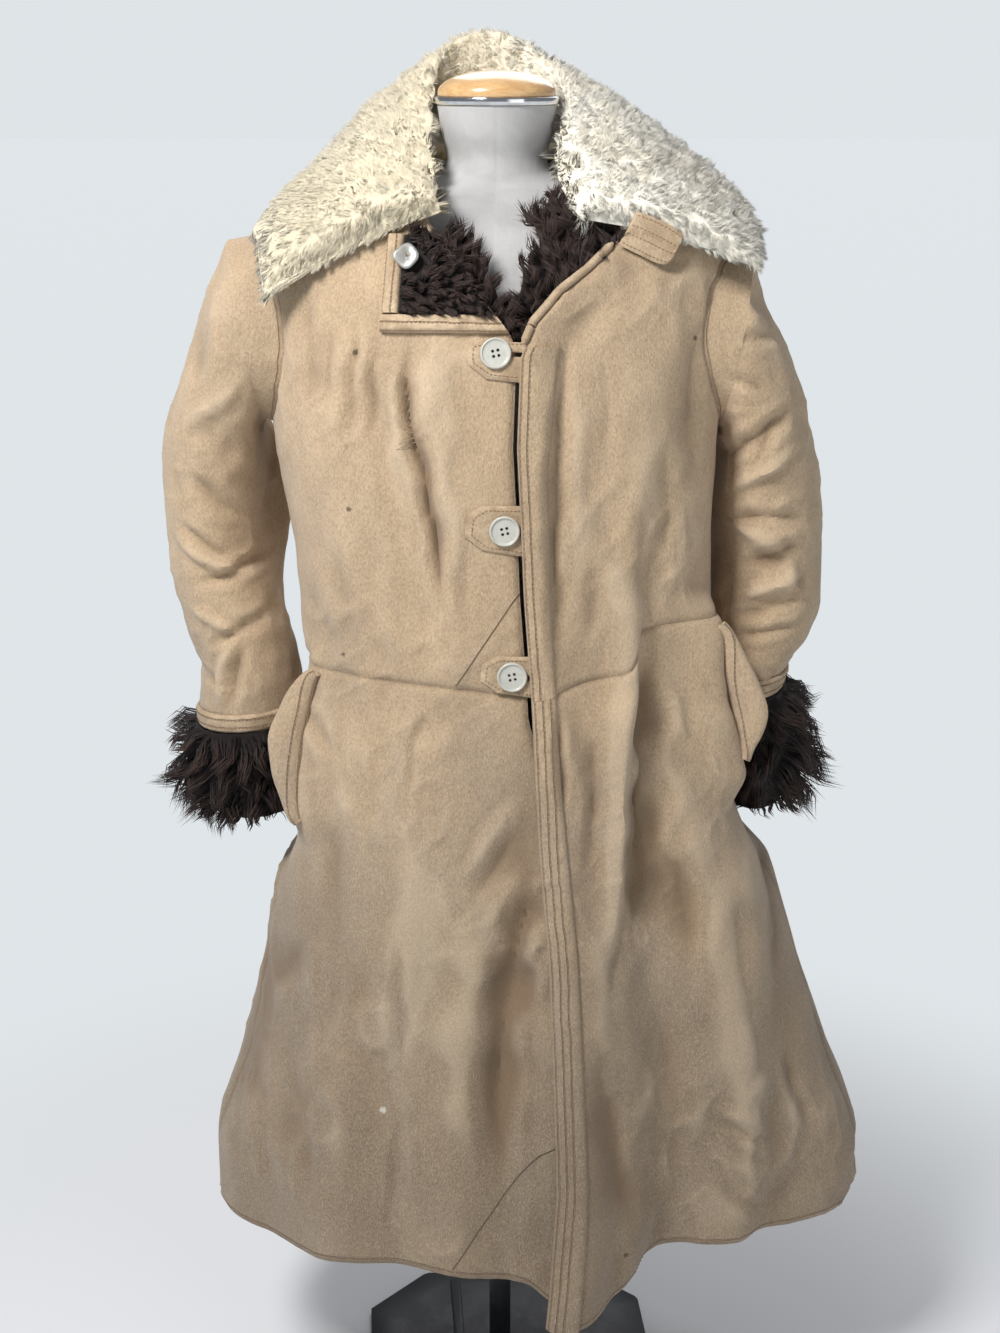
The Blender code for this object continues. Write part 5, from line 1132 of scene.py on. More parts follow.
def linen():
    """Plain woven cover: over and under threads in both directions, with a few faint marks."""
    look = Look("linen", 0.88, Sheen_Weight=0.1, Specular_IOR_Level=0.25)
    place = look.object_place()
    run = look.cloth_map()
    weave = [look.node("ShaderNodeMath", {0: axis * (math.tau / 0.0011)}, operation="SINE") for axis in run]
    thick = look.noise(look.node("ShaderNodeCombineXYZ", {0: run[0] * 900.0, 1: run[1] * 40.0}), 1.0, 2.0)
    thin = look.noise(look.node("ShaderNodeCombineXYZ", {0: run[0] * 40.0, 1: run[1] * 900.0}), 1.0, 2.0)
    soil = look.noise(place, 0.045, 4.0, 0.6, 0.5)
    colour = look.mix(soil.ramp(0.35, 0.7), (0.55, 0.54, 0.53), (0.47, 0.455, 0.445))
    colour = look.mix((thick + thin).ramp(0.85, 1.25) * 0.22, colour, (0.42, 0.40, 0.39))
    height = weave[0] * weave[1] * 0.3 + thick + thin
    look.set(Base_Color=colour, Roughness=soil.ramp(0.3, 0.7, 0.84, 0.92),
             Normal=look.bump(height, 0.0004, 0.5))
    return look.material


def chrome():
    """Chromed metal with faint smears."""
    look = Look("chrome", 0.12, Metallic=1.0)
    smear = look.noise(look.object_place(), 0.014, 3.0)
    look.set(Base_Color=look.mix(smear.ramp(0.3, 0.7), (0.80, 0.80, 0.81), (0.66, 0.66, 0.67)),
             Roughness=smear.ramp(0.3, 0.7, 0.07, 0.20))
    return look.material


def beech():
    """Varnished wood: stretched growth lines with fine pores."""
    look = Look("beech", 0.30, Coat_Weight=0.5, Coat_Roughness=0.12)
    place = look.object_place()
    rings = look.noise(look.scaled(place, (0.25, 1.0, 1.6)), 0.0065, 4.0, 0.6, 1.2)
    pores = look.noise(look.scaled(place, (0.12, 1.0, 1.0)), 0.0011, 2.0)
    colour = look.mix(rings.ramp(0.32, 0.68), (0.72, 0.465, 0.225), (0.56, 0.325, 0.135))
    colour = look.mix(pores.ramp(0.60, 0.74) * 0.4, colour, (0.33, 0.17, 0.06))
    look.set(Base_Color=colour, Roughness=rings.ramp(0.3, 0.7, 0.24, 0.36),
             Normal=look.bump(pores, 0.0002, 0.5))
    return look.material


def black_steel():
    """Black lacquered steel under some dust."""
    look = Look("black_steel", 0.42, Metallic=0.2, Specular_IOR_Level=0.5)
    place = look.object_place()
    orange = look.noise(place, 0.0016, 2.0)
    dust = look.noise(place, 0.050, 5.0, 0.7)
    colour = look.mix(dust.ramp(0.45, 0.75) * 0.5, (0.010, 0.011, 0.014), (0.045, 0.046, 0.050))
    look.set(Base_Color=colour, Roughness=dust.ramp(0.3, 0.7, 0.34, 0.55),
             Normal=look.bump(orange, 0.0002, 0.5))
    return look.material


# ---------------------------------------------------------------- hair and thread
def frames(ways):
    """Two unit vectors square to each direction."""
    helper = np.where(np.abs(ways[..., 2:]) > 0.8, [[1.0, 0.0, 0.0]], [[0.0, 0.0, 1.0]])
    first = unit(np.cross(ways, helper))
    return first, np.cross(ways, first)


def nearest_of(points, centres):
    """The index of each point's nearest centre."""
    return np.concatenate([((chunk[:, None] - centres) ** 2).sum(-1).argmin(1)
                           for chunk in np.array_split(points, max(1, len(points) // 2000))])


def hairs(roots, skin, ways, lengths, width, seed, lock=0.010, gather=0.7, curl=0.15, turns=1.2, droop=0.2,
          stray=0.15, segments=4, soft=1.0):
    """Tapered three-sided hairs in locks. A lock's path is its way, plus gravity times the square of
    the run, plus a widening helix; its hairs draw together towards the tip. Returns points, faces, a
    tone that grows from root to tip and differs at random from hair to hair, which the wool materials paint
    as shade at the roots and, for the dark wool, as highlight at the tips, and normals near the skin's,
    rounded over each lock."""
    random = np.random.default_rng(seed)
    count = len(roots)
    locks = random.choice(count, max(4, min(count // 5, int(count * 0.12 * (0.010 / lock) ** 2))), False)
    mine = nearest_of(roots, roots[locks])
    t = np.linspace(0, 1, segments + 1)[None, :, None]
    wander = unit(ways[locks] + stray * 1.6 * random.normal(size=(len(locks), 3)))[mine]
    long = (lengths[locks] * random.uniform(0.75, 1.15, len(locks)))[mine]
    long = long * random.uniform(0.70, 1.08, count)
    first, second = frames(wander)
    phase = random.uniform(0, math.tau, len(locks))[mine][:, None, None]
    spin = random.choice([-1.0, 1.0], len(locks))[mine][:, None, None]
    coil = random.uniform(0.6, 1.4, len(locks))[mine][:, None, None] * turns * math.tau
    helix = (np.cos(phase + spin * coil * t) - np.cos(phase)) * first[:, None]
    helix = helix + (np.sin(phase + spin * coil * t) - np.sin(phase)) * second[:, None]
    run = long[:, None, None]
    path = roots[locks][mine][:, None] + (roots - roots[locks][mine])[:, None] * (1 - gather * t ** 1.3)
    path = path + wander[:, None] * run * t + helix * curl * run * t
    path = path - UP * droop * run * t ** 2
    path = path + stray * 0.5 * run * t * random.normal(size=(count, 1, 3))
    tangent = unit(np.gradient(path, axis=1))
    side, other = frames(tangent)
    radius = 0.5 * width * random.uniform(0.7, 1.3, count)[:, None, None] * (1.0 - 0.75 * t ** 1.5)
    turn = np.arange(3) * math.tau / 3 + random.uniform(0, math.tau, (count, 1))
    ring = (side[:, :, None] * np.cos(turn)[:, None, :, None]
            + other[:, :, None] * np.sin(turn)[:, None, :, None]) * radius[:, :, None]
    rings = path[:, :, None] + ring
    body = rings[:, :-1].reshape(count, -1, 3)
    points = np.concatenate([body, path[:, -1:]], axis=1)
    each = points.shape[1]
    strip = quads(segments, 3, 0, True)
    tip = np.array([[(segments - 1) * 3 + k, (segments - 1) * 3 + (k + 1) % 3, each - 1] for k in range(3)])
    base = np.array([[2, 1, 0]])
    starts = (np.arange(count) * each)[:, None, None]
    square = (strip[None] + starts).reshape(-1, 4)
    triangle = (np.concatenate([tip, base])[None] + starts).reshape(-1, 3)
    # The tone runs from root to tip, for painted shade at the roots and painted highlight at the dark wool's
    # tips; each hair's tone also differs at random.
    tone = np.repeat(t[:, :-1, 0], 3, axis=1)
    tone = np.concatenate([np.broadcast_to(tone, (count, tone.shape[1])), np.ones((count, 1))], 1)
    tone = tone * random.uniform(0.25, 1.0, (count, 1))
    aside = roots - roots[locks][mine]
    bulge = aside / np.maximum(np.linalg.norm(aside, axis=1).mean(), 1e-6)
    lean = unit(skin + 0.38 * soft * bulge)
    shaded = unit(lean[:, None, None] + 0.45 * soft * unit(ring[:, :-1])).reshape(count, -1, 3)
    shaded = np.concatenate([shaded, lean[:, None]], axis=1)
    return points.reshape(-1, 3), square, triangle, tone.ravel(), shaded.reshape(-1, 3)


def rooted(points, normals, count, seed, weight=None):
    """Random places on a grid, evenly over its area: a cell, then a place in it."""
    random = np.random.default_rng(seed)
    a, b, c, d = points[:-1, :-1], points[:-1, 1:], points[1:, 1:], points[1:, :-1]
    area = np.linalg.norm(np.cross(c - a, d - b), axis=-1)
    if weight is not None:
        area = area * weight[:-1, :-1]
    cell = random.choice(area.size, count, p=(area / area.sum()).ravel())
    r, q = np.unravel_index(cell, area.shape)
    u, v = random.random((2, count, 1))
    place = blend(blend(a[r, q], b[r, q], u), blend(d[r, q], c[r, q], u), v)
    return place, normals[r, q], (r + v[:, 0], q + u[:, 0])


def merged(*meshes):
    """Several (points, squares, triangles, shade, normals) as one."""
    start = np.cumsum([0] + [len(m[0]) for m in meshes[:-1]])
    points = np.concatenate([m[0] for m in meshes])
    faces = sum((face_lists(m[1] + s) + (m[2] + s).tolist() for m, s in zip(meshes, start)), [])
    normals = None if meshes[0][4] is None else np.concatenate([m[4] for m in meshes])
    return points, faces, np.concatenate([np.asarray(m[3]).ravel() for m in meshes]), normals


def skin_wall(outer, inner, normals, around=False):
    """The closed skin that hairs stand on, as merged takes it, with a low shade value that paints it as dark
    as the hairs' roots, as painted shade.
    """
    points = np.concatenate([outer.reshape(-1, 3), inner.reshape(-1, 3)])
    faces = np.concatenate(wall_faces(*outer.shape[:2], around))
    if volume(points, faces) < 0:
        faces = faces[:, ::-1]
    flat = normals.reshape(-1, 3)
    return points, faces, np.zeros((0, 3), int), np.full(len(points), 0.15), np.concatenate([flat, -flat])


def stitch_mesh(path, normals, pitch, length=0.0033, radius=0.00058, sink=0.1):
    """Sewn stitches along a line of points: a small four-sided spindle at each pitch."""
    run = np.concatenate([[0], np.linalg.norm(np.diff(path, axis=0), axis=1).cumsum()])
    at = np.arange(0.5 * pitch, run[-1], pitch)
    spot = np.stack([np.interp(at, run, path[:, k]) for k in range(3)], -1)
    ahead = unit(np.stack([np.interp(at + 0.5 * pitch, run, path[:, k]) for k in range(3)], -1)
                 - np.stack([np.interp(at - 0.5 * pitch, run, path[:, k]) for k in range(3)], -1))
    up = unit(np.stack([np.interp(at, run, normals[:, k]) for k in range(3)], -1))
    side = unit(np.cross(ahead, up))
    spindle = np.array([(-0.5, 0, -0.9), (-0.28, 1, 0), (-0.28, 0, 1), (-0.28, -1, 0), (-0.28, 0, -1),
                        (0.28, 1, 0), (0.28, 0, 1), (0.28, -1, 0), (0.28, 0, -1), (0.5, 0, -0.9)])
    points = (spot[:, None] + ahead[:, None] * spindle[None, :, :1] * length
              + side[:, None] * spindle[None, :, 1:2] * radius
              + up[:, None] * (spindle[None, :, 2:] - sink) * radius)
    square = np.array([(1 + k, 1 + (k + 1) % 4, 5 + (k + 1) % 4, 5 + k) for k in range(4)])
    triangle = np.array([(0, 1 + (k + 1) % 4, 1 + k) for k in range(4)]
                        + [(9, 5 + k, 5 + (k + 1) % 4) for k in range(4)])
    starts = (np.arange(len(at)) * 10)[:, None, None]
    return (points.reshape(-1, 3), (square[None] + starts).reshape(-1, 4),
            (triangle[None] + starts).reshape(-1, 3), np.ones(len(at) * 10), None)


STITCHES = []
BUTTON_THREADS = []


def sew(path, normals, pitch=STITCH, **options):
    """Keeps a row of stitches for the one mesh of thread."""
    if len(path) > 1:
        STITCHES.append(stitch_mesh(path, normals, pitch, **options))


def grid_line(points, normals, uv, axis, away):
    """The line across a grid where its map's axis has a value: each row (axis 0) or column (axis 1)
    is read at that distance."""
    if axis == 1:
        points, normals, uv = (np.swapaxes(a, 0, 1) for a in (points, normals, uv))
    line, up = [], []
    for row, normal, run in zip(points, normals, uv[..., axis]):
        line.append([np.interp(away, run, row[:, k]) for k in range(3)])
        up.append([np.interp(away, run, normal[:, k]) for k in range(3)])
    line, up = np.array(line), unit(np.array(up))
    return line + up * THREAD_LIFT, up


def sew_rows(rows, points, normals, uv, pitch=STITCH):
    """Sews each line (its map's axis and distance) across a grid."""
    for axis, away in rows:
        sew(*grid_line(points, normals, uv, axis, away), pitch=pitch)


# ---------------------------------------------------------------- the coat's panels
def fine_rows(counts):
    """Fractional rows, each of the solids' rows cut into so many."""
    steps = [k + np.arange(n) / n for k, n in enumerate(counts)]
    return np.append(np.concatenate(steps), len(counts))


def edged(values):
    """Two more values in the first step and the last, close to the ends, for a rolled edge."""
    first, last = values[1] - values[0], values[-1] - values[-2]
    return np.concatenate([values[:1], values[0] + first * np.array([0.2, 0.5]), values[1:-1],
                           values[-1] - last * np.array([0.5, 0.2]), values[-1:]])


def seam_dip(uv):
    """1 at the edges of a grid's map and 0 a few millimetres in."""
    u, v = uv[..., 0], uv[..., 1]
    away = np.minimum(np.minimum(v, v[-1:] - v), np.minimum(u, u[:, -1:] - u))
    return np.exp(-(away / SEAM_REACH) ** 2)


BODICE_FINE = edged(fine_rows([16] * LOWER_ROWS + [6, 7, 8, 9, 9, 8, 7, 6] + [3] * 4))
SKIRT_FINE = edged(fine_rows([18] * SKIRT_ROWS))
SKIRT_BACK_FINE = edged(fine_rows([11] * SKIRT_ROWS))
INNER_STEP = 4              # the inner face has a point for so many of the outer's


def lowest_near(values, reach, around=False):
    """Each value of a grid replaced by the least within a reach of cells, both ways."""
    for axis in (0, 1):
        pad = [(0, 0), (0, 0)]
        pad[axis] = (reach, reach)
        wide = np.pad(values, pad, mode="wrap" if around and axis == 1 else "edge")
        count = values.shape[axis]
        values = np.min([np.take(wide, np.arange(k, k + count), axis) for k in range(2 * reach + 1)], axis=0)
    return values


def add_panel(name, node, rows, columns, edges_at, height_of, lift_of, material):
    """A panel of hide over its solid: outer and inner faces a wall apart, along the same normals,
    with its sewn edges rolled down."""
    row, share = rows[:, None], edged(np.linspace(0, 1, columns + 1))[None]
    angle, height = settle(row, share, edges_at, height_of)
    lift = lift_of(angle, height)
    relief = hide_relief(folded(angle, height))
    plain = coat(angle, height, lift, relief=False)
    inner = coat(angle, height, lift + lowest_near(relief, INNER_STEP) - WALL, relief=False)
    dip = seam_dip(lengths_map(plain))
    outer = coat(angle, height, lift + relief - SEAM_DIP * dip, relief=False)
    uv = lengths_map(outer)
    # The shade attribute is the relief, lowered along the rolled sewn edges: the suede paints shade in the
    # troughs and the seam grooves.
    thing = add_wall(name, outer, inner, [material, PILE], "suede", uv=uv, shade=relief - 0.004 * dip,
                     step=INNER_STEP)
    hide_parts(node)
    return outer, unit(outer - inner), uv


def add_panels():
    for side, label in SIDES:
        lift_of = left_proud if side > 0 else no_lift
        edges = front_edges(side)
        seams = PATCH_SEAMS if side < 0 else ()
        bodice = suede(f"suede_front_{label}", blemished=True, seams=seams)
        add_panel(f"hide_front_{label}", f"front_{label}", BODICE_FINE, 84, edges, bodice_height, lift_of,
                  bodice)
        skirt = suede(f"suede_skirt_{label}", lines=((1, HEM_SEWN),), blemished=True, seams=seams)
        outer, normals, uv = add_panel(f"hide_skirt_front_{label}", f"skirt_front_{label}", SKIRT_FINE, 120,
                                       edges, skirt_height, lift_of, skirt)
        sew(*grid_line(outer, normals, uv, 1, HEM_SEWN))
    hide = suede("suede_back")
    add_panel("hide_back", "back", BODICE_FINE, 100, back_edges, bodice_height, no_lift, hide)
    skirt = suede("suede_skirt_back", lines=((1, HEM_SEWN),))
    outer, normals, uv = add_panel("hide_skirt_back", "skirt_back", SKIRT_BACK_FINE, 120, back_edges,
                                   skirt_height, no_lift, skirt)
    sew(*grid_line(outer, normals, uv, 1, HEM_SEWN))


# ---------------------------------------------------------------- sleeves and cuffs
SLEEVE_CREASES = {
    -1: (
        (0.0060, -0.0048, 0.3, (-0.322, 1.097), (-0.286, 1.062), (-0.256, 1.034)),
        (0.0060, -0.0060, 0.3, (-0.340, 1.042), (-0.304, 1.018), (-0.264, 0.987)),
        (0.0070, 0.0060, -0.4, (-0.342, 1.018), (-0.300, 1.000), (-0.252, 0.974)),
        (0.0055, -0.0056, 0.0, (-0.322, 0.974), (-0.280, 0.984), (-0.232, 1.001)),
        (0.0060, 0.0052, 0.4, (-0.332, 0.946), (-0.298, 0.934), (-0.262, 0.915)),
        (0.0055, -0.0052, 0.0, (-0.312, 0.900), (-0.276, 0.922), (-0.236, 0.944)),
        (0.0070, 0.0062, -0.5, (-0.276, 0.918), (-0.292, 0.880), (-0.300, 0.828)),
        (0.0065, -0.0062, 0.3, (-0.262, 0.910), (-0.278, 0.875), (-0.284, 0.826)),
        (0.0080, 0.0042, 0.0, (-0.330, 1.132), (-0.290, 1.160), (-0.246, 1.202)),
        (0.0080, -0.0056, 0.0, (-0.238, 1.200), (-0.240, 1.120), (-0.238, 1.048)),
        (0.0080, -0.0040, 0.0, (-0.298, 1.256), (-0.304, 1.210), (-0.307, 1.170)),
        (0.0055, -0.0040, 0.0, (-0.330, 0.880), (-0.306, 0.862), (-0.286, 0.858)),
    ),
    1: (
        (0.0080, 0.0056, 0.5, (0.235, 1.278), (0.262, 1.232), (0.298, 1.178)),
        (0.0060, -0.0052, 0.0, (0.218, 1.195), (0.248, 1.186), (0.276, 1.172)),
        (0.0070, -0.0080, 0.3, (0.222, 1.096), (0.262, 1.134), (0.306, 1.167)),
        (0.0070, 0.0066, -0.4, (0.228, 1.060), (0.270, 1.096), (0.314, 1.126)),
        (0.0060, -0.0060, 0.0, (0.234, 1.040), (0.280, 1.044), (0.326, 1.038)),
        (0.0060, 0.0056, 0.4, (0.230, 1.042), (0.268, 1.024), (0.308, 0.997)),
        (0.0055, -0.0060, 0.0, (0.242, 0.988), (0.284, 1.006), (0.326, 1.016)),
        (0.0060, 0.0056, -0.3, (0.250, 0.951), (0.288, 0.974), (0.328, 0.992)),
        (0.0060, -0.0056, 0.0, (0.240, 0.938), (0.282, 0.948), (0.330, 0.962)),
        (0.0055, 0.0044, 0.0, (0.298, 1.004), (0.300, 0.980), (0.297, 0.950)),
        (0.0060, -0.0044, 0.0, (0.218, 1.236), (0.252, 1.232), (0.286, 1.221)),
        (0.0060, -0.0048, 0.0, (0.272, 1.144), (0.262, 1.108), (0.247, 1.072)),
        (0.0050, -0.0050, 0.0, (0.238, 0.914), (0.278, 0.924), (0.318, 0.930)),
        (0.0060, 0.0044, 0.0, (0.244, 0.900), (0.272, 0.880), (0.292, 0.850)),
    ),
}


def armhole_ring(side, turn):
    """The armhole's rim: an ellipse in height and depth, on the body's surface, drawn in by the seam."""
    height = ARMHOLE_HEIGHT + ARMHOLE_HALF_HEIGHT * np.sin(turn)
    y = ARMHOLE_MIDDLE - ARMHOLE_HALF_DEPTH * np.cos(turn)
    points = coat(angle_at_y(y, height, side), height, -SEAM_DIP)
    middle = points.mean(0)
    return points + unit(middle - points) * SEAM


def sleeve_ring(side, place, turn, grow_out=0.0, grow_in=0.0, grow_depth=0.0):
    """Rings of a sleeve: a stretched circle from its inner point by the front to its outer point."""
    table = SLEEVES[side]
    column = {name: table.curve(name, place) for name in SLEEVE_COLUMNS.split()[1:]}
    outer = np.stack([column["outer_x"], column["middle"], column["outer_z"]], -1)
    inner = np.stack([column["inner_x"], column["middle"], column["inner_z"]], -1)
    half = (outer - inner) / 2.0
    long = np.linalg.norm(half, axis=-1, keepdims=True)
    grow = np.where(np.sin(turn) > 0.0, grow_out, grow_in)[..., None]
    deep = column["half_depth"] + grow_depth
    points = inner + half + half / long * (long + grow) * np.sin(turn)[..., None]
    away = ((np.degrees(turn) - TUCK_TURN + 180.0) % 360.0 - 180.0) / TUCK_WIDTH
    slack = -side * column["tuck"] * np.exp(-away ** 2)
    return points + np.stack(np.broadcast_arrays(slack, -deep * np.cos(turn), 0.0), -1)


def drawn_in(points, depth):
    """Rings drawn in towards their middles."""
    middle = points.mean(1, keepdims=True)
    return points + unit(middle - points) * depth


def sleeve_place(side, height):
    table = SLEEVES[side]
    middle = (table.columns["outer_z"] + table.columns["inner_z"]) / 2.0
    return np.interp(-np.asarray(height), -middle, table.keys)


AROUND = 112                # points round a sleeve, from its inner point by the front
SLEEVE_TURN = (np.arange(AROUND) / AROUND * math.tau - math.pi / 2)[None]
# Shares of the way from the armhole's rim to the sleeve's own first ring.
SLEEVE_HEAD = np.array([0.0, 0.04, 0.1, 0.2, 0.32, 0.46, 0.6, 0.74])[:, None, None]


def add_sleeves():
    for side, label in SIDES:
        place = edged(np.linspace(0, 12, 149))[:, None]
        rings = sleeve_ring(side, place, SLEEVE_TURN)
        start = armhole_ring(side, SLEEVE_TURN[0])
        rings = np.concatenate([blend(start[None], rings[:1], SLEEVE_HEAD), rings])
        normals = outward_normals(rings)
        facing = smooth_step(-rings[..., 1] / 0.03 + 0.8)
        relief = creases(rings, SLEEVE_CREASES[side]) * (0.45 + 0.55 * facing)
        relief = relief + 0.0020 * noise(rings, 0.045, 7) + 0.0009 * noise(rings, 0.018, 9)
        relief = relief + 0.0018 * (wrinkles(rings, 0.030, 17) - 0.35)
        row = np.arange(len(rings))
        relief = relief * smooth_step(row / 14.0)[:, None]
        relief = relief * smooth_step((len(rings) - 1 - row) / 10.0)[:, None]
        away = lengths_map(rings)[..., 1]
        dip = np.exp(-((away[-1:] - away) / SEAM_REACH) ** 2)
        # Painted shade along both sewn ends of the sleeve: the shade attribute is lowered there.
        darkening = 0.5 * np.exp(-(away / SEAM_REACH) ** 2) + 0.4 * dip
        outer = rings + normals * relief[..., None]
        inner = rings + normals * (lowest_near(relief, INNER_STEP, True) - WALL)[..., None]
        for end in (slice(None, 8), slice(-8, None)):
            inner[end] = drawn_in(outer[end], WALL)
        outer = outer - normals * (SEAM_DIP * dip)[..., None]
        relief = relief - 0.006 * darkening
        uv = lengths_map(outer)
        hide = suede(f"suede_sleeve_{label}", lines=((1, ARMHOLE_SEWN),))
        thing = add_wall(f"hide_sleeve_{label}", outer, inner, [hide, PILE], "suede", around=True, uv=uv,
                         shade=relief, step=INNER_STEP)
        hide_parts(f"sleeve_{label}")


def cuff_rings(side, place, turn, share):
    """The cuff's rings, grown from the sleeve's by a share of the fur's reach."""
    table = CUFFS[side]
    height = table.curve("height", place)
    at = sleeve_place(side, height)
    middle = SLEEVES[side]
    drop = height - (middle.curve("outer_z", at) + middle.curve("inner_z", at)) / 2.0
    reach = [table.curve(name, place) * share for name in ("reach_out", "reach_in", "reach_depth")]
    rings = sleeve_ring(side, at, turn, *reach)
    rings[..., 2] += drop
    return rings


def add_cuffs():
    """Dark fur round the sleeves' ends, on a skin that stands off by a share of the fur's reach."""
    for side, label in SIDES:
        place = np.linspace(0, 5, 26)[:, None]
        base = cuff_rings(side, place, SLEEVE_TURN, 0.30)
        base = base + 0.0015 * noise(base, 0.008, 11)[..., None] * unit(base - base.mean(1, keepdims=True))
        inner = drawn_in(cuff_rings(side, place, SLEEVE_TURN, 0.0), -2 * SEAM)
        close = smooth_step((place - 4.0)[..., None])
        last = drawn_in(sleeve_ring(side, np.array([[12.0]]), SLEEVE_TURN), 0.0044)
        inner = blend(inner, last - UP * 2 * SEAM, close)
        normals = outward_normals(base)
        wrapped = np.concatenate([base, base[:, :1]], axis=1)
        ways = np.concatenate([normals, normals[:, :1]], axis=1)
        roots, out, (r, q) = rooted(wrapped, ways, 3400, 21 + side)
        table = CUFFS[side]
        row = r / 5.0
        angle = q / AROUND * math.tau - math.pi / 2
        sine, cosine = np.sin(angle), np.abs(np.cos(angle))
        along = np.where(sine > 0, table.curve("reach_out", row), table.curve("reach_in", row))
        reach = np.abs(sine) * along + cosine * table.curve("reach_depth", row)
        lengths = 0.011 + 0.56 * reach
        lean = unit(out - UP * blend(0.35, 1.1, row / 5.0)[:, None])
        hair = hairs(roots - out * 0.001, out, lean, lengths, FUR_HAIR, 31 + side, lock=0.017, gather=0.55,
                     curl=0.20, turns=0.8, droop=0.20, stray=0.10, segments=3)
        points, faces, shade, normals = merged(skin_wall(base, inner, normals, True), hair)
        thing = add_mesh(f"fur_cuff_{label}", points, faces, DARK, "dark_fur", shade=shade, normals=normals)
        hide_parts(f"cuff_{label}")
        add_cuff_band(side, label)


def add_cuff_band(side, label):
    """A sewn strip round the sleeve above the fur, rounded over at both edges."""
    top = CUFFS[side].columns["height"][0] + BAND_HEIGHT
    across = np.linspace(0, 1, 13)[:, None]
    at = sleeve_place(side, top - BAND_HEIGHT * across)
    crown = BAND_THICKNESS * (1.0 - (2 * across - 1) ** 8 * 0.8)
    reach = 2 * SEAM + crown
    outer = sleeve_ring(side, at, SLEEVE_TURN, reach, reach, reach)
    inner = sleeve_ring(side, at, SLEEVE_TURN, 2 * SEAM, 2 * SEAM, 2 * SEAM)
    normals = unit(outer - inner)
    outer = outer + normals * (0.0005 * noise(outer, 0.006, 4))[..., None]
    uv = lengths_map(outer)
    rows = ((1, 0.006), (1, 0.015))
    strip = binding(f"binding_cuff_{label}", rows)
    thing = add_wall(f"band_cuff_{label}", outer, inner, strip, "binding", around=True, uv=uv)
    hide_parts(f"cuff_band_{label}")
    sew_rows(rows, outer, normals, uv, BINDING_STITCH)


# ---------------------------------------------------------------- collar
def body_share(points):
    """Below 1 inside the body's plain section at the point's height, above 1 outside."""
    height = np.minimum(points[..., 2], BODY.keys[-1])
    squareness = BODY.curve("squareness", height)
    across = np.abs((points[..., 0] - BODY.curve("centre", height)) / BODY.curve("half_width", height))
    reach = np.where(points[..., 1] < 0.0, BODY.curve("front", height), BODY.curve("back", height))
    inside = across ** squareness + np.abs(points[..., 1] / reach) ** squareness
    return np.where(points[..., 2] > BODY.keys[-1] - 0.002, 2.0, inside)


def clear_of_body(points, lift):
    """Points moved out step by step until they lie a lift above the body."""
    step = 0.001
    for _ in range(80):
        slope = [body_share(points + np.eye(3)[k] * step) - body_share(points - np.eye(3)[k] * step)
                 for k in range(3)]
        normal = unit(np.stack(slope, -1))
        short = (body_share(points - normal * lift) <= 1.0) & (points[..., 2] <= BODY.keys[-1] - 0.002)
        if not short.any():
            break
        points = points + normal * 0.0007 * short[..., None]
    return points


def collar_rings(stations):
    """The collar's closed sections: up the stand, over the roll, down the fall and back under."""
    neck, roll, edge = (catmull(points, stations) for points in (COLLAR_NECK, COLLAR_ROLL, COLLAR_EDGE))
    share = (stations / (len(COLLAR_NECK) - 1))[:, None]
    outward = unit((edge - roll) * np.array([1, 1, 0]))
    down = unit(edge - roll)
    lift = unit(UP - down * down[:, 2:])
    fold = blend(0.12, 0.72, smooth_step(1.0 - np.abs(2.0 * share - 1.0)))
    stand = neck - outward * STAND_FUR + UP * 0.004
    roll_in = roll - outward * STAND_FUR - UP * 0.006
    ring = [stand, blend(stand, roll_in, 0.5), roll_in, roll]
    ring += [blend(roll, edge, along) + lift * COLLAR_FUR * fur for along, fur in FALL]
    ring += [edge + down * 0.006 + lift * 0.006, clear_of_body(edge + down * 0.002, UNDERSIDE_LIFT)]
    inside = blend(neck, roll, fold) + outward * 0.013
    for t in (0.16, 0.33, 0.50, 0.66, 0.83, 1.0):
        ring.append(clear_of_body(blend(edge, inside, t), UNDERSIDE_LIFT))
    ring.append(clear_of_body(neck + outward * 0.010 + UP * 0.002, UNDERSIDE_LIFT))
    return np.stack(ring, 1)


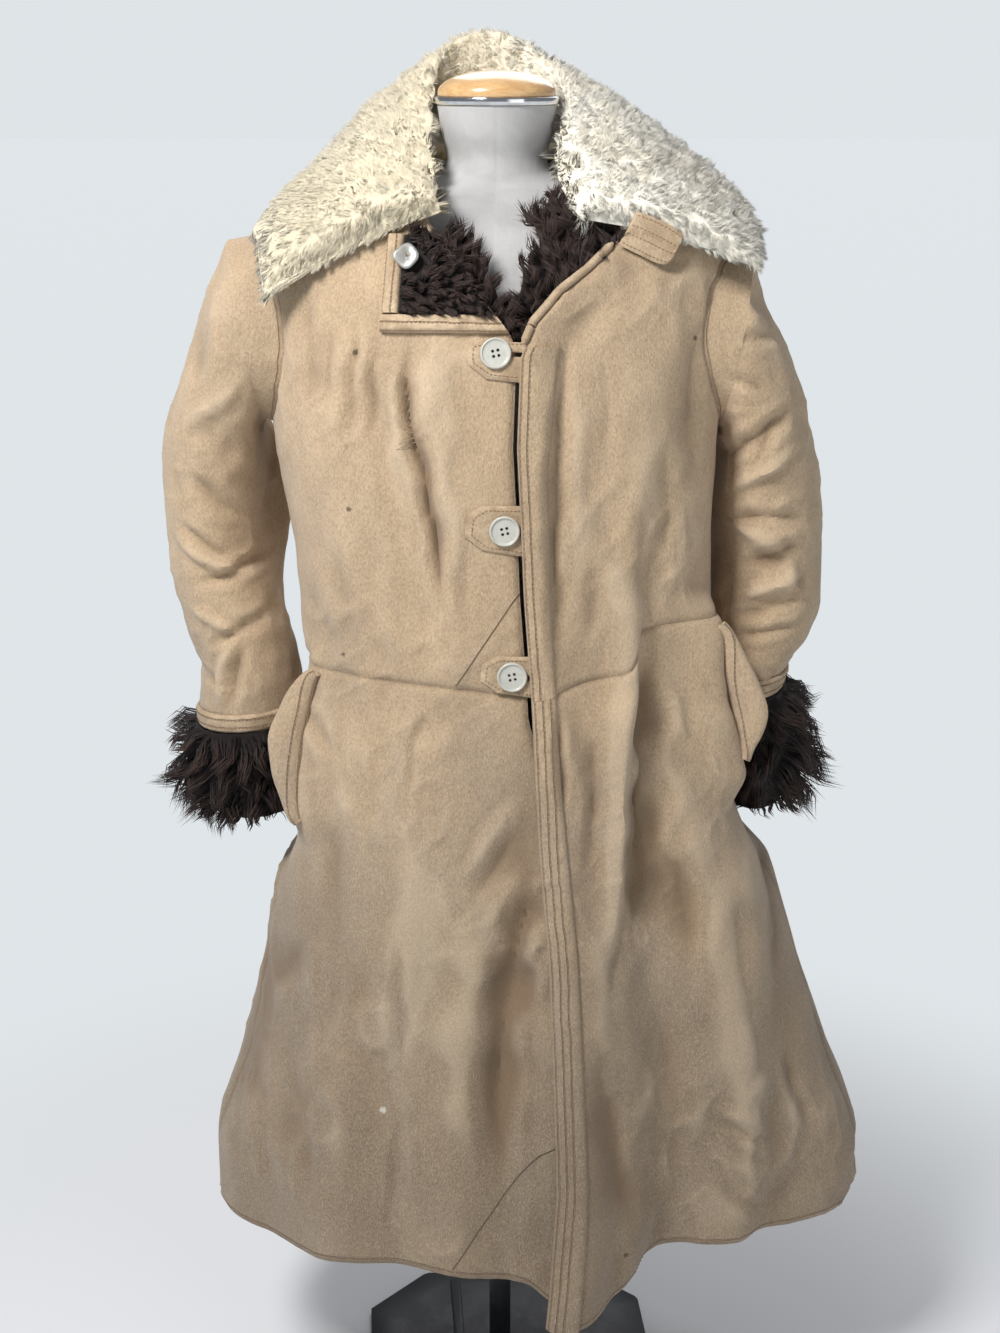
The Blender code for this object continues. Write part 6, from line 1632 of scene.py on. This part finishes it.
def add_collar():
    """Cream wool over the collar's section: soft lumps under a nap of fine strands in locks, brushed
    flat on the wearer's right and standing in tufts elsewhere."""
    stations = np.concatenate([[0, 0.02, 0.06, 0.11, 0.17], np.linspace(0.24, 13.76, 191),
                               [13.83, 13.89, 13.94, 13.98, 14]])
    key = collar_rings(stations)
    at = np.concatenate([np.linspace(a, b, n, endpoint=False)
                         for a, b, n in ((0, 3, 14), (3, 9, 44), (9, 11, 12), (11, 18, 12))])
    rings, across = (catmull(np.swapaxes(key, 0, 1), where, closed=True).swapaxes(0, 1)
                     for where in (at, (20 - at) % 18))
    ends = np.minimum(stations, 14 - stations)
    close = np.sqrt(np.clip(1 - (1 - np.clip(ends / 0.22, 0, 1)) ** 2, 0, 1))[:, None, None]
    rings = blend(0.5 * (rings + across), rings, 0.12 + 0.88 * close)
    normals = outward_normals(rings)
    front_face = 1 - smooth_step((ends - 0.16) / 0.12)[:, None]
    top = np.interp(at, (0, 0.8, 7.4, 9.4, 11, 12, 18), (0.4, 1, 1, 0.6, 0.3, 0.12, 0.12))
    top = np.maximum(top[None], 0.75 * front_face) * (0.72 + 0.28 * smooth_step(ends / 0.6))[:, None]
    warped = rings + 0.006 * np.stack([noise(rings, 0.019, k) for k in (41, 42, 43)], -1)
    brushed = smooth_step((-rings[..., 0] - 0.075) / 0.07) * smooth_step((at - 5.0) / 1.8)
    relief = (0.0080 * tufts(warped, 0.0210, 50) + 0.0014 * tufts(warped, 0.0095, 60)) * (1 - 0.75 * brushed)
    relief = (relief - 0.0085) * top
    outer = rings + normals * relief[..., None]
    # Lower in the hollows between the lumps: the cream wool paints them darker, as shade.
    shade = np.clip(0.45 + 40 * (relief + 0.0060), 0.10, 0.7)
    wool = add_loft("wool_collar", outer, CREAM, "cream_fur", shade=shade)
    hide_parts("collar")
    skin = grid_normals(outer, around=True)
    skin = unit(normals + skin * np.sign((skin * normals).sum(-1, keepdims=True)))
    facing = unit(rings * np.array([1.0, 1.0, 0.0]) + np.array([0.0, 0.0, 0.26]))
    turned_in = np.maximum(0.45 - (skin * facing).sum(-1, keepdims=True), 0.0)
    skin = unit(skin + 1.2 * facing * turned_in * smooth_step((at - 7.0) / 1.2)[None, :, None])
    front_end = smooth_step(1.0 - ends / 0.5)
    fall = unit(np.gradient(rings, axis=1)) * np.where(at < 10.0, 1.0, -1.0)[None, :, None]
    edge = smooth_step((at - 7.6) / 1.2)
    stand = 1.0 - smooth_step((at - 1.4) / 1.2)
    weight = np.interp(at, (0, 1, 7.6, 8.6, 10.6, 11.4, 12, 18), (0.9, 1, 1, 1.8, 1.8, 0.7, 0, 0))
    weight = np.maximum(weight[None], 1.5 * front_face) * (1 + 0.8 * front_end[:, None])
    sides = rings.mean(1, keepdims=True)[..., 0]
    for label, where in (("right", sides < 0.0), ("left", sides >= 0.0)):
        kinds = []
        for flat, count in ((True, 17000), (False, 18000 if label == "right" else 35000)):
            share = weight * where * (brushed if flat else 1 - brushed)
            if share.sum() < 1.0:
                continue
            roots, out, (r, q) = rooted(outer, skin, count, 77 + flat, share)
            cell = (r.astype(int), q.astype(int))
            low = np.maximum(edge[cell[1]], front_end[cell[0]])[:, None]
            ways = unit(out * (0.50 if flat else 1.0) + fall[cell] * blend(0.8 if flat else 0.35, 0.45, low)
                        + np.array([0, -0.45, -1.0]) * low)
            near = stand[cell[1]] * smooth_step(1.0 - ends[cell[0]] / 5.0)
            lengths = (0.0105 if flat else 0.0085) + 0.0030 * low[:, 0] + 0.0100 * near
            lock, gather, stray = (0.016, 0.18, 0.06) if flat else (0.017, 0.28, 0.15)
            kinds.append(hairs(roots - out * 0.001, out, ways, lengths, WOOL_HAIR, 78 + flat, lock, gather,
                               0.0, 1.0, 0.0, stray, segments=1, soft=0.6))
        points, faces, tone, shaded = merged(*kinds)
        # The strands' shade grows from root to tip: painted shade at the roots, over each hair's own random
        # tone.
        add_mesh(f"wool_collar_nap_{label}", points, faces, CREAM, "cream_fur", shade=0.35 + 0.65 * tone,
                 normals=shaded)


# ---------------------------------------------------------------- pieces on the fronts
def rounded(across, top, low):
    """The height of a strip across its width: full in the middle, rounded down at its edges."""
    return low + (top - low) * (1.0 - np.abs(2 * across - 1) ** 6 * 0.75)


def add_lapel_band(label, x, height, rows, across_axis):
    """A bound strip lying on the front's surface, with rounded long edges and sewn rows."""
    share = np.linspace(0, 1, x.shape[across_axis])
    share = share[None] if across_axis == 1 else share[:, None]
    outer = front(x, height, rounded(share, LAPEL_BAND_TOP, LAPEL_LIFT))
    inner = front(x, height, LAPEL_LIFT * np.ones_like(x))
    normals = unit(outer - inner)
    outer = outer + normals * (0.0004 * noise(outer, 0.007, 8))[..., None]
    uv = lengths_map(outer)
    material = binding(f"binding_lapel_{label}", rows, 1.08)
    thing = add_wall(f"band_lapel_{label}", outer, inner, material, "binding", uv=uv)
    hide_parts(f"lapel_band_{label}")
    sew_rows(rows, outer, normals, uv, BINDING_STITCH)


def lapel_left(height):
    """The lapel's outer edge, as x."""
    return blend(LAPEL_OUTER_BOTTOM, LAPEL_OUTER_TOP, (height - LAPEL_BOTTOM) / (LAPEL_TOP - LAPEL_BOTTOM))


def add_lapel():
    """The turned-back corner: two stitched bindings with dark wool between them."""
    foot = LAPEL_BOTTOM + LAPEL_BAND
    height = np.linspace(foot + SEAM, LAPEL_TOP, 40)[:, None]
    across = np.linspace(0, 1, 13)[None]
    add_lapel_band("front", lapel_left(height) + LAPEL_BAND * across, height + 0 * across,
                   ((0, 0.0035), (0, 0.0135)), 1)
    rise = np.linspace(0, 1, 13)[:, None]
    right = RIGHT_EDGE.run("x", LAPEL_BOTTOM) - 0.001 - 0.013 * rise
    height = LAPEL_BOTTOM + LAPEL_BAND * rise
    share = np.linspace(0, 1, 70)[None]
    add_lapel_band("neck", blend(lapel_left(height), right, share), height + 0 * share,
                   ((1, 0.0035), (1, 0.0125)), 0)
    height = np.linspace(foot + SEAM, LAPEL_TOP, 30)[:, None]
    share = np.linspace(0, 1, 30)[None]
    left = lapel_left(height) + LAPEL_BAND + SEAM
    x = blend(left, RIGHT_EDGE.run("x", height) - 0.003, share)
    base = front(x, height + 0 * x, 0.0065)
    under = front(x, height + 0 * x, LAPEL_LIFT)
    normals = unit(base - under)
    roots, out, (r, _) = rooted(base, normals, 2300, 91)
    kept = np.hypot(roots[:, 0] - DISC_X, roots[:, 2] - DISC_HEIGHT) > 1.05 * DISC_RADIUS
    roots, out, r = roots[kept], out[kept], r[kept]
    up = r / 29.0
    ways = unit(out * 0.75 + np.array([0.55, 0.0, 0.0]) + UP * blend(-0.35, 1.0, up)[:, None])
    lengths = 0.012 + 0.016 * up
    hair = hairs(roots, out, ways, lengths, FUR_HAIR, 92, lock=0.014, gather=0.60, curl=0.22, turns=0.9,
                 droop=0.25, stray=0.13, segments=2)
    points, faces, shade, normals = merged(skin_wall(base, under, normals), hair)
    thing = add_mesh("fur_lapel", points, faces, DARK, "dark_fur", shade=shade, normals=normals)
    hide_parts("lapel_fur")


def add_backing_disc():
    """A flat four-lobed disc with a dimpled middle: radius times one plus a cosine of four turns."""
    place = front(np.array(DISC_X), np.array(DISC_HEIGHT), LAPEL_FUR_TOP + 0.0005)
    normal = unit(front(np.array(DISC_X), np.array(DISC_HEIGHT), 0.02) - place)
    first, second = frames(normal[None])
    profile = Table("place radius height", (0, 0.93, 0.0), (1, 1.0, 0.0007), (2, 0.97, 0.0016),
                    (3, 0.80, 0.0021), (4, 0.45, 0.0017), (5, 0.16, 0.0009))
    at = np.linspace(0, 5, 21)[:, None]
    lobed = DISC_SHARE * DISC_RADIUS
    turn = np.linspace(0, math.tau, 96, endpoint=False)[None]
    radius = lobed * profile.curve("radius", at) * (1 + 0.07 * np.cos(4 * turn) + 0.035 * np.cos(3 * turn))
    rings = (place + radius[..., None] * (np.cos(turn)[..., None] * first + np.sin(turn)[..., None] * second)
             + (profile.curve("height", at) + 0.0004 * np.cos(2 * turn + 0.6))[..., None] * normal)
    thing = add_loft("disc_backing", rings, ivory("ivory_disc", 0.50), "ivory")
    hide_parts("backing_disc")
    across = np.linspace(-1, 1, 2)[:, None]
    for way in (first, second):
        sew(place + normal * 0.0018 + across * way * 0.0030, np.repeat(normal[None], 2, 0), pitch=0.0045,
            length=0.0040)


def add_neck_fur():
    """Shaggy wool inside the neck opening, rooted under the fronts' free edges."""
    for label, table, reaches, side, count in (("right", RIGHT_EDGE, NECK_FUR_RIGHT, 1, 1100),
                                               ("left", LEFT_EDGE, NECK_FUR_LEFT, -1, 3600)):
        height = np.linspace(reaches.keys[0], reaches.keys[-1], 40)[:, None]
        x = table.run("x", height)
        slope = (table.run("x", height + 0.006) - table.run("x", height - 0.006)) / 0.012
        run = np.sqrt(1 + slope ** 2)
        across = np.linspace(0, 1, 26)[None]
        reach = blend(-0.010, reaches.curve("reach", height), across)
        px, pz = x + side * reach / run, height - side * reach * slope / run
        base = coat(angle_at_x(px, pz), pz, -0.0125, relief=False)
        under = coat(angle_at_x(px, pz), pz, -0.0205, relief=False)
        normals = unit(base - under)
        roots, out, (r, q) = rooted(base, normals, count, 95 + side)
        inward = unit(np.gradient(base, axis=1))[r.astype(int), q.astype(int)]
        up = r / 39.0
        share = (q / 25.0)[:, None]
        ways = unit(out * 0.7 + inward * blend(0.9, 0.5, share) + UP * 0.45)
        lengths = 0.020 + 0.014 * up * (side < 0) + 0.008 * (side > 0)
        hair = hairs(roots, out, ways, lengths, FUR_HAIR, 97 + side, lock=0.015, gather=0.60, curl=0.24,
                     turns=0.9, droop=0.10, stray=0.13, segments=2)
        points, faces, shade, normals = merged(skin_wall(base, under, normals), hair)
        thing = add_mesh(f"fur_neck_{label}", points, faces, DARK, "dark_fur", shade=shade, normals=normals)
        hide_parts(f"neck_fur_{label}")


def tube(path, radius, around=10):
    """A tube round a line of points: circles square to the line."""
    ahead = unit(np.gradient(path, axis=0))
    first, second = frames(ahead)
    turn = np.linspace(0, math.tau, around, endpoint=False)
    circle = np.cos(turn)[None, :, None] * first[:, None] + np.sin(turn)[None, :, None] * second[:, None]
    return path[:, None] + circle * np.reshape(radius, (-1, 1, 1))


def add_piping():
    """The rolled edge along the left front's neckline."""
    height = np.linspace(1.232, 1.324, 70)
    x = LEFT_EDGE.run("x", height)
    slope = (LEFT_EDGE.run("x", height + 0.008) - LEFT_EDGE.run("x", height - 0.008)) / 0.016
    run = np.sqrt(1 + slope ** 2)
    away = 0.7 * PIPING_RADIUS
    lift = LEFT_PROUD.curve("lift", height)
    centre = front(x - away / run, height + away * slope / run, lift)
    ends = np.clip(np.minimum(np.arange(70), 69 - np.arange(70)) / 3.0, 0.2, 1.0)
    rings = tube(centre, PIPING_RADIUS * np.sqrt(ends), 14)
    thing = add_loft("piping_neckline", rings, binding("binding_piping"), "binding",
                     uv=lengths_map(rings))
    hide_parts("neckline_piping")


def add_plackets():
    """The strip along the left front's closing edge, wider towards the neck, sewn in rows."""
    for name, node, row, height_of, shares, rows in (
            ("placket_bodice_strip", "placket_bodice", fine_rows([15] * 4 + [5] * 4), bodice_height,
             ((0.0, 0.97), (0.45, 0.97), (0.7, 1.35), (1.0, 2.0)), (0.0026, 0.0098)),
            ("placket_skirt_strip", "placket_skirt", SKIRT_FINE, skirt_height,
             ((0.0, 0.66), (1.0, 0.97)), (0.0040, 0.0120, 0.0200))):
        row = row[:, None]
        across = np.linspace(0, 1, 16)[None]
        share = across * np.interp(row / row.max(), *zip(*shares)) / FRONT_CELLS
        angle, height = settle(row, share, front_edges(1), height_of)
        lift = left_proud(angle, height) + PLACKET_LIFT
        inner = coat(angle, height, lift - 0.0006)
        crown = 1 - 0.8 * np.abs(2 * across - 1) ** 6
        pulled = 0.0007 * noise(folded(angle, height), 0.012, 19)
        outer = coat(angle, height, lift + 1.3 * PLACKET_THICKNESS * crown + pulled * crown)
        normals = unit(outer - inner)
        uv = lengths_map(outer)
        lines = [(0, away) for away in rows]
        hide = suede(f"suede_{node}", lines, 0.96)
        # Painted shade along the strip's rounded edges; the shade attribute also follows its small pulls.
        thing = add_wall(name, outer, inner, hide, "suede", uv=uv, shade=-0.007 * (1 - crown) + pulled)
        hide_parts(node)
        sew_rows(lines, outer, normals, uv)


def add_welts():
    """Pocket welts: a bowed strip from its sewn line to its free edge, thick and rounded."""
    for side, label in SIDES:
        table = WELTS[side]
        height = np.linspace(table.keys[0], table.keys[-1], 60)[:, None]
        across = np.linspace(0, 1, 15)[None]
        sewn = coat(table.curve("angle", height), height, table.curve("lift", height), relief=False)
        free = np.stack([table.curve("free_x", height), table.curve("free_y", height), height], -1)
        ends = np.minimum((height - table.keys[0]) / 0.045, (table.keys[-1] - height) / 0.025)
        free = blend(sewn, free, 0.30 + 0.70 * np.sqrt(1 - (1 - np.clip(ends, 0, 1)) ** 2)[..., None])
        base = blend(sewn, free, across[..., None])
        base[..., 1] -= WELT_CROWN * 4 * across * (1 - across)
        normals = forward_normals(base)
        thick = WELT_THICKNESS * (1 - 0.7 * np.abs(2 * across - 1) ** 6) + 0 * height
        outer = base + normals * (thick + 0.0006 * noise(base, 0.020, 6))[..., None]
        uv = lengths_map(outer)
        rows = ((0, 0.0040), (0, 0.0150))
        hide = suede(f"suede_welt_{label}", rows, 1.08)
        thing = add_wall(f"welt_{label}_strip", outer, base, hide, "suede", uv=uv)
        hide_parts(f"welt_{label}")
        sew_rows(rows, outer, normals, uv)


# ---------------------------------------------------------------- tabs and buttons
def loop_points(corners, count):
    """Points spread evenly along a closed outline."""
    closed = np.concatenate([corners, corners[:1]])
    run = np.concatenate([[0], np.linalg.norm(np.diff(closed, axis=0), axis=1).cumsum()])
    at = np.linspace(0, run[-1], count, endpoint=False)
    return np.stack([np.interp(at, run, closed[:, k]) for k in range(2)], -1)


def add_tabs():
    """Pointed loops of doubled suede: rings from the outline in to the slot, rounded at the rim."""
    for index, (cx, cz, tilt, tip, rise, drop) in enumerate(FASTENINGS, start=1):
        end = float(LEFT_EDGE.run("x", cz)) - cx + TAB_UNDER
        outline = np.array([(end, -drop), (tip + 0.018, -drop * 0.9), (tip, -drop * 0.42),
                            (tip, rise * 0.40), (tip + 0.014, rise * 0.85), (end, rise)])
        slot = np.array([(end - 0.007, -SLIT_HALF), (-0.003, -SLIT_HALF), (-0.003, 0.0), (-0.003, SLIT_HALF),
                         (end - 0.007, SLIT_HALF)])
        count = 96
        rim, hole = loop_points(outline, count), loop_points(slot, count)
        rim = rim[np.argsort(np.degrees(np.arctan2(rim[:, 1], rim[:, 0] - end * 0.4)))]
        hole = hole[np.argsort(np.degrees(np.arctan2(hole[:, 1] * 4, hole[:, 0] - end * 0.4)))]
        t = np.linspace(0, 1, 11)[:, None, None]
        flat = blend(rim[None], hole[None], t)
        a = math.radians(tilt)
        x = cx + flat[..., 0] * math.cos(a) - flat[..., 1] * math.sin(a)
        z = cz + flat[..., 0] * math.sin(a) + flat[..., 1] * math.cos(a)
        crown = TAB_THICKNESS * (1 - 0.7 * np.abs(2 * t[..., 0] - 1) ** 8)
        outer = front(x, z, TAB_LIFT + crown + 0.0004)
        inner = front(x, z, TAB_LIFT * 0.4 + 0 * x)
        normals = unit(outer - inner)
        thing = add_wall(f"tab_{index}_loop", outer, inner, TAB, "binding", around=True)
        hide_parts(f"tab_{index}")
        line, up = (np.concatenate([grid[2], grid[2][:1]]) for grid in (outer, normals))
        sew(line + 0.0002 * up, up, pitch=TAB_STITCH)
        add_button(index, cx, cz)


def add_button(index, x, height):
    """A turned button: a rimmed profile spun round, with four holes cut through and a short thread in each.
    """
    seat = TAB_LIFT + TAB_THICKNESS + 0.0006
    place = front(np.array(x), np.array(height), seat)
    normal = unit(place - front(np.array(x), np.array(height)))
    first, second = (v[0] for v in frames(normal[None]))
    rows = [(k, across / 1000, high / 1000) for k, (across, high) in enumerate(BUTTON_PROFILE)]
    profile = Table("place radius height", *rows)
    at = np.concatenate([np.linspace(0.4, 9, 44), np.linspace(9.25, 10.7, 8)])
    turn = np.linspace(0, math.tau, 64, endpoint=False)
    radius, rise = profile.curve("radius", at), profile.curve("height", at)
    rings = (place + radius[:, None, None] * (np.cos(turn)[None, :, None] * first
                                              + np.sin(turn)[None, :, None] * second)
             + rise[:, None, None] * normal)
    thing = add_loft(f"button_{index}_disc", rings, IVORY, "ivory")
    holes = bmesh.new()
    basis = np.eye(4)
    basis[:3, 0], basis[:3, 1], basis[:3, 2] = first, second, normal
    for k in range(4):
        away = math.tau * (k + 0.5) / 4 + 0.2
        aside = HOLE_AWAY * (math.cos(away) * first + math.sin(away) * second)
        basis[:3, 3] = place + aside
        bmesh.ops.create_cone(holes, cap_ends=True, segments=16, radius1=HOLE_RADIUS, radius2=HOLE_RADIUS,
                              depth=0.02, matrix=Matrix(basis.tolist()))
        shank = place - normal * 0.001 + aside
        line = shank + np.linspace(0, 1, 2)[:, None] * normal * 0.0030
        BUTTON_THREADS.append(stitch_mesh(line, np.repeat(first[None], 2, 0), 0.0030, 0.0046, 0.0010, 0.0))
    mesh = bpy.data.meshes.new("holes")
    holes.to_mesh(mesh)
    holes.free()
    cutter = bpy.data.objects.new("holes", mesh)
    bpy.context.scene.collection.objects.link(cutter)
    cut = thing.modifiers.new("holes", "BOOLEAN")
    cut.object = cutter
    whole = bpy.context.evaluated_depsgraph_get()
    whole.update()
    carved = bpy.data.meshes.new_from_object(thing.evaluated_get(whole))
    thing.modifiers.clear()
    thing.data = carved
    carved.shade_smooth()
    carved.set_sharp_from_angle(angle=math.radians(45.0))
    bpy.data.objects.remove(cutter)
    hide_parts(f"button_{index}")


def add_collar_tab():
    """The loose buttonhole tab over the collar's left end, with its slit sewn round."""
    rows = catmull(COLLAR_TAB, np.linspace(0, 3, 48))
    across = np.linspace(0, 1, 22)[None, :, None]
    base = blend(rows[:, :1], rows[:, 1:], across)
    tip = smooth_step((np.arange(48) - 40) / 7.0)[:, None, None]
    middle = base.mean(1, keepdims=True)
    base = blend(base, middle, 0.25 * tip * np.abs(2 * across - 1))
    normals = forward_normals(base)
    share = np.linspace(0, 1, 22)[None]
    along = np.linspace(0, 1, 48)[:, None]
    slit = np.exp(-((share - 0.5) / 0.045) ** 2)
    slit = slit * smooth_step((along - 0.22) / 0.05) * smooth_step((0.86 - along) / 0.05)
    crown = (1 - 0.7 * np.abs(2 * share - 1) ** 8) * (1 - 0.7 * np.abs(2 * along - 1) ** 16) - 0.85 * slit
    outer = base + normals * (TAB_THICKNESS * crown + 0.0004)[..., None]
    thing = add_wall("tab_collar_loop", outer, base, TAB, "binding", uv=lengths_map(outer), shade=-slit)
    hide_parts("tab_collar")
    for k in (2, 8, 13, 19):
        sew(outer[2:-3, k] + normals[2:-3, k] * 0.0002, normals[2:-3, k], pitch=TAB_STITCH)


# ---------------------------------------------------------------- dress form
def turned(profile, around, centre=NECK_CENTRE):
    """Rings of a profile, as radius and height, spun round an upright axis."""
    turn = np.linspace(0, math.tau, around, endpoint=False)[None]
    radius, height = (np.array(column)[:, None] for column in zip(*profile))
    return np.stack(np.broadcast_arrays(centre + radius * np.cos(turn), radius * np.sin(turn), height), -1)


def add_form():
    """The linen torso with its neck, the chromed ring and the domed wooden cap."""
    height = np.concatenate([np.linspace(FORM_FOOT, 1.325, 20), np.linspace(1.330, 1.4505, 48)])[:, None]
    turn = np.linspace(0, 360, 96, endpoint=False)[None]
    rings, _ = section(FORM, turn, height + 0 * turn)
    seam = np.exp(-((rings[..., 2] - FORM_SEAM - 0.006 * np.cos(np.radians(turn))) / 0.0012) ** 2)
    rings = rings - unit(rings * np.array([1, 1, 0])) * 0.0006 * seam[..., None]
    uv = lengths_map(rings)
    thing = add_loft("form_torso_cover", rings, LINEN, "linen", uv=uv)
    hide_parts("form_torso")
    low, high = RING_BOTTOM, RING_TOP
    ease = ((0.0012, 0.0), (0.0004, 0.0003), (0.0, 0.0010))
    ring = [(RING_RADIUS - inset, low + rise) for inset, rise in ease]
    ring += [(RING_RADIUS - inset, high - rise) for inset, rise in ease[::-1]]
    thing = add_loft("form_ring_turned", turned(ring, 96), CHROME, "chrome")
    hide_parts("form_ring")
    low = RING_TOP + SEAM
    rise = CAP_TOP - low
    cap = [(CAP_RADIUS - 0.0008, low), (CAP_RADIUS, low + 0.0008), (CAP_RADIUS, low + 0.15 * rise)]
    cap += [(CAP_RADIUS * math.cos(a), low + rise * (0.15 + 0.85 * math.sin(a)))
            for a in np.radians(np.arange(5, 90, 5))]
    thing = add_loft("form_cap_turned", turned(cap, 96), WOOD, "wood")
    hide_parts("form_cap")


def add_stand():
    """The octagonal plate with eased edges, its bar and the pole."""
    c, s = math.cos(PLATE_TURN), math.sin(PLATE_TURN)

    def placed(points):
        x, y, z = points[..., 0], points[..., 1], points[..., 2]
        return np.stack([PLATE_X + x * c - y * s, x * s + y * c, z], -1)

    half, inner = PLATE_HALF, PLATE_HALF - PLATE_CHAMFER
    corners = np.array([(half, -inner), (half, inner), (inner, half), (-inner, half),
                        (-half, inner), (-half, -inner), (-inner, -half), (inner, -half)])
    rim = loop_points(corners, 160)
    steps = ((-0.0010, 0.0), (0.0, 0.0010), (0.0, PLATE_THICKNESS - 0.0016),
             (-0.0005, PLATE_THICKNESS - 0.0005), (-0.0016, PLATE_THICKNESS), (-0.030, PLATE_THICKNESS),
             (-0.090, PLATE_THICKNESS))
    rings = np.stack([np.concatenate([rim * (1 + inset / half), np.full((len(rim), 1), z)], 1)
                      for inset, z in steps])
    plate = add_loft("base_plate_eased", placed(rings), STEEL, "black_steel")
    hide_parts("base_plate")
    low = PLATE_THICKNESS + SEAM
    w, l = BAR_WIDTH / 2, BAR_LENGTH / 2
    rim = loop_points(np.array([(w, -l), (w, l), (-w, l), (-w, -l)]), 120)
    steps = ((0.0, 0.0), (0.0, BAR_HEIGHT - 0.0012), (-0.0004, BAR_HEIGHT - 0.0004), (-0.0012, BAR_HEIGHT))
    rings = []
    for inset, z in steps:
        grown = rim * np.array([1 + inset / w, 1 + inset / l])
        rings.append(np.concatenate([grown + (BAR_X, 0.0), np.full((len(rim), 1), low + z)], 1))
    bar = add_loft("base_bar_eased", placed(np.array(rings)), STEEL, "black_steel")
    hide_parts("base_bar")
    profile = [(POLE_RADIUS, height) for height in (low, low + 0.05, 0.40, FORM_FOOT - SEAM)]
    pole = add_loft("form_pole_tube", turned(profile, 48, 0.0), STEEL, "black_steel")
    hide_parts("form_pole")


def add_thread():
    """One mesh of all the stitches, and one of the buttons' threads."""
    for name, rows, material, slot in (("stitches", STITCHES, thread(), "binding"),
                                       ("button_threads", BUTTON_THREADS, PILE, "dark_fur")):
        points, faces, shade, _ = merged(*rows)
        add_mesh(name, points, faces, material, slot, shade=shade, smooth=False)


# ---------------------------------------------------------------- stage
def add_stage():
    """A plain pale floor, three soft lamps and the camera."""
    look = Look("floor", 0.9, Specular_IOR_Level=0.2)
    far = look.node("ShaderNodeVectorMath", {0: look.object_place()}, output=1, operation="LENGTH")
    glow = far.ramp(*FLOOR_FADE)
    look.set(Base_Color=look.mix(glow, FLOOR_COLOUR, (0.0, 0.0, 0.0)),
             Emission_Color=look.mix(glow, (0.0, 0.0, 0.0), BACKDROP), Emission_Strength=1.0)
    bpy.ops.mesh.primitive_plane_add(size=80.0, location=(0, 0, 0))
    floor = bpy.context.object
    floor.name = "floor"
    floor.data.materials.append(look.material)
    world = bpy.data.worlds.new("studio")
    bpy.context.scene.world = world
    world.use_nodes = True
    tree = world.node_tree
    seen, path = tree.nodes["Background"], tree.nodes.new("ShaderNodeLightPath")
    seen.inputs["Color"].default_value = (*BACKDROP, 1.0)
    lit, both = tree.nodes.new("ShaderNodeBackground"), tree.nodes.new("ShaderNodeMixShader")
    lit.inputs["Color"].default_value = (*SKY_LIGHT, 1.0)
    tree.links.new(path.outputs["Is Camera Ray"], both.inputs[0])
    tree.links.new(lit.outputs[0], both.inputs[1])
    tree.links.new(seen.outputs[0], both.inputs[2])
    tree.links.new(both.outputs[0], tree.nodes["World Output"].inputs["Surface"])
    bpy.context.scene.view_settings.view_transform = "Standard"
    for name, place, size, power in LAMPS:
        lamp = bpy.data.lights.new(name, "AREA")
        lamp.energy, lamp.size = power, size
        thing = bpy.data.objects.new(name, lamp)
        bpy.context.scene.collection.objects.link(thing)
        thing.location = place
        thing.rotation_euler = (Vector((0, 0, 0.9)) - Vector(place)).to_track_quat("-Z", "Y").to_euler()
    camera = bpy.data.cameras.new("camera")
    camera.sensor_fit, camera.sensor_width = "AUTO", 36.0
    camera.lens = FOCAL_PIXELS * camera.sensor_width / FRAME_HEIGHT
    thing = bpy.data.objects.new("camera", camera)
    bpy.context.scene.collection.objects.link(thing)
    thing.location = CAMERA_PLACE
    thing.rotation_euler = (math.pi / 2 - CAMERA_PITCH, 0.0, 0.0)
    bpy.context.scene.camera = thing


PILE, DARK, CREAM = pile(), dark_wool(), cream_wool()
IVORY, LINEN, CHROME, WOOD, STEEL = ivory("ivory", 1.0), linen(), chrome(), beech(), black_steel()
TAB = binding("binding_tab")

add_stage()
add_panels()
add_sleeves()
add_cuffs()
add_collar()
add_lapel()
add_backing_disc()
add_neck_fur()
add_piping()
add_plackets()
add_welts()
add_tabs()
add_collar_tab()
add_form()
add_stand()
add_thread()
